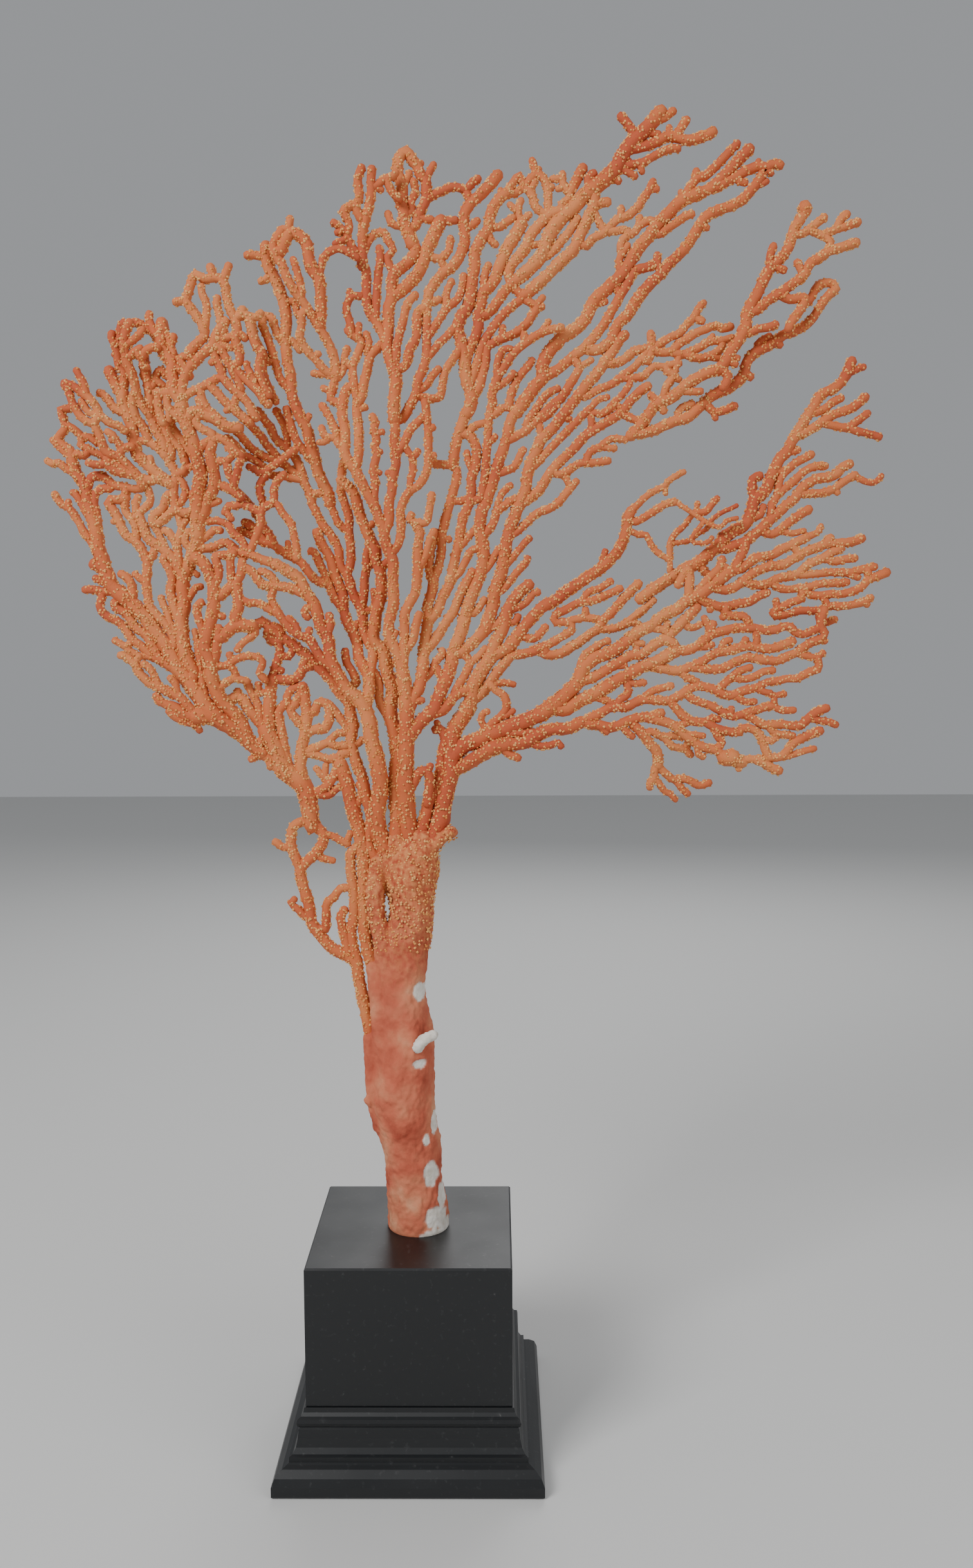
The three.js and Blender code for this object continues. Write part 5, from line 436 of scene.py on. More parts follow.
2.1 1.9 : 79.5,568 83,566.5 85.5,570 90,572 93.5,575 97,578.5 101.5,580 105.5,583 108.5,587 111.5,591.5
  113.5,595.5
2.3 2.2 : 86.5,585.5 93,586.5
1.6 1.6 : 112,591.5 115.5,592
1.7 1.7 : 98.5,579 99,584
1.9 1.8 ~ 86,583.5 88.5,578 91.5,573
@top_right_limb upper_inner_limb 0
2.9 3.6 : 48,549 53.5,553.5 58.5,558 63,563.5 64.5,568.5 67.5,574.5 71.5,579.5 76.5,583.5 80.5,588
  84.5,591.5 88.5,594.5
3.6 3.2 : 88,594 93,598 96.5,601.5 98.5,605.5 101.5,610 104.5,613.5 108,616.5 111.5,620 114.5,623.5
  117,626
2 1.9 : 115,622.5 118,623 122.5,626
2.3 2.2 : 105,616 102,620.5 98.5,624.5
1.8 1.7 : 109,616.5 116,616
2.3 2.5 : 102.5,609.5 108,610.5 112,611.5 116.5,613.5 120,615 123.5,614.5 128,613 133,613.5 138,615
  140.5,616.5
1.7 1.6 : 120.5,615.5 120.5,619
2.1 2 : 123.5,615 126.5,619.5 128.5,622
2 1.9 : 97.5,602 104.5,603 108,603.5 112,605.5 117,608 121.5,609.5 125,609.5
1.7 1.6 : 107,603 108.5,599.5
1.8 1.7 : 97,601 101.5,600 105.5,597.5
1.5 1.5 : 101,603 102.5,605
1.8 1.7 : 92,597.5 95,597 98,595.5
2.2 2.1 : 84.5,593 83.5,597 86.5,599.5
2.1 2 : 62,561 66.5,563.5 71.5,569 75.5,574 79,579.5
@right_centre_limb centre_limb 0
3.4 3 : -1,340 3,346 7,350 11,353.5 13,358.5 15,363.5 17.5,369 19.5,375 20.5,381 22,385 24.5,391 26,397
3 2.8 : 25.5,394 28.5,405 31.5,412 33.5,418 35,424 35,430.5 33.5,436 33.5,442 34.5,447 36.5,450
2.7 2.4 : 36,448 38.5,456.5 40.5,463 42,468 44.5,475 46.5,481.5 48,488 51,492 54,496
2 2 ~ 15,369 13,373 11.5,375 13.5,378 15.5,380 15,382
1.9 1.9 : 12,374 9.5,371 5,366
2.6 2.3 ~ 9,351 15.5,353.5 18.5,357 22,361 25.5,362.5 29,364
2 2 ~ 21,362 25,368.5 27.5,373 28.5,376.5 25.5,379.5 22,380
1.8 1.7 : 28.5,376 32,378.5 36,383
2.6 3 : 20.5,379 26,382 30,385.5 33,388.5 35.5,391.5 37,396
2 1.8 : 42,463.5 46.5,465 50,467 52,471.5 54,474.5
2.1 1.9 : 45.5,478 53.5,482 58,485.5 61.5,488 65.5,490.5 69.5,495
1.9 1.8 : 55,486 58,490.5 61.5,495
1.9 1.8 : 34.5,418 38,422 41.5,428 44,430
2.2 2 : 34,434 39.5,440.5 41.5,446.5 45,449 49.5,452 52,451
1.7 1.6 : 41.5,448 43.5,454 48,458.5
1.8 1.7 : 30,399 32,400.5 35.5,406
2.2 2.1 : 60,486 65.5,493 71.5,498 75,503.5 78.5,509 80,511.5 77,515
1.6 1.5 : 80,512 85.5,515
1.9 1.8 : 60,493 62,496.5 66.5,500.5 70,502
@right_upper_limb right_centre_limb 0
3 2.9 : 50,490.5 55.5,498 59.5,503.5 63,507 62.5,512 64.5,517 68.5,522 72,525.5 77,528.5 82,533 84.5,538
  86.5,542 91.5,546.5 95.5,550 99.5,554 103.5,560 107,565.5 112,571.5 115.5,576 119.5,580 123,583.5
  126.5,586.5 131.5,588.5 135.5,590
1.7 1.6 : 85.5,540 92,541.5
1.9 1.8 : 99,553.5 98,560.5 102,567
1.9 1.8 : 98.5,565 99.5,569.5 103,572 105.5,573 107,576.5 107.5,579.5
1.9 1.8 ~ 107,575.5 112,578 115,576.5
1.9 1.8 ~ 103,572 100.5,574 97,573.5 91.5,573
1.8 1.8 ~ 96,549.5 98.5,544
2.1 1.9 : 127,587.5 130,592 133.5,596.5 137,597 140,599.5 143,602.5 146,605.5 149,608.5 151.5,611
2 1.9 : 116,571.5 120.5,574.5 124.5,577 128,579.5 131.5,580.5
1.9 1.9 : 133.5,595.5 133,599.5
1.6 1.6 : 127,588.5 126,590.5
@right_upper_second right_upper_limb 0
2.4 2.1 : 63,507 65.5,508 71.5,512 76.5,516.5 81.5,520 86.5,525.5 91.5,532 95.5,539 98.5,544 102,550
  105.5,555.5 110,556.5 115,558.5
@right_upper_tips right_upper_limb 0
2.4 2.2 : 134,589.5 140,591.5 143,592.5 148,595 153,597.5 157,599.5 161,600.5 165,600 168,601.5 171,600.5
2.4 2.6 : 138,591 141,593 145,596.5 149,600.5 153,604.5 157,608.5
1.6 1.6 : 160.5,600.5 161,603
1.6 1.6 : 164,599.5 167,597
1.8 1.7 : 151,596 152,594.5 155.5,593.5
@top_right_outer_limb right_upper_second 0
2.5 2.6 : 82,520 88.5,519.5 94.5,524 97,530.5 102,535.5 105,540.5 109,546
2.6 2.4 : 103,537 107,543 110,547 113.5,550.5 117,553.5 120.5,558 124.5,561.5 128,565 130.5,568.5
  133.5,573.5 136.5,578 140,580.5 145,582.5 150,584 155,587 158,590.5 161,594 163,597.5
1.7 1.6 : 135,574.5 138.5,574
1.7 1.6 : 161.5,592.5 165,594
2 1.9 ~ 117,554.5 115.5,558 115.5,562.5
1.9 1.9 ~ 163,597 164,599.5
@top_centre_twigs upper_centre_left 0
3 2.2 ~ 3.5,566 2,569 0.5,574 -1,577 -0.5,581 -2,585.5 -1.5,590 -1.5,593.5 -3.5,598 -3.5,600 -3,605
  0.5,608.5 3,605 5.5,602 7,598 9.5,595.5 9.5,590 9.5,587 7,582 5.5,579.5 5,575.5 1,573
1.8 1.7 : 9.5,595.5 10.5,598.5 13,603
1.5 1.5 : 6,602 7.5,603.5
2 1.9 : 9.5,587 14.5,590 18,591.5 21.5,593 25,592.5 27.5,591.5 30.5,595 33.5,597
1.9 1.9 ~ 27.5,591 29.5,586.5
1.8 1.7 : -1.5,592.5 0,594.5 2,599
1.9 1.8 : -0.5,579.5 3,581.5 2.5,585.5 4.5,590.5 3.5,595.5
1.7 1.7 ~ 3,581.5 5.5,579.5
1.9 1.8 : -0.5,575 -4.5,575 -7,577 -8,580.5
1.8 1.8 : 6,578.5 12,578
@left_lobe_limb left_limb -7
3.4 4.2 : -69,333 -73,336 -75.5,338.5 -79,342.5 -83,345.5 -87,348 -91,350.5 -95.5,351.5 -100,351.5
3 2 : -99,351.5 -104.5,352 -108.5,355.5 -112.5,357 -115.5,358.5 -117.5,361.5
1.9 1.8 : -105.5,353 -110,353.5 -112,354
2 1.8 : -111,354 -108.5,351 -104.5,349 -100,347.5 -98,344.5
2.4 2 : -97,351.5 -100.5,353.5 -103.5,357 -106.5,360.5 -110,362 -114.5,364.5 -118.5,366 -122,368.5
  -125,372 -126.5,375.5 -128.5,377.5 -131.5,379.5 -133.5,380
1.8 1.7 : -126.5,376.5 -124.5,379.5
1.9 1.8 : -115,365 -116.5,367 -118.5,371.5 -120.5,374.5 -123,376
1.8 1.7 : -107,361.5 -108.5,367 -111,369.5
2.2 1.8 : -70,334 -75.5,330.5
@left_lobe_inner left_lobe_limb -7
3.5 2.8 : -77,340.5 -80,349 -84.5,354.5 -88,358.5 -90.5,364.5 -92,370 -92,375 -93,378.5 -94.5,383.5
  -93.5,388.5 -92,394.5 -90.5,399.5 -90,406.5 -90,413 -91.5,416.5 -93,420 -95,423 -98,425
2 1.9 : -94.5,385.5 -95.5,392 -97,396.5 -98,402 -96.5,404 -95.5,404.5
2 1.8 : -88.5,359.5 -88.5,364.5 -85.5,367 -82,369 -78.5,368.5 -75.5,367.5
1.9 1.8 ~ -92,375 -88.5,375 -84.5,375 -81.5,377.5 -77,379 -73,379.5 -69.5,378.5 -68,376.5 -69,373.5
  -70,371.5 -67,368
1.8 1.7 ~ -83.5,375 -81.5,373 -80.5,370.5 -81.5,369
1.6 1.6 : -82.5,377 -83.5,380.5
2.5 2.1 : -92,377 -90,378 -89.5,382 -88.5,388 -88,393
2.8 3 : -88.5,387 -85.5,389 -83,391.5 -80,393.5 -75.5,393.5 -71.5,393
2.8 2.5 : -80,393 -80,399 -78.5,402 -79,408 -79.5,413
1.8 1.7 : -71,390 -75,387 -78,384.5 -80,382
1.7 1.6 : -90,399 -88.5,398.5 -85.5,397.5
2.4 2.1 : -90,406.5 -87,407 -83.5,410 -79.5,413.5 -77,418 -76.5,423.5
2.2 2 : -90,412 -87.5,416.5 -88,421.5 -88.5,425.5 -83.5,426 -80,427
2 1.9 ~ -81.5,412 -81.5,414 -82,420 -82,425.5
@left_lobe_outer left_lobe_limb 0
4.2 3.6 : -90,350.5 -94,354.5 -96.5,358 -98,360.5 -100.5,364 -103,367.5 -106.5,371.5 -109,375.5
  -111.5,379.5 -113,383.5 -116,387 -118.5,390.5 -121,394.5 -123.5,398 -128.5,403 -132,406.5
2.4 2.2 ~ -93.5,354 -95.5,359 -96.5,364.5 -97,371.5 -97.5,377 -98.5,382 -98.5,385 -94.5,385.5
1.8 1.6 : -98.5,384 -99.5,387 -100.5,391.5
2.6 2.2 : -110,374 -113,375.5 -117,378 -119,382 -121.5,387 -123.5,390 -125.5,391 -128.5,393.5 -130.5,397
  -133,400 -137,402 -137.5,405
1.8 1.7 : -123.5,389.5 -124,392
2.1 1.9 : -117,378 -119.5,378.5 -123,381.5 -126.5,385 -129.5,387 -131.5,390 -133.5,393 -136.5,396
  -140,397.5 -143,399.5 -144.5,403 -143.5,406.5 -143.5,409
1.9 1.8 ~ -119.5,378.5 -123,379.5 -126.5,379.5 -129.5,381 -132,383 -130.5,386
1.8 1.7 : -131.5,383.5 -133,384 -135.5,385.5 -138,387
@left_lobe_centre left_lobe_outer 0
3.4 3 : -103,367.5 -100.5,371.5 -102,374.5 -104.5,380 -105.5,385 -106,390 -106.5,395 -106,399 -105,403
  -105.5,408.5 -105.5,414.5 -103.5,419.5 -101.5,425 -100,429.5 -98,434.5
2.3 2.1 : -106.5,393 -108.5,399 -110.5,405.5 -111.5,410.5 -110.5,415 -112,420.5 -114.5,424.5 -113,427
2.2 2 : -105.5,416 -106.5,420.5 -107.5,425.5 -108,430.5 -110,434.5 -111.5,437 -114,438
1.9 1.8 : -108,430.5 -106.5,435.5 -105.5,439.5 -106.5,443 -107,445.5
1.8 1.7 : -106,439.5 -105,440.5 -103,443
2.2 1.9 : -100,428.5 -103.5,431.5 -104.5,434.5 -102,437.5
2.6 2.3 : -105.5,415.5 -107,419.5 -108.5,423 -110.5,425.5 -113.5,428.5 -118,431.5 -121.5,434.5
  -123.5,439.5 -125.5,445
1.9 1.8 ~ -113.5,430.5 -115.5,434.5 -117,438.5 -118.5,440
1.9 1.8 : -103,406 -102,408 -99.5,411.5 -97,412
1.9 1.7 : -106,382 -107.5,386.5 -110,391.5 -112,395.5 -113,400 -114.5,403 -116,407
1.6 1.5 : -100,418.5 -98.5,417
@left_outer_limb left_lobe_outer 0
3.9 2.4 : -131,405.5 -136.5,410 -139.5,413 -140.5,416.5 -142,420.5 -143,425 -144.5,428.5 -145,433
  -145.5,438 -147,443.5 -148.5,449.5 -149.5,455 -150.5,459.5 -153.5,463.5 -155,468 -156,471.5 -156,474.5
1.9 1.7 : -156,471.5 -159.5,474.5 -162,477 -164.5,479.5
2 1.9 ~ -156,471.5 -153.5,473 -150,472 -148,473.5
2.1 1.8 : -155,466 -155.5,464.5 -159.5,467 -162,469 -165,468.5 -167.5,470
2 1.9 : -156,474.5 -159.5,477 -162,480 -160.5,482 -158,484.5 -158.5,488 -159.5,491 -160,493 -155.5,493.5
  -152,494.5
1.8 1.8 ~ -158.5,486.5 -154.5,484.5 -151.5,482 -150.5,479.5 -151.5,477 -148.5,475.5 -144.5,473.5
  -140,471.5 -138,469.5
1.9 1.8 : -150.5,480.5 -146.5,480.5 -143.5,478 -140.5,478
2.1 1.9 : -144.5,439 -145,445 -146,450.5 -145,455 -142,457 -138,457
2.2 2 : -149,456 -148.5,458 -147,462 -142,463 -138.5,460.5 -136.5,458.5 -132,458 -128,457 -123.5,457
2 1.8 : -148.5,444 -150,446.5 -152,450.5 -154.5,454.5 -156,455.5
2 1.8 : -144.5,427 -146.5,430.5 -149.5,435 -152,438.5 -153,441 -155.5,445 -158,448.5 -160.5,449.5
  -163,452 -164.5,455
1.7 1.7 : -158,448.5 -158,451.5
3 3 : -142.5,420 -147,422.5
2.2 1.9 : -140.5,413 -143.5,414.5 -146.5,416
2.2 2 : -138,410 -143,409.5 -146.5,410.5 -151.5,410.5
2.4 2 : -129,406 -129.5,413 -132,416.5 -134.5,418
1.8 1.7 ~ -131.5,403.5 -131,398
@left_lobe_tall left_lobe_centre -7
3.5 2.9 : -98,434 -98,440 -98,445.5 -97,452 -96.5,456.5 -95,461.5 -95.5,466.5 -96.5,471.5 -97,475.5
  -98.5,480 -100,484.5 -101.5,488.5 -102.5,493
1.9 1.7 : -99,448 -99.5,455
1.6 1.6 : -96,466 -100,466
3 2.5 : -98,440 -94.5,446.5 -93,451.5 -90,455.5 -88.5,460 -89,465 -89.5,468.5 -90,472 -88.5,476.5
1.8 1.7 : -92,449.5 -87,451
2.2 2 : -88.5,459 -87,458 -83.5,457 -80,455 -76.5,452
2 1.8 : -80,455.5 -79.5,459 -78.5,461.5 -77,466.5 -75.5,469.5
2 1.8 : -79.5,459 -82,463.5 -83,468 -86.5,468.5
1.8 1.7 : -83,468 -79,471.5 -80.5,473.5 -82,474.5
1.8 1.7 : -89,465 -87.5,467
2.2 2 : -97,474 -94.5,474 -91.5,476.5 -88,478 -85,478.5 -81.5,476.5 -78.5,473 -75.5,470.5
2.1 2 : -88,478 -88.5,480.5 -92,482 -95.5,484.5 -96.5,486 -94,488.5
1.9 1.8 : -97,433 -93.5,435.5 -90,438 -87,437.5
1.8 1.7 : -96,442 -91.5,442 -88,442 -83.5,440.5
2.2 2 : -98.5,429 -95.5,429.5 -90.5,430 -87,432 -83,431.5 -80,428.5 -75.5,425.5
2.8 2.6 : -99.5,487 -96.5,490.5 -93.5,489.5 -89.5,488 -85.5,486.5 -81.5,483.5 -75.5,483
1.8 1.7 : -94,490 -93,493 -94.5,496
@left_inner_crown left_lobe_tall -7
2.4 2.2 : -102.5,493 -101,496.5 -101.5,500.5 -100,505.5 -98,509.5
2 1.9 : -101.5,496.5 -98,498.5 -93.5,500.5 -88.5,503 -84.5,505 -83,505.5
2 1.9 ~ -98,508 -101,511 -102,513.5 -98.5,514.5 -95.5,513
2.4 2.2 : -98,509 -93.5,513.5 -90,516.5 -87,518.5 -86.5,520.5 -85.5,523 -83,527 -80.5,530
2.3 2.2 : -98.5,514.5 -95.5,518.5 -92,521.5 -90,524
2.2 2 : -90,524 -92,529.5 -94.5,533 -97,536.5 -98.5,538.5 -97,542 -95.5,546.5 -93.5,550 -89.5,548
  -85.5,548.5 -83,548.5 -80.5,545.5 -80,540.5 -78.5,535 -76.5,530.5
2 2 : -98.5,538.5 -103,538
2 2 : -85.5,548.5 -87,553.5
2 1.9 : -81,548.5 -78.5,554
1.9 1.8 : -90,525 -89.5,530 -89,535 -89.5,538.5 -91,542 -91,545
1.9 1.8 : -83,527.5 -83.5,533.5 -84.5,537 -84,540
1.9 1.8 ~ -84.5,521.5 -81.5,525.5 -81.5,528
1.8 1.7 : -83.5,521.5 -78.5,523 -74.5,524.5 -72,522
1.7 1.6 : -83,519.5 -78,518
2 2 : -85.5,519.5 -86.5,516.5 -85,512 -83,508 -83,505.5
1.7 1.7 : -85.5,513.5 -88,511.5
2.2 2 : -85,519.5 -82,515.5 -80,511.5 -78.5,509.5
2.2 2.1 : -76.5,530.5 -75.5,526.5 -76.5,521.5 -75,516.5 -75,512 -78,510
2.3 2.1 : -76.5,530.5 -73,533 -70.5,532 -69.5,528 -68.5,523 -67,518.5 -64.5,516.5
2.2 2.2 : -73,533 -73,535
2 1.9 : -69.5,531.5 -66.5,531.5 -64.5,533.5
2.2 2.1 : -83,505.5 -79.5,501.5 -75.5,498 -72,494.5 -70,490.5 -68,487
1.9 1.9 : -78.5,508.5 -75.5,503 -74.5,499.5
2 1.9 : -77,509.5 -73.5,505.5 -69.5,501.5 -66.5,498.5 -64.5,495 -62,493
1.8 1.7 : -68,501.5 -69.5,505.5 -71.5,509.5 -72,511.5
2 1.9 : -65.5,513.5 -66.5,508 -64.5,502 -62,497
2 1.9 : -93,498.5 -91.5,493.5 -88,489.5 -84.5,486
2.1 2 : -88.5,501.5 -85,498 -82,494.5 -78.5,491.5 -74.5,488 -70.5,485
1.7 1.7 : -78.5,492 -77,496.5
1.6 1.6 : -80.5,491.5 -82,490.5
1.9 1.8 : -70,508 -68,501.5 -64,495.5
@left_lobe_net left_lobe_tall 0
2.3 2.1 : -98,445 -100.5,446.5 -103.5,445.5 -107,447 -109.5,446.5 -113,443.5 -115.5,441.5 -118.5,440.5
  -119,443 -118,445 -114.5,447 -113,449.5 -112,453 -110.5,454.5
2.1 2 : -108,447.5 -108.5,452 -108.5,456.5 -108,459.5 -107,462 -108,465.5 -110,468.5 -111.5,471.5
  -114.5,474.5 -117,476.5 -120.5,478.5 -125,478.5
1.9 1.8 ~ -107,449 -103.5,453 -103,456.5 -104.5,460 -106.5,462
2.1 2 : -107,463.5 -103.5,464.5 -102,466.5 -103.5,471.5 -104.5,475 -106.5,477 -108.5,480.5 -109.5,485
  -108,488
1.9 2 : -108,484.5 -105.5,480.5 -103,478 -100.5,473.5 -97.5,470
2.2 2 : -109,471 -109.5,476.5 -110.5,480.5 -113,485.5 -114.5,490.5 -113,494
2.8 2.4 : -111.5,471.5 -112,475 -113.5,480 -115.5,483.5 -117,488 -118,491.5 -117.5,495.5 -118,500.5
  -118.5,504.5 -119.5,508 -120,513 -120,516.5
2 1.9 : -117.5,501 -115,505 -114.5,508 -112,510 -109.5,507 -107,506.5
1.9 1.8 : -114.5,505.5 -111.5,503 -109.5,500
@left_lobe_head left_lobe_net 0
2.6 3 : -108.5,458 -112,460.5 -115,463 -119,466.5 -122,469.5 -125,472.5 -126.5,480.5 -127,485.5
  -128.5,490 -130.5,496 -130.5,500.5
2.4 2 : -130.5,500 -129.5,504.5 -129.5,509.5 -131.5,511.5 -132,516.5 -133,521.5 -134.5,524.5 -134,526.5
2.6 2.6 : -131,498 -133.5,503.5 -135.5,508 -136.5,510.5
2.1 1.9 : -130,491 -135,493.5 -138,498 -141.5,500.5
2 1.9 : -132.5,519.5 -130.5,524.5 -130,529.5 -128.5,531 -125,530.5 -122,531 -118.5,528.5 -115.5,526.5
  -113.5,523.5 -111.5,520.5
1.8 1.8 ~ -131,512 -128,513 -126.5,513
1.5 1.5 : -132,516.5 -134,517
1.9 1.8 : -116.5,463 -118.5,467 -119,471
@left_outer_net left_lobe_net -7
2.4 2.2 : -108.5,458.5 -112,460 -115,461.5 -118.5,460.5 -123.5,461.5 -126.5,463 -130.5,463.5 -135,465
  -138,468
2.2 2 : -123,457 -123.5,461 -126.5,464.5 -129.5,468 -132,470.5 -130.5,474.5 -126,475.5
2 1.9 : -129.5,464.5 -133.5,467 -136.5,468.5 -138.5,470
2 1.8 : -138,468 -142,467 -146.5,468
2.2 2 : -132,471 -135,471.5 -138,473 -139.5,476.5 -140.5,480.5 -142.5,485 -140,489.5 -141.5,493
  -144.5,497 -147,498.5 -150.5,501.5 -155.5,503.5
2 1.9 : -142.5,485 -145,486 -148,488 -150.5,491.5 -152,494.5 -153.5,500 -155.5,503
1.9 1.8 : -139.5,489.5 -135,485.5 -131.5,484.5 -128.5,482
1.9 1.8 : -130.5,474.5 -133.5,478.5 -134.5,480.5 -137,482
1.6 1.6 : -134,479 -135.5,478
1.8 1.7 : -145,498 -146.5,503.5 -148.5,507 -149.5,509
1.8 1.7 : -140.5,489.5 -144.5,490 -146.5,493 -148,495.5
@left_lobe_tip left_lobe_tall 0
2.9 2.9 : -102.5,491 -101.5,493 -103,496.5 -105.5,499.5 -105.5,504.5 -106.5,508.5 -105.5,511.5
  -108,514.5 -110,517 -111.5,520.5 -111.5,524.5 -110.5,528.5 -111,531
2.3 2 : -105,499 -109.5,498.5 -114,499
2 1.9 : -112.5,498 -113,493.5 -112,489.5 -110.5,485
1.9 1.8 : -108.5,497.5 -108.5,493 -105.5,489.5 -103,487
1.6 1.5 : -108,491 -108,486.5
2.4 2.2 : -105.5,511 -103,509.5 -100.5,508 -98,506
2 1.8 : -105,512 -105.5,516.5 -107,520.5 -108,523.5 -109,525.5
2 1.9 : -107,520 -105.5,524.5
2.2 1.8 : -113,523.5 -115.5,528.5 -117,533 -116.5,535
@left_lobe_crown left_lobe_net -7
2.2 2.1 : -119.5,478.5 -120,480.5 -122,485.5 -124.5,488.5 -125.5,493 -125,498 -123.5,500.5 -124,504.5
  -125,508.5 -126.5,512 -127,516.5 -127,521.5 -125.5,526.5 -123.5,529.5
1.9 1.8 : -126.5,519.5 -123,521.5 -119.5,524.5 -118,526.5
1.9 1.8 : -126,513.5 -123,516.5 -119.5,518.5
2 2.2 : -123.5,500.5 -123,498 -121.5,494.5 -118.5,490.5 -117.5,489
2 1.9 : -119.5,513.5 -118,517 -114.5,518.5 -111.5,518.5
1.6 1.6 : -119.5,510 -117,510.5
@right_inner_limb right_centre_limb 0
3.1 2.9 : 36,391 37.5,397 39.5,403 40.5,410.5 43,417 44.5,423.5 45.5,430.5 47,437 49.5,443.5 51.5,449
2.8 2.4 : 51,447 54.5,455.5 55.5,462 57,468 60,474 62,479 66.5,483 70.5,488 75,493.5 79,498.5 83,503.5
  88,509 91.5,514 95,519 98,524 101,526.5
2 1.8 : 58.5,466.5 63.5,472 69.5,478 75,483.5 80,488.5 85,493
2.4 2.2 : 51.5,449.5 58,453 62,457 65.5,463 70.5,468.5 76.5,474 82,480 87,483.5 93,487 98.5,490.5
  103.5,496.5 107,500 111.5,503
1.8 1.7 ~ 85.5,484 85.5,490.5 90.5,490.5 97,494
2 1.8 : 69.5,463 73.5,464 80,468 85,468 93.5,469
1.8 1.7 : 83,469 84.5,473 89.5,475.5 94.5,479 101.5,478.5
1.6 1.5 : 89.5,475 96.5,474.5
1.8 1.8 : 73,463 75,458.5 77,458 78.5,460
2 1.9 ~ 77,458 73.5,454 70.5,450.5 65.5,447 60.5,445.5 55,440.5 50.5,436.5 47,435
1.8 1.7 : 45,421 50.5,427 54.5,432 57,434
1.8 1.7 : 62,481 61,486
1.7 1.6 : 71,489 75.5,488
1.9 1.8 ~ 99,490 102,489 108,487 112,490.5 116.5,494
1.9 1.8 : 42,409 45.5,411.5 50.5,418 54.5,422 56,425
1.9 1.8 : 82,498 88.5,501.5 95,504 100,508 105.5,512 109.5,517 113.5,521
1.6 1.5 : 84.5,493 88,496.5 93,498
1.8 1.7 : 100,506.5 108.5,507 111.5,509.5 114.5,512 118.5,511.5 122,512.5 126,513
1.6 1.6 : 103,504 100.5,500 95.5,495 91.5,490.5
2.2 2 : 111,514 113,520.5 112.5,527
2 1.9 : 120,509.5 123.5,507.5 121.5,505 119.5,501.5 118.5,497 116.5,494.5
@upper_right_twigs right_inner_limb 0
2.2 2 : 91,513 98.5,514 105,519
2 1.8 : 113.5,520.5 117,522 121.5,525 125.5,526.5 128.5,530 132,533.5 134.5,538 137,540.5
1.7 1.8 : 133,533.5 136.5,532
2.1 1.9 : 113.5,519 119.5,518 123.5,519.5 125.5,522 130,524.5 133.5,527 138,528.5 142,530 145.5,528.5
  149.5,529.5
2 1.8 : 121,518 127,517 131.5,518.5 135.5,520.5 140,523 144.5,523 150,524.5
1.6 1.5 : 140,523 141,525.5
2 1.9 : 128,517 133,515.5 137,515.5 141.5,517 145,519.5 145.5,521.5
1.8 1.7 : 139,515.5 144.5,515
1.7 1.6 : 123.5,507.5 126,505.5
@top_left_twigs upper_centre_left -7
2.4 2.1 : -20,556 -19.5,565 -19.5,570 -18.5,575 -17,579.5 -15.5,584.5 -15,588.5 -15,593 -14.5,598
2.1 2 : -19,575 -21.5,579.5 -22,583 -20.5,585 -20.5,588.5 -21,593 -19,598.5
2 1.9 ~ -22,583 -25.5,581.5 -28,579.5 -25.5,575.5 -25.5,572 -26.5,569.5 -23.5,564 -20,560
1.9 1.8 : -26.5,570 -29.5,573 -32.5,575
1.6 1.6 : -28.5,571 -31,570.5
1.8 1.7 : -26,568.5 -32,565.5
1.9 1.8 ~ -15,589.5 -11.5,591.5 -8.5,594 -5.5,594.5 -3.5,596.5
1.5 1.5 : -14,589.5 -10,589
1.8 1.8 ~ -7.5,594 -8,593 -5.5,588 -2,585
@upper_centre_slant upper_centre_left 0
2.1 2.7 : -4.5,509 0,512 2,519 4.5,523.5 5,530 5.5,535.5 9.5,539 10.5,545 13,549 17,554 21.5,557
  24.5,561.5 26.5,566 27,571.5 26.5,577 27,581.5 29.5,585.5 33,588.5 36.5,592 40,595.5 42.5,599
1.9 1.8 : 27,573.5 30,575.5 33,578
2 1.9 : -5,512 -4.5,516.5 -3.5,523.5 -1.5,530.5 0.5,539 4.5,544
2.1 2.3 : 9.5,539 9.5,535 9.5,529 9.5,523 9.5,516.5 8,510.5 5.5,505 4.5,499 1.5,493.5 -1.5,488.5 -5,487
1.9 1.8 : 9.5,514 15.5,522 20,526.5 23.5,530.5
2 1.9 : 9.5,524 15.5,533 18.5,538 23,541.5 25.5,546.5 26.5,553
1.8 1.7 : 18,538.5 18.5,545 21,550.5
1.7 1.7 : 10,539.5 15.5,542
1.8 1.7 : 5,500 8.5,502 12,507 15,510.5
1.9 1.9 ~ 4.5,498 10.5,497 15.5,498 16.5,503.5 18.5,510.5 23,517 25,520.5
1.7 1.6 : 7,497 8.5,495.5 9.5,490
@left_inner_twigs left_limb 0
2.9 2.6 : -50,318 -52,325 -52,331 -51,338 -49.5,343.5 -49,349 -48.5,352 -49.5,357 -50,361.5 -51,365.5
2.4 2.3 ~ -49,343 -44,345 -40.5,345 -38.5,348.5 -38,354 -39.5,357 -43.5,357 -45,353.5 -48.5,351.5
2 2 ~ -38.5,357 -35.5,353.5 -32,348.5 -29,344
2.2 2 ~ -51,334 -47,335 -43.5,336.5 -39,338.5 -35.5,337 -29,337
1.9 1.8 ~ -38,339.5 -34,343 -28,343
2 2 ~ -51,333 -45.5,333 -41.5,331.5 -38,330.5 -33.5,332
2.3 2.2 ~ -50,345 -54,350 -56.5,354 -54,357 -51.5,361.5
2 2 ~ -51,365 -55.5,364 -58,360 -57.5,357 -56.5,355
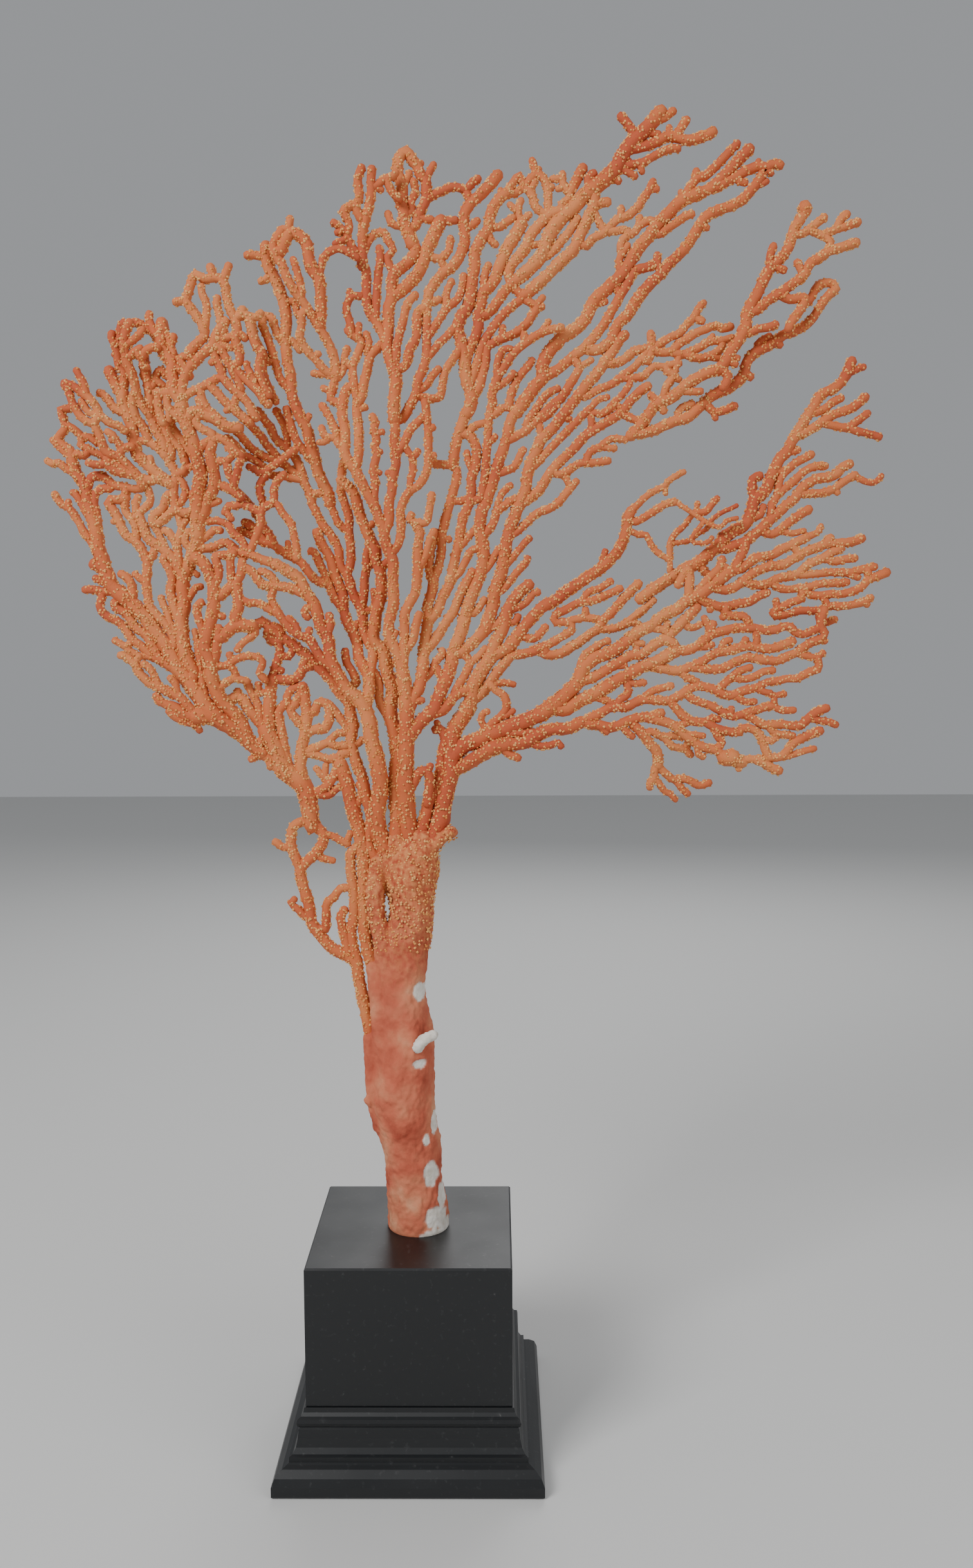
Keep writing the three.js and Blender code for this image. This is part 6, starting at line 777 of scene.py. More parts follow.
2.2 2.4 : -58.5,357 -62,353 -61.5,348.5 -60.5,343 -59,333 -57,325
@right_low_limb centre_low_twigs -7
3.2 3.8 : 15,322.5 19.5,325 24.5,327 28,329 32,331.5 35.5,333.5 39.5,336 43,337 47,338
3.3 3 : 46,337.5 51.5,338 55.5,339 58.5,341 62,343 65.5,344.5 70,345 74.5,345 78,346.5 81.5,348.5
2.4 2.2 : 81,348 85,350 89.5,352 93.5,354.5 98,355 102,355 105.5,357 109.5,358.5 113,358.5 118,358 122,358
2 1.8 : 56,338.5 60.5,337 65.5,337 70,338.5 71.5,336.5
2.2 1.9 : 43.5,336 47,333 51.5,331
2 2 : 58,343.5 54.5,343 50,343 46,342.5
2.6 2.2 : 81,348 85.5,347 90,346.5 94.5,345.5 98.5,346.5 102,348.5 105.5,349.5 109.5,350.5 113.5,350.5
  118.5,352.5
1.8 1.7 : 89,346 93,343
1.8 1.7 : 99.5,346.5 102,343.5 105,341
1.9 1.8 : 109.5,359 113,362 117,363.5 123,365
2.4 2.2 : 109,350.5 114.5,349.5 118.5,348.5 123,347 126,345 129,342 131,340.5 133.5,338.5 137,336.5
  140.5,335.5 144.5,334.5 147,332
1.8 1.8 ~ 124,346 127,346.5 131,348
1.8 1.7 : 129,341.5 133.5,342 138,341.5
1.8 1.7 : 135,337 135.5,333 138,331.5
2.2 2.1 : 122,358 125,354.5 128,351 131,349 134.5,348 138.5,348 142,346 145.5,344.5 150,343.5 154.5,343
  155.5,345 159.5,345 163,343 165,339.5 166.5,335.5 168,331.5
1.8 1.7 : 139,348.5 141.5,350 145,349
2 2 : 142.5,346 144.5,341.5 146.5,338.5 145,336 143,335
2.2 2.2 : 168,331 173.5,331.5 176.5,334 179.5,338 183,340 187,342 192,344
1.7 1.6 : 175,331.5 180.5,333 185,334.5 189.5,335.5
4 4.4 : 148.5,331 152,331.5
3.6 3 : 152.5,330 156.5,329
1.9 1.6 : 154,329 154.5,325.5
2 1.9 : 157.5,330.5 163,330.5 168,330.5
2.2 2.4 : 162,330.5 165.5,329 169.5,326.5 173.5,325
@right_middle_limb right_main_limb -7
2.3 2.2 : 113.5,374 118.5,373 123,372 127,372 130.5,373.5 134.5,375 138,377 141.5,379.5 144.5,380.5
  148.5,381 152,382 155.5,383 160,383 164.5,382 168.5,382 173,383.5 178,385.5
1.6 1.5 : 176.5,384.5 177,383
1.8 1.7 : 145,381 146.5,385 149.5,386
1.8 1.8 : 154.5,383 156.5,386.5
2.2 2.1 : 131.5,373.5 136.5,373 141.5,372.5 146.5,373 150,375 154.5,377 158.5,378 163,377 167,376.5
  171.5,376.5 175.5,378.5 179.5,380 182,382 185.5,384.5 189.5,386 191.5,387 192,389 190,392 190.5,396
  191.5,400
1.7 1.7 : 191,386.5 192.5,385
1.8 1.6 : 181,379.5 184.5,378.5 188.5,378 192,380
1.9 1.9 : 189,378.5 190,374 189.5,372 186.5,371.5 183,369.5 180,368 175.5,368 171.5,367 167,366.5
  163,364.5 158.5,363
2.2 2.2 : 159,363 154.5,362 151.5,360.5 148,360.5 144.5,362 141.5,363.5 137,364.5 134,364.5 130.5,363
  127,360.5 123,358.5
1.9 1.8 : 143.5,362.5 148,366.5 151,369.5 153.5,371.5 159,373.5
1.8 1.8 : 151.5,368.5 157,368 161.5,369.5 165,371.5 169.5,372
1.8 1.7 : 161.5,364 165.5,362 168.5,361.5
1.8 1.7 : 152,360.5 156.5,357.5 161.5,357.5
2 1.9 ~ 127,371.5 130,368.5 134,367 135,364.5
2.1 2 : 129,361.5 133,358.5 137,357 141.5,355.5 145,353.5 148.5,351.5 151.5,350.5 155.5,351.5 159.5,353
  163,354 166.5,355 170,355.5
1.7 1.7 : 150.5,351 150.5,354.5
1.8 1.8 : 170,355 173.5,353.5 179.5,353.5
1.6 1.6 : 170,355 170.5,360 175,361
1.6 1.5 : 170.5,360 168,361
2.1 2.2 : 156.5,352 161.5,349 165,347 168.5,346.5 173,347 177,346.5 181.5,346 184.5,348 187,350.5
  190.5,353 194.5,354.5
1.9 1.8 : 187,349.5 192,348.5 195.5,348 199,346.5
2 1.8 : 167.5,346.5 170.5,343 175,342 179.5,341.5
1.8 1.8 : 170.5,343 171.5,340.5 169.5,339 166.5,339.5
@far_right_limb right_inner_limb -7
2.7 2.6 : 103,480 108,485 111,489 115,494.5 120.5,496 124.5,499 128,502 132,504.5 136,506.5 140,508
  144,508.5
1.8 1.8 : 116,495 112,498.5
2.6 2.6 : 142,507.5 145.5,512 148,516.5 151,520.5 153,524 155,528 155,532 156.5,536.5 159.5,541.5
  161.5,546 163.5,550 166,554.5
2.4 2.4 : 166,554 169.5,557 173,561.5 175,566.5 176,571 178.5,574.5 181,578
3.1 3.1 : 180.5,578 180.5,580.5
2 1.9 : 165.5,554 165.5,559.5 167,563.5
1.9 1.9 : 166,554.5 169,553.5 172,552.5
2 1.9 : 175.5,568 180,568.5 183.5,571 187,573.5 189.5,575.5
1.9 1.9 : 182.5,570 187,568 190.5,566.5 192,564.5 192,561.5
1.9 1.9 : 189,567.5 193.5,569.5 196.5,570.5 200.5,571.5 204.5,573
1.9 1.9 : 195,571 197,574.5 199.5,576.5
2.4 2.2 : 156,533.5 160.5,535.5 165,539.5 169.5,542 173,544.5 176.5,547 180,549.5 182,553 183.5,555.5
  188,558 191.5,560.5 195.5,561.5 200,563 204,564
1.9 1.9 : 180.5,550 178.5,554.5 177.5,556
2.2 2.1 : 170.5,541.5 174.5,539.5 178,540 181.5,540
2.2 2.2 : 182,540 180.5,537 178.5,533.5 175.5,529.5 174,526
1.8 1.8 : 148,514.5 148,519.5
1.6 1.6 : 147,514 151.5,513.5
1.6 1.6 : 147,512 150.5,510.5
1.8 1.8 : 127,499.5 130.5,499 135,499
1.8 1.7 : 117,494.5 118.5,490.5
2 1.9 : 156,524.5 160,526.5 164.5,527 168.5,528.5
2 2 : 154.5,525.5 152,526.5
2.1 2.1 ~ 144.5,508 147,505 146,502.5 144.5,500
@far_right_loop far_right_limb 0
2.5 2.5 : 104,481 112,482 119.5,485 124.5,487 129,488 133,491 137,495 140.5,498 144.5,500 148.5,501.5
  153,505 155.5,508.5 156,512 158,515.5 161.5,518.5 165.5,520 170,523 174.5,526 178.5,527
2.2 2 : 178,527 183,529.5 187,533.5 190,538.5 193.5,543 197,545.5 195.5,548 192,548.5 188.5,547
  186.5,543.5 184.5,540 181.5,538.5
2 2 : 156.5,508 158.5,506
1.9 1.8 : 162,518.5 161.5,521.5 164.5,523.5 167,525
1.8 1.8 : 170,522 172,520.5
1.9 1.8 : 125,487.5 125.5,491.5 128.5,493.5 132,494.5
2 1.8 : 138,495 140.5,491.5 143.5,490.5 147,491.5 151.5,493.5
1.7 1.6 : 141,491 142.5,487.5
@right_drooping_twigs right_low_limb 0
2.4 2.6 : 105,347 108.5,343.5 111,341 113.5,337 116.5,334 117,330 117,327
2 1.8 : 116.5,328 115.5,325 115.5,321.5 113.5,319 113.5,316.5
1.8 1.4 : 115.5,321 118.5,318 120.5,315 123.5,313.5 126,310.5
2 1.9 : 117.5,327 121.5,323 125,320.5 129.5,321 133.5,319.5 137,317.5 142,319
1.8 1.7 : 125.5,320 129.5,315.5 132,313.5
2 1.8 : 110,342.5 113.5,343.5 117,342 120.5,340 123,337 127,335.5 129.5,335.5 131.5,333.5 133,332
1.8 1.8 ~ 119,341 124.5,341.5 128.5,340.5
1.6 1.5 : 131.5,338 130.5,335
@left_lobe_twigs left_lobe_centre 0
2 2.3 : -109.5,384 -110,388 -113,393.5 -116,397 -119,400 -121,403 -122,408.5 -122.5,414.5 -122,419.5
  -122,423.5 -123.5,427 -125,430.5 -128,433.5 -131.5,435.5 -133.5,439.5 -135,443 -137,447 -139.5,450
  -138,452 -134.5,452 -130.5,453
1.7 1.7 : -135,442 -137.5,442
2 1.9 : -126.5,434.5 -127,439.5 -128.5,443 -131.5,446.5 -131.5,450.5 -131,457
2 1.9 : -128.5,443 -125.5,445.5 -122,448.5 -120,450 -119.5,452 -120.5,456.5 -123,459.5
1.9 1.8 : -126.5,446 -126.5,450.5 -125,453.5
1.8 1.7 : -122.5,414 -125.5,415.5 -128,418
2 1.9 ~ -122,424.5 -119.5,425.5 -118.5,429.5
@right_far_limb right_limb_low 0
2.9 3 : 108,405 113,409 119,413 125,416.5 129.5,419.5 134.5,421.5 138,424.5 142,428 145,431 148,435
3 2.6 : 147,433.5 152,437 155.5,438.5 158,442 159.5,446.5 160.5,450.5 164.5,453.5 166.5,457 168,461.5
  170,465.5 172,469.5 175,472 177,476.5 179.5,480.5
2.5 2.4 : 179,479 182,484.5 185,489.5 187.5,493 189.5,497 193,499.5 196,500.5 199.5,503.5 202,507
  203.5,510.5 204.5,513.5
2.2 2.2 : 160.5,450 159.5,455 159.5,460 163,461.5
1.9 1.9 : 158.5,441.5 163,443.5 164.5,447.5
2 2 : 170,463.5 175,463.5 177,465.5 180.5,468 186.5,471
1.9 1.9 ~ 175,463 172,460 171.5,455.5 170.5,451.5 168.5,448 168,442.5
2 1.9 : 171.5,452.5 175.5,456.5 179.5,460 183.5,463.5 188,465.5 193,465.5
1.7 1.6 : 177,472 180.5,473
1.8 1.7 : 204,508 208,510 210,510.5
2 1.9 : 186,489.5 192,491.5 195.5,494.5 200,496.5
2.3 2.1 : 179,479 183.5,481 188,483.5 191.5,486 195.5,488.5 200.5,490.5 205,492 211,497
2 1.9 : 192,485 198,483.5 203,483 206.5,485.5 212,489.5
1.9 1.8 : 203,482.5 206.5,481.5 210.5,480.5 214.5,479.5 217.5,478.5
2 2 ~ 136,421 138.5,417.5 140.5,416.5
@right_fan_limb right_far_limb 0
2.5 2.3 : 143,428.5 148,428.5 152,430 156.5,431.5 160.5,434.5 164.5,438 168,441.5 171.5,444.5 175,448
  178.5,450.5 181.5,455 185,458 189.5,460 194.5,460.5 198,462 200.5,465 204,466.5
2 1.9 : 180.5,453 187,453 192,453.5 196.5,455 200.5,458 204.5,460.5 206.5,461.5
1.6 1.5 : 206,461 208.5,459.5 212,458 215.5,458 218.5,461
1.6 1.5 : 197,455 198.5,453
2 2.2 : 163,436.5 168.5,434.5 172,436.5 176.5,440 180.5,443 185.5,446
1.6 1.5 : 172,436 178,435 182,436 183.5,436
"""

# The trunk's stems, grown together: X, Y, Z and radius in mm at each point.
TRUNK_STEMS = [
    [(2, 0, TRUNK_BOTTOM, 15), (2, 0, 110, 14.6), (0, 0, 126, 13.8), (-1, 0, 140, 13.8), (-3.5, 0, 155, 15),
     (-5, 0, 168, 15.4), (-4, 0, 180, 14.4), (-3, 0, 195, 13.2), (-4, 0, 210, 11.6), (-4.5, 0, 222, 11),
     (-2.5, 0, 236, 10.4), (-0.5, 0, 250, 10.4), (0.5, 0, 264, 10.4), (2, 0, 277, 11.2), (3.5, 0, 286, 10),
     (4.5, 0, 293, 6.5)],
    [(-13, -1, 152, 6.4), (-17, -1, 167, 6), (-18.5, -1, 180, 4.6), (-20, 0, 196, 4)],
    [(-12, -3, 184, 5.4), (-14.5, -3, 204, 5), (-16, -2, 219, 5), (-18, 0, 231, 4)],
    [(-10, -3, 222, 5), (-13.5, -3, 240, 4.2), (-16.6, -2, 256, 4.4), (-17.6, -1, 268, 4.8),
     (-16, 0, 283, 4)],
    [(-5, 3, 262, 6), (-9, 2, 276, 5.6), (-12, 0, 287, 4.6)],
    [(-4, -3, 266, 6.4), (-6, -2, 280, 5.6), (-7, 0, 293, 4.2)],
    [(10, -2, 288, 3.4), (16, -3, 294, 3.2), (20.6, -3, 296.4, 3.4)],
    [(-19, -3, 164, 3.4), (-21.8, -4, 166.5, 2.4)],
]

# Bare chalky patches on the trunk: X, Z, half-width and half-height in mm.
BARE_PATCHES = [
    (9, 131, 3.6, 7), (11, 110, 5.5, 6), (10, 101, 7, 4), (14, 119, 2.4, 6), (10.6, 155, 1.8, 6),
    (4, 220, 3, 5), (7, 148, 1.6, 3), (4, 186, 3.4, 2.4), (15, 104, 3, 5),
]


# ---- Shape helpers ----

def read_limbs(text):
    """The text above as a dictionary of limbs in the order in which they grow."""
    limbs = {}
    current = None
    for line in text.strip().replace("\n  ", " ").split("\n"):
        words = line.split()
        if words[0][0] == "@":
            current = {"parent": words[1], "depth": float(words[2]), "branches": []}
            limbs[words[0][1:]] = current
            continue
        route = [tuple(float(v) for v in pair.split(",")) for pair in words[3:]]
        current["branches"].append((float(words[0]), float(words[1]), words[2] == "~", route))
    return limbs


def smooth(t):
    """0 to 1 with no corner at either end."""
    s = min(1.0, max(0.0, t))
    return s * s * (3 - 2 * s)


def sway(x, z):
    """The gentle front-to-back sway that the whole fan has."""
    return 4 * math.sin(x / 61 + 0.6) + 3 * math.sin(z / 47 + x / 90)


def depth_at(limbs, name, x, z):
    """A limb's depth at a point: its parent's at the fork, its own further out."""
    if name not in limbs:
        return 0.0
    limb = limbs[name]
    root_x, root_z = limb["branches"][0][3][0]
    t = smooth(math.hypot(x - root_x, z - root_z) / DEPTH_BLEND)
    return (1 - t) * depth_at(limbs, limb["parent"], root_x, root_z) + t * limb["depth"]


def place(limbs, name, x, z):
    """The point of a limb at X and Z, with its depth and the fan's sway."""
    y = depth_at(limbs, name, x, z) + sway(x, z) * smooth((z - CROWN_Z) / CROWN_BLEND)
    return np.array([x, y, z])


def nearest(grown, p):
    """The gap to, and the point of, the grown branches nearest to p, seen from the front."""
    best_gap, best_point = 1e9, p
    for route in grown:
        a, b = route[:-1], route[1:]
        d = b - a
        along = (p[0] - a[:, 0]) * d[:, 0] + (p[2] - a[:, 2]) * d[:, 2]
        t = np.clip(along / np.maximum(d[:, 0] ** 2 + d[:, 2] ** 2, 1e-9), 0, 1)
        q = a + d * t[:, None]
        gaps = np.hypot(q[:, 0] - p[0], q[:, 2] - p[2])
        i = int(np.argmin(gaps))
        if gaps[i] < best_gap:
            best_gap, best_point = float(gaps[i]), q[i]
    return best_gap, best_point


def rounded(points, step):
    """A smooth curve through the points, with one point for each step of its length."""
    points = np.asarray(points)
    if len(points) == 2:
        count = max(2, int(np.linalg.norm(points[1] - points[0]) / step) + 1)
        return points[0] + (points[1] - points[0]) * np.linspace(0, 1, count)[:, None]
    padded = np.vstack([2 * points[0] - points[1], points, 2 * points[-1] - points[-2]])
    out = []
    for i in range(1, len(padded) - 2):
        a, b, c, d = padded[i - 1:i + 3]
        count = max(1, int(round(np.linalg.norm(c - b) / step)))
        for t in np.arange(count) / count:
            out.append(0.5 * (2 * b + (c - a) * t + (2 * a - 5 * b + 4 * c - d) * t * t
                              + (3 * b - a - 3 * c + d) * t ** 3))
    out.append(points[-1])
    return np.array(out)


def frames_of(curve):
    """The directions along a curve, across it, and square to both, at each of its points."""
    along = np.gradient(curve, axis=0)
    along /= np.maximum(np.linalg.norm(along, axis=1, keepdims=True), 1e-9)
    across = np.cross(np.array([0.0, 1.0, 0.0]), along)
    across /= np.maximum(np.linalg.norm(across, axis=1, keepdims=True), 1e-9)
    return along, across, np.cross(along, across)


class Skin:
    """Collects the vertices, faces and per-vertex values of one piece."""

    def __init__(self):
        self.points, self.faces, self.polyp, self.count = [], [], [], 0

    def add(self, points, faces, polyp):
        self.points.append(points)
        self.faces.extend([tuple(i + self.count for i in face) for face in faces])
        self.polyp.append(np.full(len(points), polyp))
        self.count += len(points)


def add_tube(skin, curve, radii, sides, rough, rng):
    """A round stem with a lumpy surface, domed at both ends."""
    along, across, up = frames_of(curve)
    root = curve[0] - along[0] * radii[0] * CAP_REACH
    tip = curve[-1] + along[-1] * radii[-1] * CAP_REACH
    curve = np.vstack([root, curve, tip])
    radii = np.concatenate([[radii[0] * ROOT_CAP], radii, [radii[-1] * TIP_CAP]])
    across = np.vstack([across[:1], across, across[-1:]])
    up = np.vstack([up[:1], up, up[-1:]])
    angles = 2 * np.pi * np.arange(sides) / sides
    lumps = 1 + rough * (rng.random((len(curve), sides)) - 0.5)
    ring = across[:, None] * np.cos(angles)[None, :, None] + up[:, None] * np.sin(angles)[None, :, None]
    points = (curve[:, None] + ring * (radii[:, None] * lumps)[..., None]).reshape(-1, 3)
    faces = []
    for k in range(len(curve) - 1):
        for i in range(sides):
            j = (i + 1) % sides
            faces.append((k * sides + i, k * sides + j, (k + 1) * sides + j, (k + 1) * sides + i))
    faces.append(tuple(range(sides - 1, -1, -1)))
    faces.append(tuple((len(curve) - 1) * sides + i for i in range(sides)))
    skin.add(points, faces, 0.0)


# A polyp is a short tapering block: a ring of corners at its foot, one at its top, walls and a lid.
POLYP_ANGLES = [2 * math.pi * i / POLYP_CORNERS for i in range(POLYP_CORNERS)]
POLYP_NEXT = [(i + 1) % POLYP_CORNERS for i in range(POLYP_CORNERS)]
POLYP_WALLS = [(i, j, POLYP_CORNERS + j, POLYP_CORNERS + i) for i, j in enumerate(POLYP_NEXT)]
POLYP_FACES = POLYP_WALLS + [tuple(range(POLYP_CORNERS, 2 * POLYP_CORNERS))]


def add_polyps(skin, curve, radii, rng):
    """Low domes over a stem's surface, where the polyps sat."""
    along, across, up = frames_of(curve)
    steps = np.linalg.norm(np.diff(curve, axis=0), axis=1)
    area = float(np.sum(steps * 2 * np.pi * (radii[:-1] + radii[1:]) / 2))
    for _ in range(int(area / POLYP_SPACING)):
        s = rng.random() * (len(curve) - 1)
        k = int(s)
        f = s - k
        a = rng.random() * 2 * math.pi
        outward = across[k] * math.cos(a) + up[k] * math.sin(a)
        side = np.cross(along[k], outward)
        radius = radii[k] * (1 - f) + radii[min(k + 1, len(radii) - 1)] * f
        middle = curve[k] * (1 - f) + curve[min(k + 1, len(curve) - 1)] * f
        foot = middle + outward * (radius - POLYP_SINK)
        size = POLYP_SIZE * (0.75 + 0.5 * rng.random())
        spokes = [size * (along[k] * math.cos(q) + side * math.sin(q)) for q in POLYP_ANGLES]
        corners = [foot + spoke for spoke in spokes]
        corners += [foot + 0.6 * spoke + outward * size * 0.8 for spoke in spokes]
        skin.add(np.array(corners), POLYP_FACES, 1.0)


def make_piece(name, skin):
    """The Blender object of a skin, smooth shaded, with its polyp values for the material."""
    mesh = bpy.data.meshes.new(name)
    points = np.vstack(skin.points) * MM
    mesh.from_pydata(points.tolist(), [], skin.faces)
    mesh.validate()
    values = mesh.attributes.new("polyp", "FLOAT", "POINT")
    values.data.foreach_set("value", np.concatenate(skin.polyp).astype(np.float32))
    mesh.polygons.foreach_set("use_smooth", [True] * len(mesh.polygons))
    mesh.update()
    piece = bpy.data.objects.new(name, mesh)
    bpy.context.scene.collection.objects.link(piece)
    return piece


# ---- Materials ----

def new_material(name):
    """A node material, with its nodes, links and main shader."""
    material = bpy.data.materials.new(name)
    material.use_nodes = True
    nodes = material.node_tree.nodes
    return material, nodes, material.node_tree.links, nodes["Principled BSDF"]


def ramp_of(nodes, stops):
    """A colour ramp through the stops, each a place from 0 to 1 and a colour."""
    ramp = nodes.new("ShaderNodeValToRGB")
    elements = ramp.color_ramp.elements
    elements[0].position, elements[0].color = stops[0][0], (*stops[0][1], 1)
    elements[1].position, elements[1].color = stops[-1][0], (*stops[-1][1], 1)
    for at, color in stops[1:-1]:
        elements.new(at).color = (*color, 1)
    return ramp


def noise_of(nodes, links, scale, detail):
    """A noise texture fixed to the object's own place in space."""
    where = nodes.new("ShaderNodeNewGeometry")
    texture = nodes.new("ShaderNodeTexNoise")
    texture.inputs["Scale"].default_value = scale
    texture.inputs["Detail"].default_value = detail
    links.new(where.outputs["Position"], texture.inputs["Vector"])
    return texture


def mixed(nodes, links, factor, a, b):
    """The colour between a and b."""
    mix = nodes.new("ShaderNodeMix")
    mix.data_type = "RGBA"
    links.new(factor, mix.inputs["Factor"])
    links.new(a, mix.inputs["A"])
    links.new(b, mix.inputs["B"])
    return mix.outputs["Result"]


def branch_material():
    """Orange skin, redder and paler in stretches, and straw-coloured polyps."""
    material, nodes, links, shader = new_material("sea fan skin")
    broad = noise_of(nodes, links, 22, 3)
    skin = ramp_of(nodes, [(0.36, (0.47, 0.085, 0.032)),
                           (0.5, (0.58, 0.14, 0.045)),
                           (0.64, (0.64, 0.21, 0.07))])
    links.new(broad.outputs["Fac"], skin.inputs["Fac"])
    fine = noise_of(nodes, links, 260, 2)
    straw = ramp_of(nodes, [(0.4, (0.70, 0.26, 0.07)), (0.6, (0.80, 0.42, 0.15))])
    links.new(fine.outputs["Fac"], straw.inputs["Fac"])
    polyp = nodes.new("ShaderNodeAttribute")
    polyp.attribute_name = "polyp"
    links.new(mixed(nodes, links, polyp.outputs["Fac"], skin.outputs["Color"], straw.outputs["Color"]),
              shader.inputs["Base Color"])
    shader.inputs["Roughness"].default_value = 0.78
    shader.inputs["Specular IOR Level"].default_value = 0.3
    grain = noise_of(nodes, links, 900, 2)
    bump = nodes.new("ShaderNodeBump")
    bump.inputs["Strength"].default_value = 0.25
    bump.inputs["Distance"].default_value = 0.0006
    links.new(grain.outputs["Fac"], bump.inputs["Height"])
    links.new(bump.outputs["Normal"], shader.inputs["Normal"])
    return material


def trunk_material():
    """Worn salmon skin, fresher and more orange towards the top, with the bare chalky patches."""
    material, nodes, links, shader = new_material("sea fan trunk skin")
    broad = noise_of(nodes, links, 55, 6)
    skin = ramp_of(nodes, [(0.3, (0.33, 0.055, 0.03)),
                           (0.45, (0.50, 0.12, 0.065)),
                           (0.58, (0.57, 0.19, 0.10)),
                           (0.74, (0.64, 0.33, 0.19))])
    links.new(broad.outputs["Fac"], skin.inputs["Fac"])
    crust = noise_of(nodes, links, 420, 4)
    fresh = ramp_of(nodes, [(0.35, (0.42, 0.07, 0.03)), (0.65, (0.64, 0.24, 0.09))])
    links.new(crust.outputs["Fac"], fresh.inputs["Fac"])
    split = nodes.new("ShaderNodeSeparateXYZ")
    links.new(nodes.new("ShaderNodeNewGeometry").outputs["Position"], split.inputs["Vector"])
    height = nodes.new("ShaderNodeMapRange")
    height.inputs["From Min"].default_value = 0.215
    height.inputs["From Max"].default_value = 0.275
    links.new(split.outputs["Z"], height.inputs["Value"])
    upper = mixed(nodes, links, height.outputs["Result"], skin.outputs["Color"], fresh.outputs["Color"])
    chalk = ramp_of(nodes, [(0.3, (0.62, 0.56, 0.48)), (0.7, (0.80, 0.76, 0.70))])
    fine = noise_of(nodes, links, 300, 3)
    links.new(fine.outputs["Fac"], chalk.inputs["Fac"])
    bare = nodes.new("ShaderNodeAttribute")
    bare.attribute_name = "bare"
    links.new(mixed(nodes, links, bare.outputs["Fac"], upper, chalk.outputs["Color"]),
              shader.inputs["Base Color"])
    shader.inputs["Roughness"].default_value = 0.88
    shader.inputs["Specular IOR Level"].default_value = 0.25
    bump = nodes.new("ShaderNodeBump")
    bump.inputs["Strength"].default_value = 0.6
    bump.inputs["Distance"].default_value = 0.001
    links.new(fine.outputs["Fac"], bump.inputs["Height"])
    links.new(bump.outputs["Normal"], shader.inputs["Normal"])
    return material


def paint_material():
    """Satin black paint over wood, with a little dust and fine scuffs."""
    material, nodes, links, shader = new_material("black plinth paint")
    dust = noise_of(nodes, links, 420, 8)
    color = ramp_of(nodes, [(0.60, (0.006, 0.007, 0.008)),
                            (0.72, (0.02, 0.021, 0.022)),
                            (0.80, (0.12, 0.115, 0.11))])
    links.new(dust.outputs["Fac"], color.inputs["Fac"])
    links.new(color.outputs["Color"], shader.inputs["Base Color"])
    wear = noise_of(nodes, links, 30, 4)
    gloss = nodes.new("ShaderNodeMapRange")
    gloss.inputs["To Min"].default_value = 0.3
    gloss.inputs["To Max"].default_value = 0.5
    links.new(wear.outputs["Fac"], gloss.inputs["Value"])
    links.new(gloss.outputs["Result"], shader.inputs["Roughness"])
    return material


# ---- The fan ----

def build_limb(limbs, name, rng):
    """One limb with all its branches, each rooted on what has already grown."""
    skin = Skin()
    grown = []
    for start, end, link, route in limbs[name]["branches"]:
        points = [place(limbs, name, x, z) for x, z in route]
        if grown:
            gap, root = nearest(grown, points[0])
            if gap > 0.3:
                points.insert(0, root)
            else:
                points[0] = root
            if link:
                gap, root = nearest(grown, points[-1])
                if gap < LINK_REACH:
                    points.append(root)
        kept = [points[0]]
        for p in points[1:]:
            if np.linalg.norm(p - kept[-1]) > LEAST_STEP:
                kept.append(p)
        if len(kept) < 2:
            continue
        curve = rounded(kept, RING_STEP)
        radii = np.linspace(start, end, len(curve)) * (1 + 0.09 * (rng.random(len(curve)) - 0.5))
        add_tube(skin, curve, radii, RING_SIDES, BRANCH_ROUGHNESS, rng)
        add_polyps(skin, curve, radii, rng)
        grown.append(np.array(kept))
    return skin


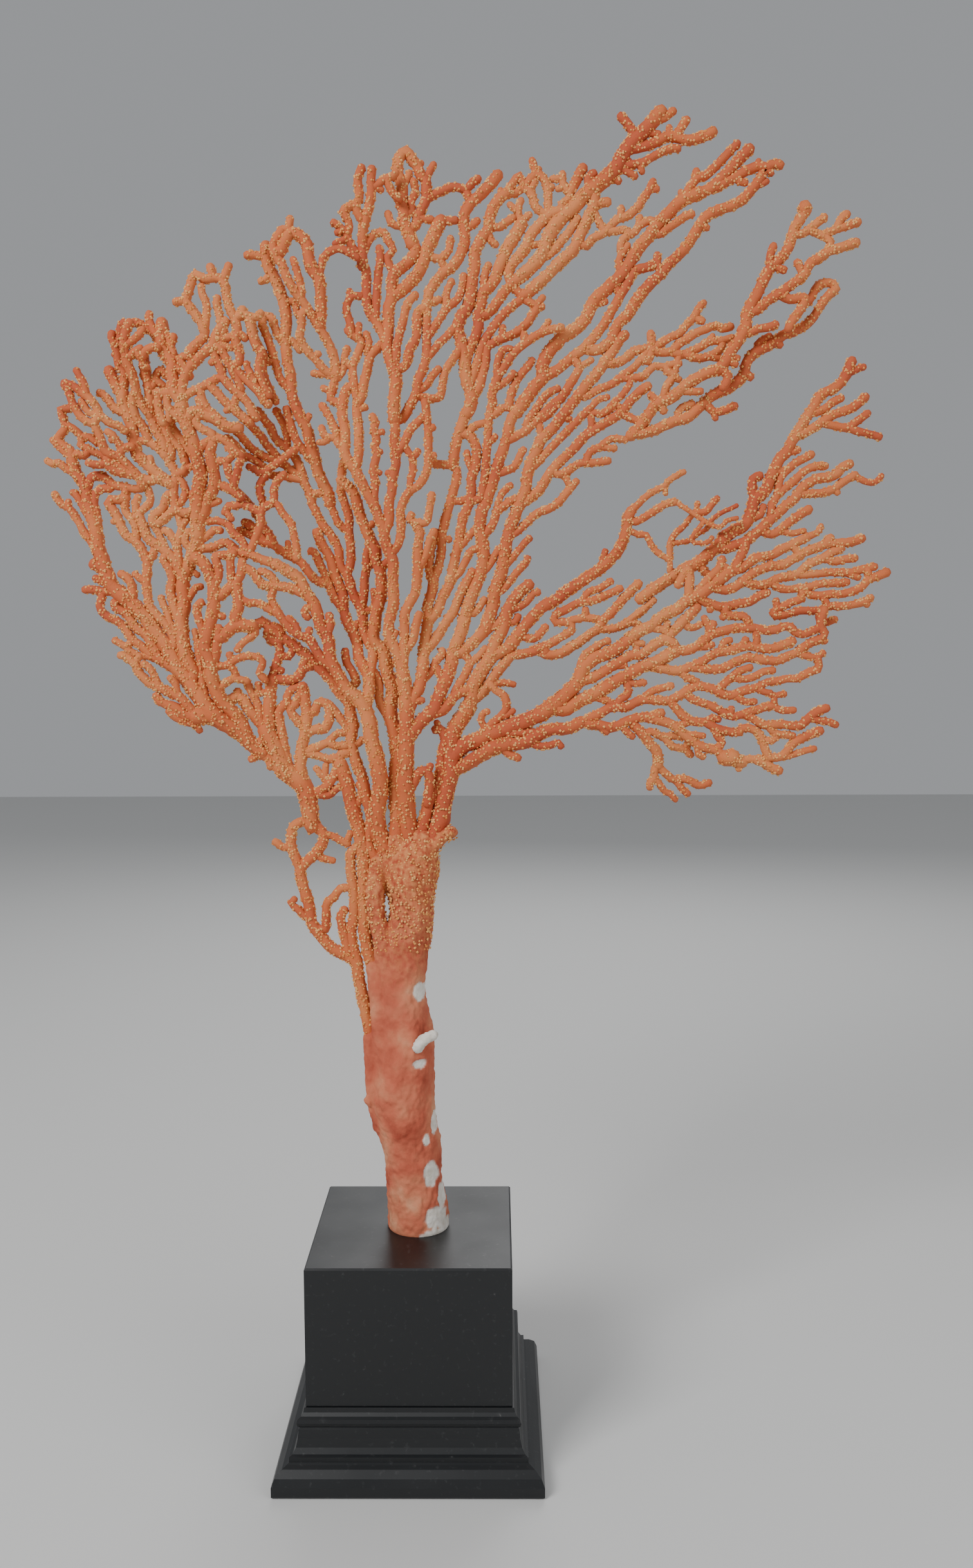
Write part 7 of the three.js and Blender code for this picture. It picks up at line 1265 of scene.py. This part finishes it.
def build_trunk():
    """The trunk's stems melted into one lumpy body, with the bare patches marked."""
    skin = Skin()
    rng = np.random.default_rng(SEED)
    for stem in TRUNK_STEMS:
        stem = np.array(stem, float)
        curve = rounded(stem[:, :3], TRUNK_STEP)
        radii = np.interp(curve[:, 2], stem[:, 2], stem[:, 3])
        add_tube(skin, curve, radii, 28 if stem[0, 3] > 8 else 14, 0.0, rng)
    trunk = make_piece("trunk_skin", skin)
    melt = trunk.modifiers.new("melt", "REMESH")
    melt.mode = "VOXEL"
    melt.voxel_size = 0.8 * MM
    bpy.context.view_layer.objects.active = trunk
    ready = trunk.evaluated_get(bpy.context.evaluated_depsgraph_get())
    mesh = bpy.data.meshes.new_from_object(ready)
    trunk.modifiers.clear()
    trunk.data = mesh
    count = len(mesh.vertices)
    at = np.empty(count * 3, np.float32)
    mesh.vertices.foreach_get("co", at)
    at = at.reshape(-1, 3)
    outward = np.empty(count * 3, np.float32)
    mesh.vertex_normals.foreach_get("vector", outward)
    outward = outward.reshape(-1, 3)
    bare = np.zeros(count)
    for i in range(count):
        x, y, z = at[i] / MM
        broad = noise.fractal(Vector((x / 9, y / 9, z / 16)), 0.8, 2.0, 4)
        pores = noise.noise(Vector((x / 1.7, y / 1.7, z / 2.4)))
        edge = 0.25 * noise.noise(Vector((x / 2.5, y / 2.5, z / 2.5)))
        if y < 2:
            reach = max(1 - math.hypot((x - px) / w, (z - pz) / h) for px, pz, w, h in BARE_PATCHES)
            bare[i] = smooth((reach + edge) * 5)
        raised = (broad + 0.5 * pores) * smooth((z - TRUNK_BOTTOM) / 3) * (1 - bare[i])
        worn = 0.35 * bare[i] * smooth((z - 103) / 4)
        at[i] += outward[i] * (raised - worn) * MM
    mesh.vertices.foreach_set("co", at.reshape(-1))
    values = mesh.attributes.new("bare", "FLOAT", "POINT")
    values.data.foreach_set("value", bare.astype(np.float32))
    mesh.polygons.foreach_set("use_smooth", [True] * len(mesh.polygons))
    mesh.update()
    return trunk


def build_trunk_polyps():
    """Polyps left on the upper trunk, where its stems are still fresh."""
    skin = Skin()
    rng = np.random.default_rng(SEED + 2)
    for stem in TRUNK_STEMS:
        stem = np.array(stem, float)
        curve = rounded(stem[:, :3], TRUNK_STEP)
        radii = np.interp(curve[:, 2], stem[:, 2], stem[:, 3]) + 0.3
        fresh = curve[:, 2] > FRESH_Z
        if fresh.sum() > 2:
            add_polyps(skin, curve[fresh], radii[fresh], rng)
    return skin


def build_growth():
    """The small bleached growth stuck to the trunk's right side."""
    skin = Skin()
    rng = np.random.default_rng(SEED + 1)
    curve = rounded(np.array([(3, -12, 193.5), (5, -12.8, 197), (8, -12.4, 199), (11, -10.6, 199.8)]), 0.8)
    add_tube(skin, curve, np.linspace(2.9, 2.4, len(curve)), 12, 0.25, rng)
    growth = make_piece("bleached_growth", skin)
    bare = growth.data.attributes.new("bare", "FLOAT", "POINT")
    bare.data.foreach_set("value", np.ones(len(growth.data.vertices), np.float32))
    return growth


skin_look = branch_material()
trunk_look = trunk_material()
paint_look = paint_material()

limbs = read_limbs(FAN)
for number, name in enumerate(limbs):
    limb = make_piece(name + "_branches", build_limb(limbs, name, np.random.default_rng(SEED * 100 + number)))
    limb.data.materials.append(skin_look)
    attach(limb, "root")
    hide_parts(name)

trunk = build_trunk()
trunk.data.materials.clear()
trunk.data.materials.append(trunk_look)
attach(trunk, "root")
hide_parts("trunk")

crown = make_piece("trunk_top_polyps", build_trunk_polyps())
crown.data.materials.append(skin_look)
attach(crown, "root")

growth = build_growth()
growth.data.materials.append(trunk_look)
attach(growth, "root")

for name in ("plinth_block", "plinth_foot"):
    plinth = frame["nodes"][name]
    plinth.data.materials.clear()
    plinth.data.materials.append(paint_look)


# ---- Floor, light and camera ----

FLOOR_REACH = 3.0  # m from the middle to each edge


def build_floor():
    """A plain pale floor under the plinth."""
    mesh = bpy.data.meshes.new("floor")
    corners = [(FLOOR_REACH * a, FLOOR_REACH * b, 0) for a, b in ((-1, -1), (1, -1), (1, 1), (-1, 1))]
    mesh.from_pydata(corners, [], [(0, 1, 2, 3)])
    floor = bpy.data.objects.new("floor", mesh)
    bpy.context.scene.collection.objects.link(floor)
    material, _, _, shader = new_material("pale floor")
    shader.inputs["Base Color"].default_value = (0.62, 0.62, 0.61, 1)
    shader.inputs["Roughness"].default_value = 0.8
    mesh.materials.append(material)


def add_light(name, where, size, power, target):
    """A square soft light that faces the target."""
    data = bpy.data.lights.new(name, "AREA")
    data.shape = "SQUARE"
    data.size = size
    data.energy = power
    lamp = bpy.data.objects.new(name, data)
    lamp.location = where
    lamp.rotation_euler = (Vector(target) - Vector(where)).to_track_quat("-Z", "Y").to_euler()
    bpy.context.scene.collection.objects.link(lamp)


def build_studio():
    """Three soft lights round the fan and an even pale surround."""
    middle = (0.02, 0, 0.35)
    add_light("key", (-0.9, -1.1, 1.3), 0.7, 26, middle)
    add_light("fill", (1.2, -1.0, 0.8), 1.2, 8, middle)
    add_light("back", (0.2, 1.3, 1.2), 1.0, 9, middle)
    world = bpy.data.worlds.new("studio")
    world.use_nodes = True
    background = world.node_tree.nodes["Background"]
    background.inputs["Color"].default_value = (0.78, 0.80, 0.83, 1)
    background.inputs["Strength"].default_value = 0.42
    bpy.context.scene.world = world


def place_camera():
    """The photograph's viewpoint: from the front, a little above the middle, looking slightly down."""
    data = bpy.data.cameras.new("camera")
    data.sensor_fit = "VERTICAL"
    data.sensor_height = 24
    data.lens = 20.117
    camera = bpy.data.objects.new("camera", data)
    camera.location = (0.0407, -0.6212, 0.3778)
    camera.rotation_euler = (math.radians(84.55), math.radians(0.2), math.radians(0.4))
    bpy.context.scene.collection.objects.link(camera)
    bpy.context.scene.camera = camera


build_floor()
build_studio()
place_camera()
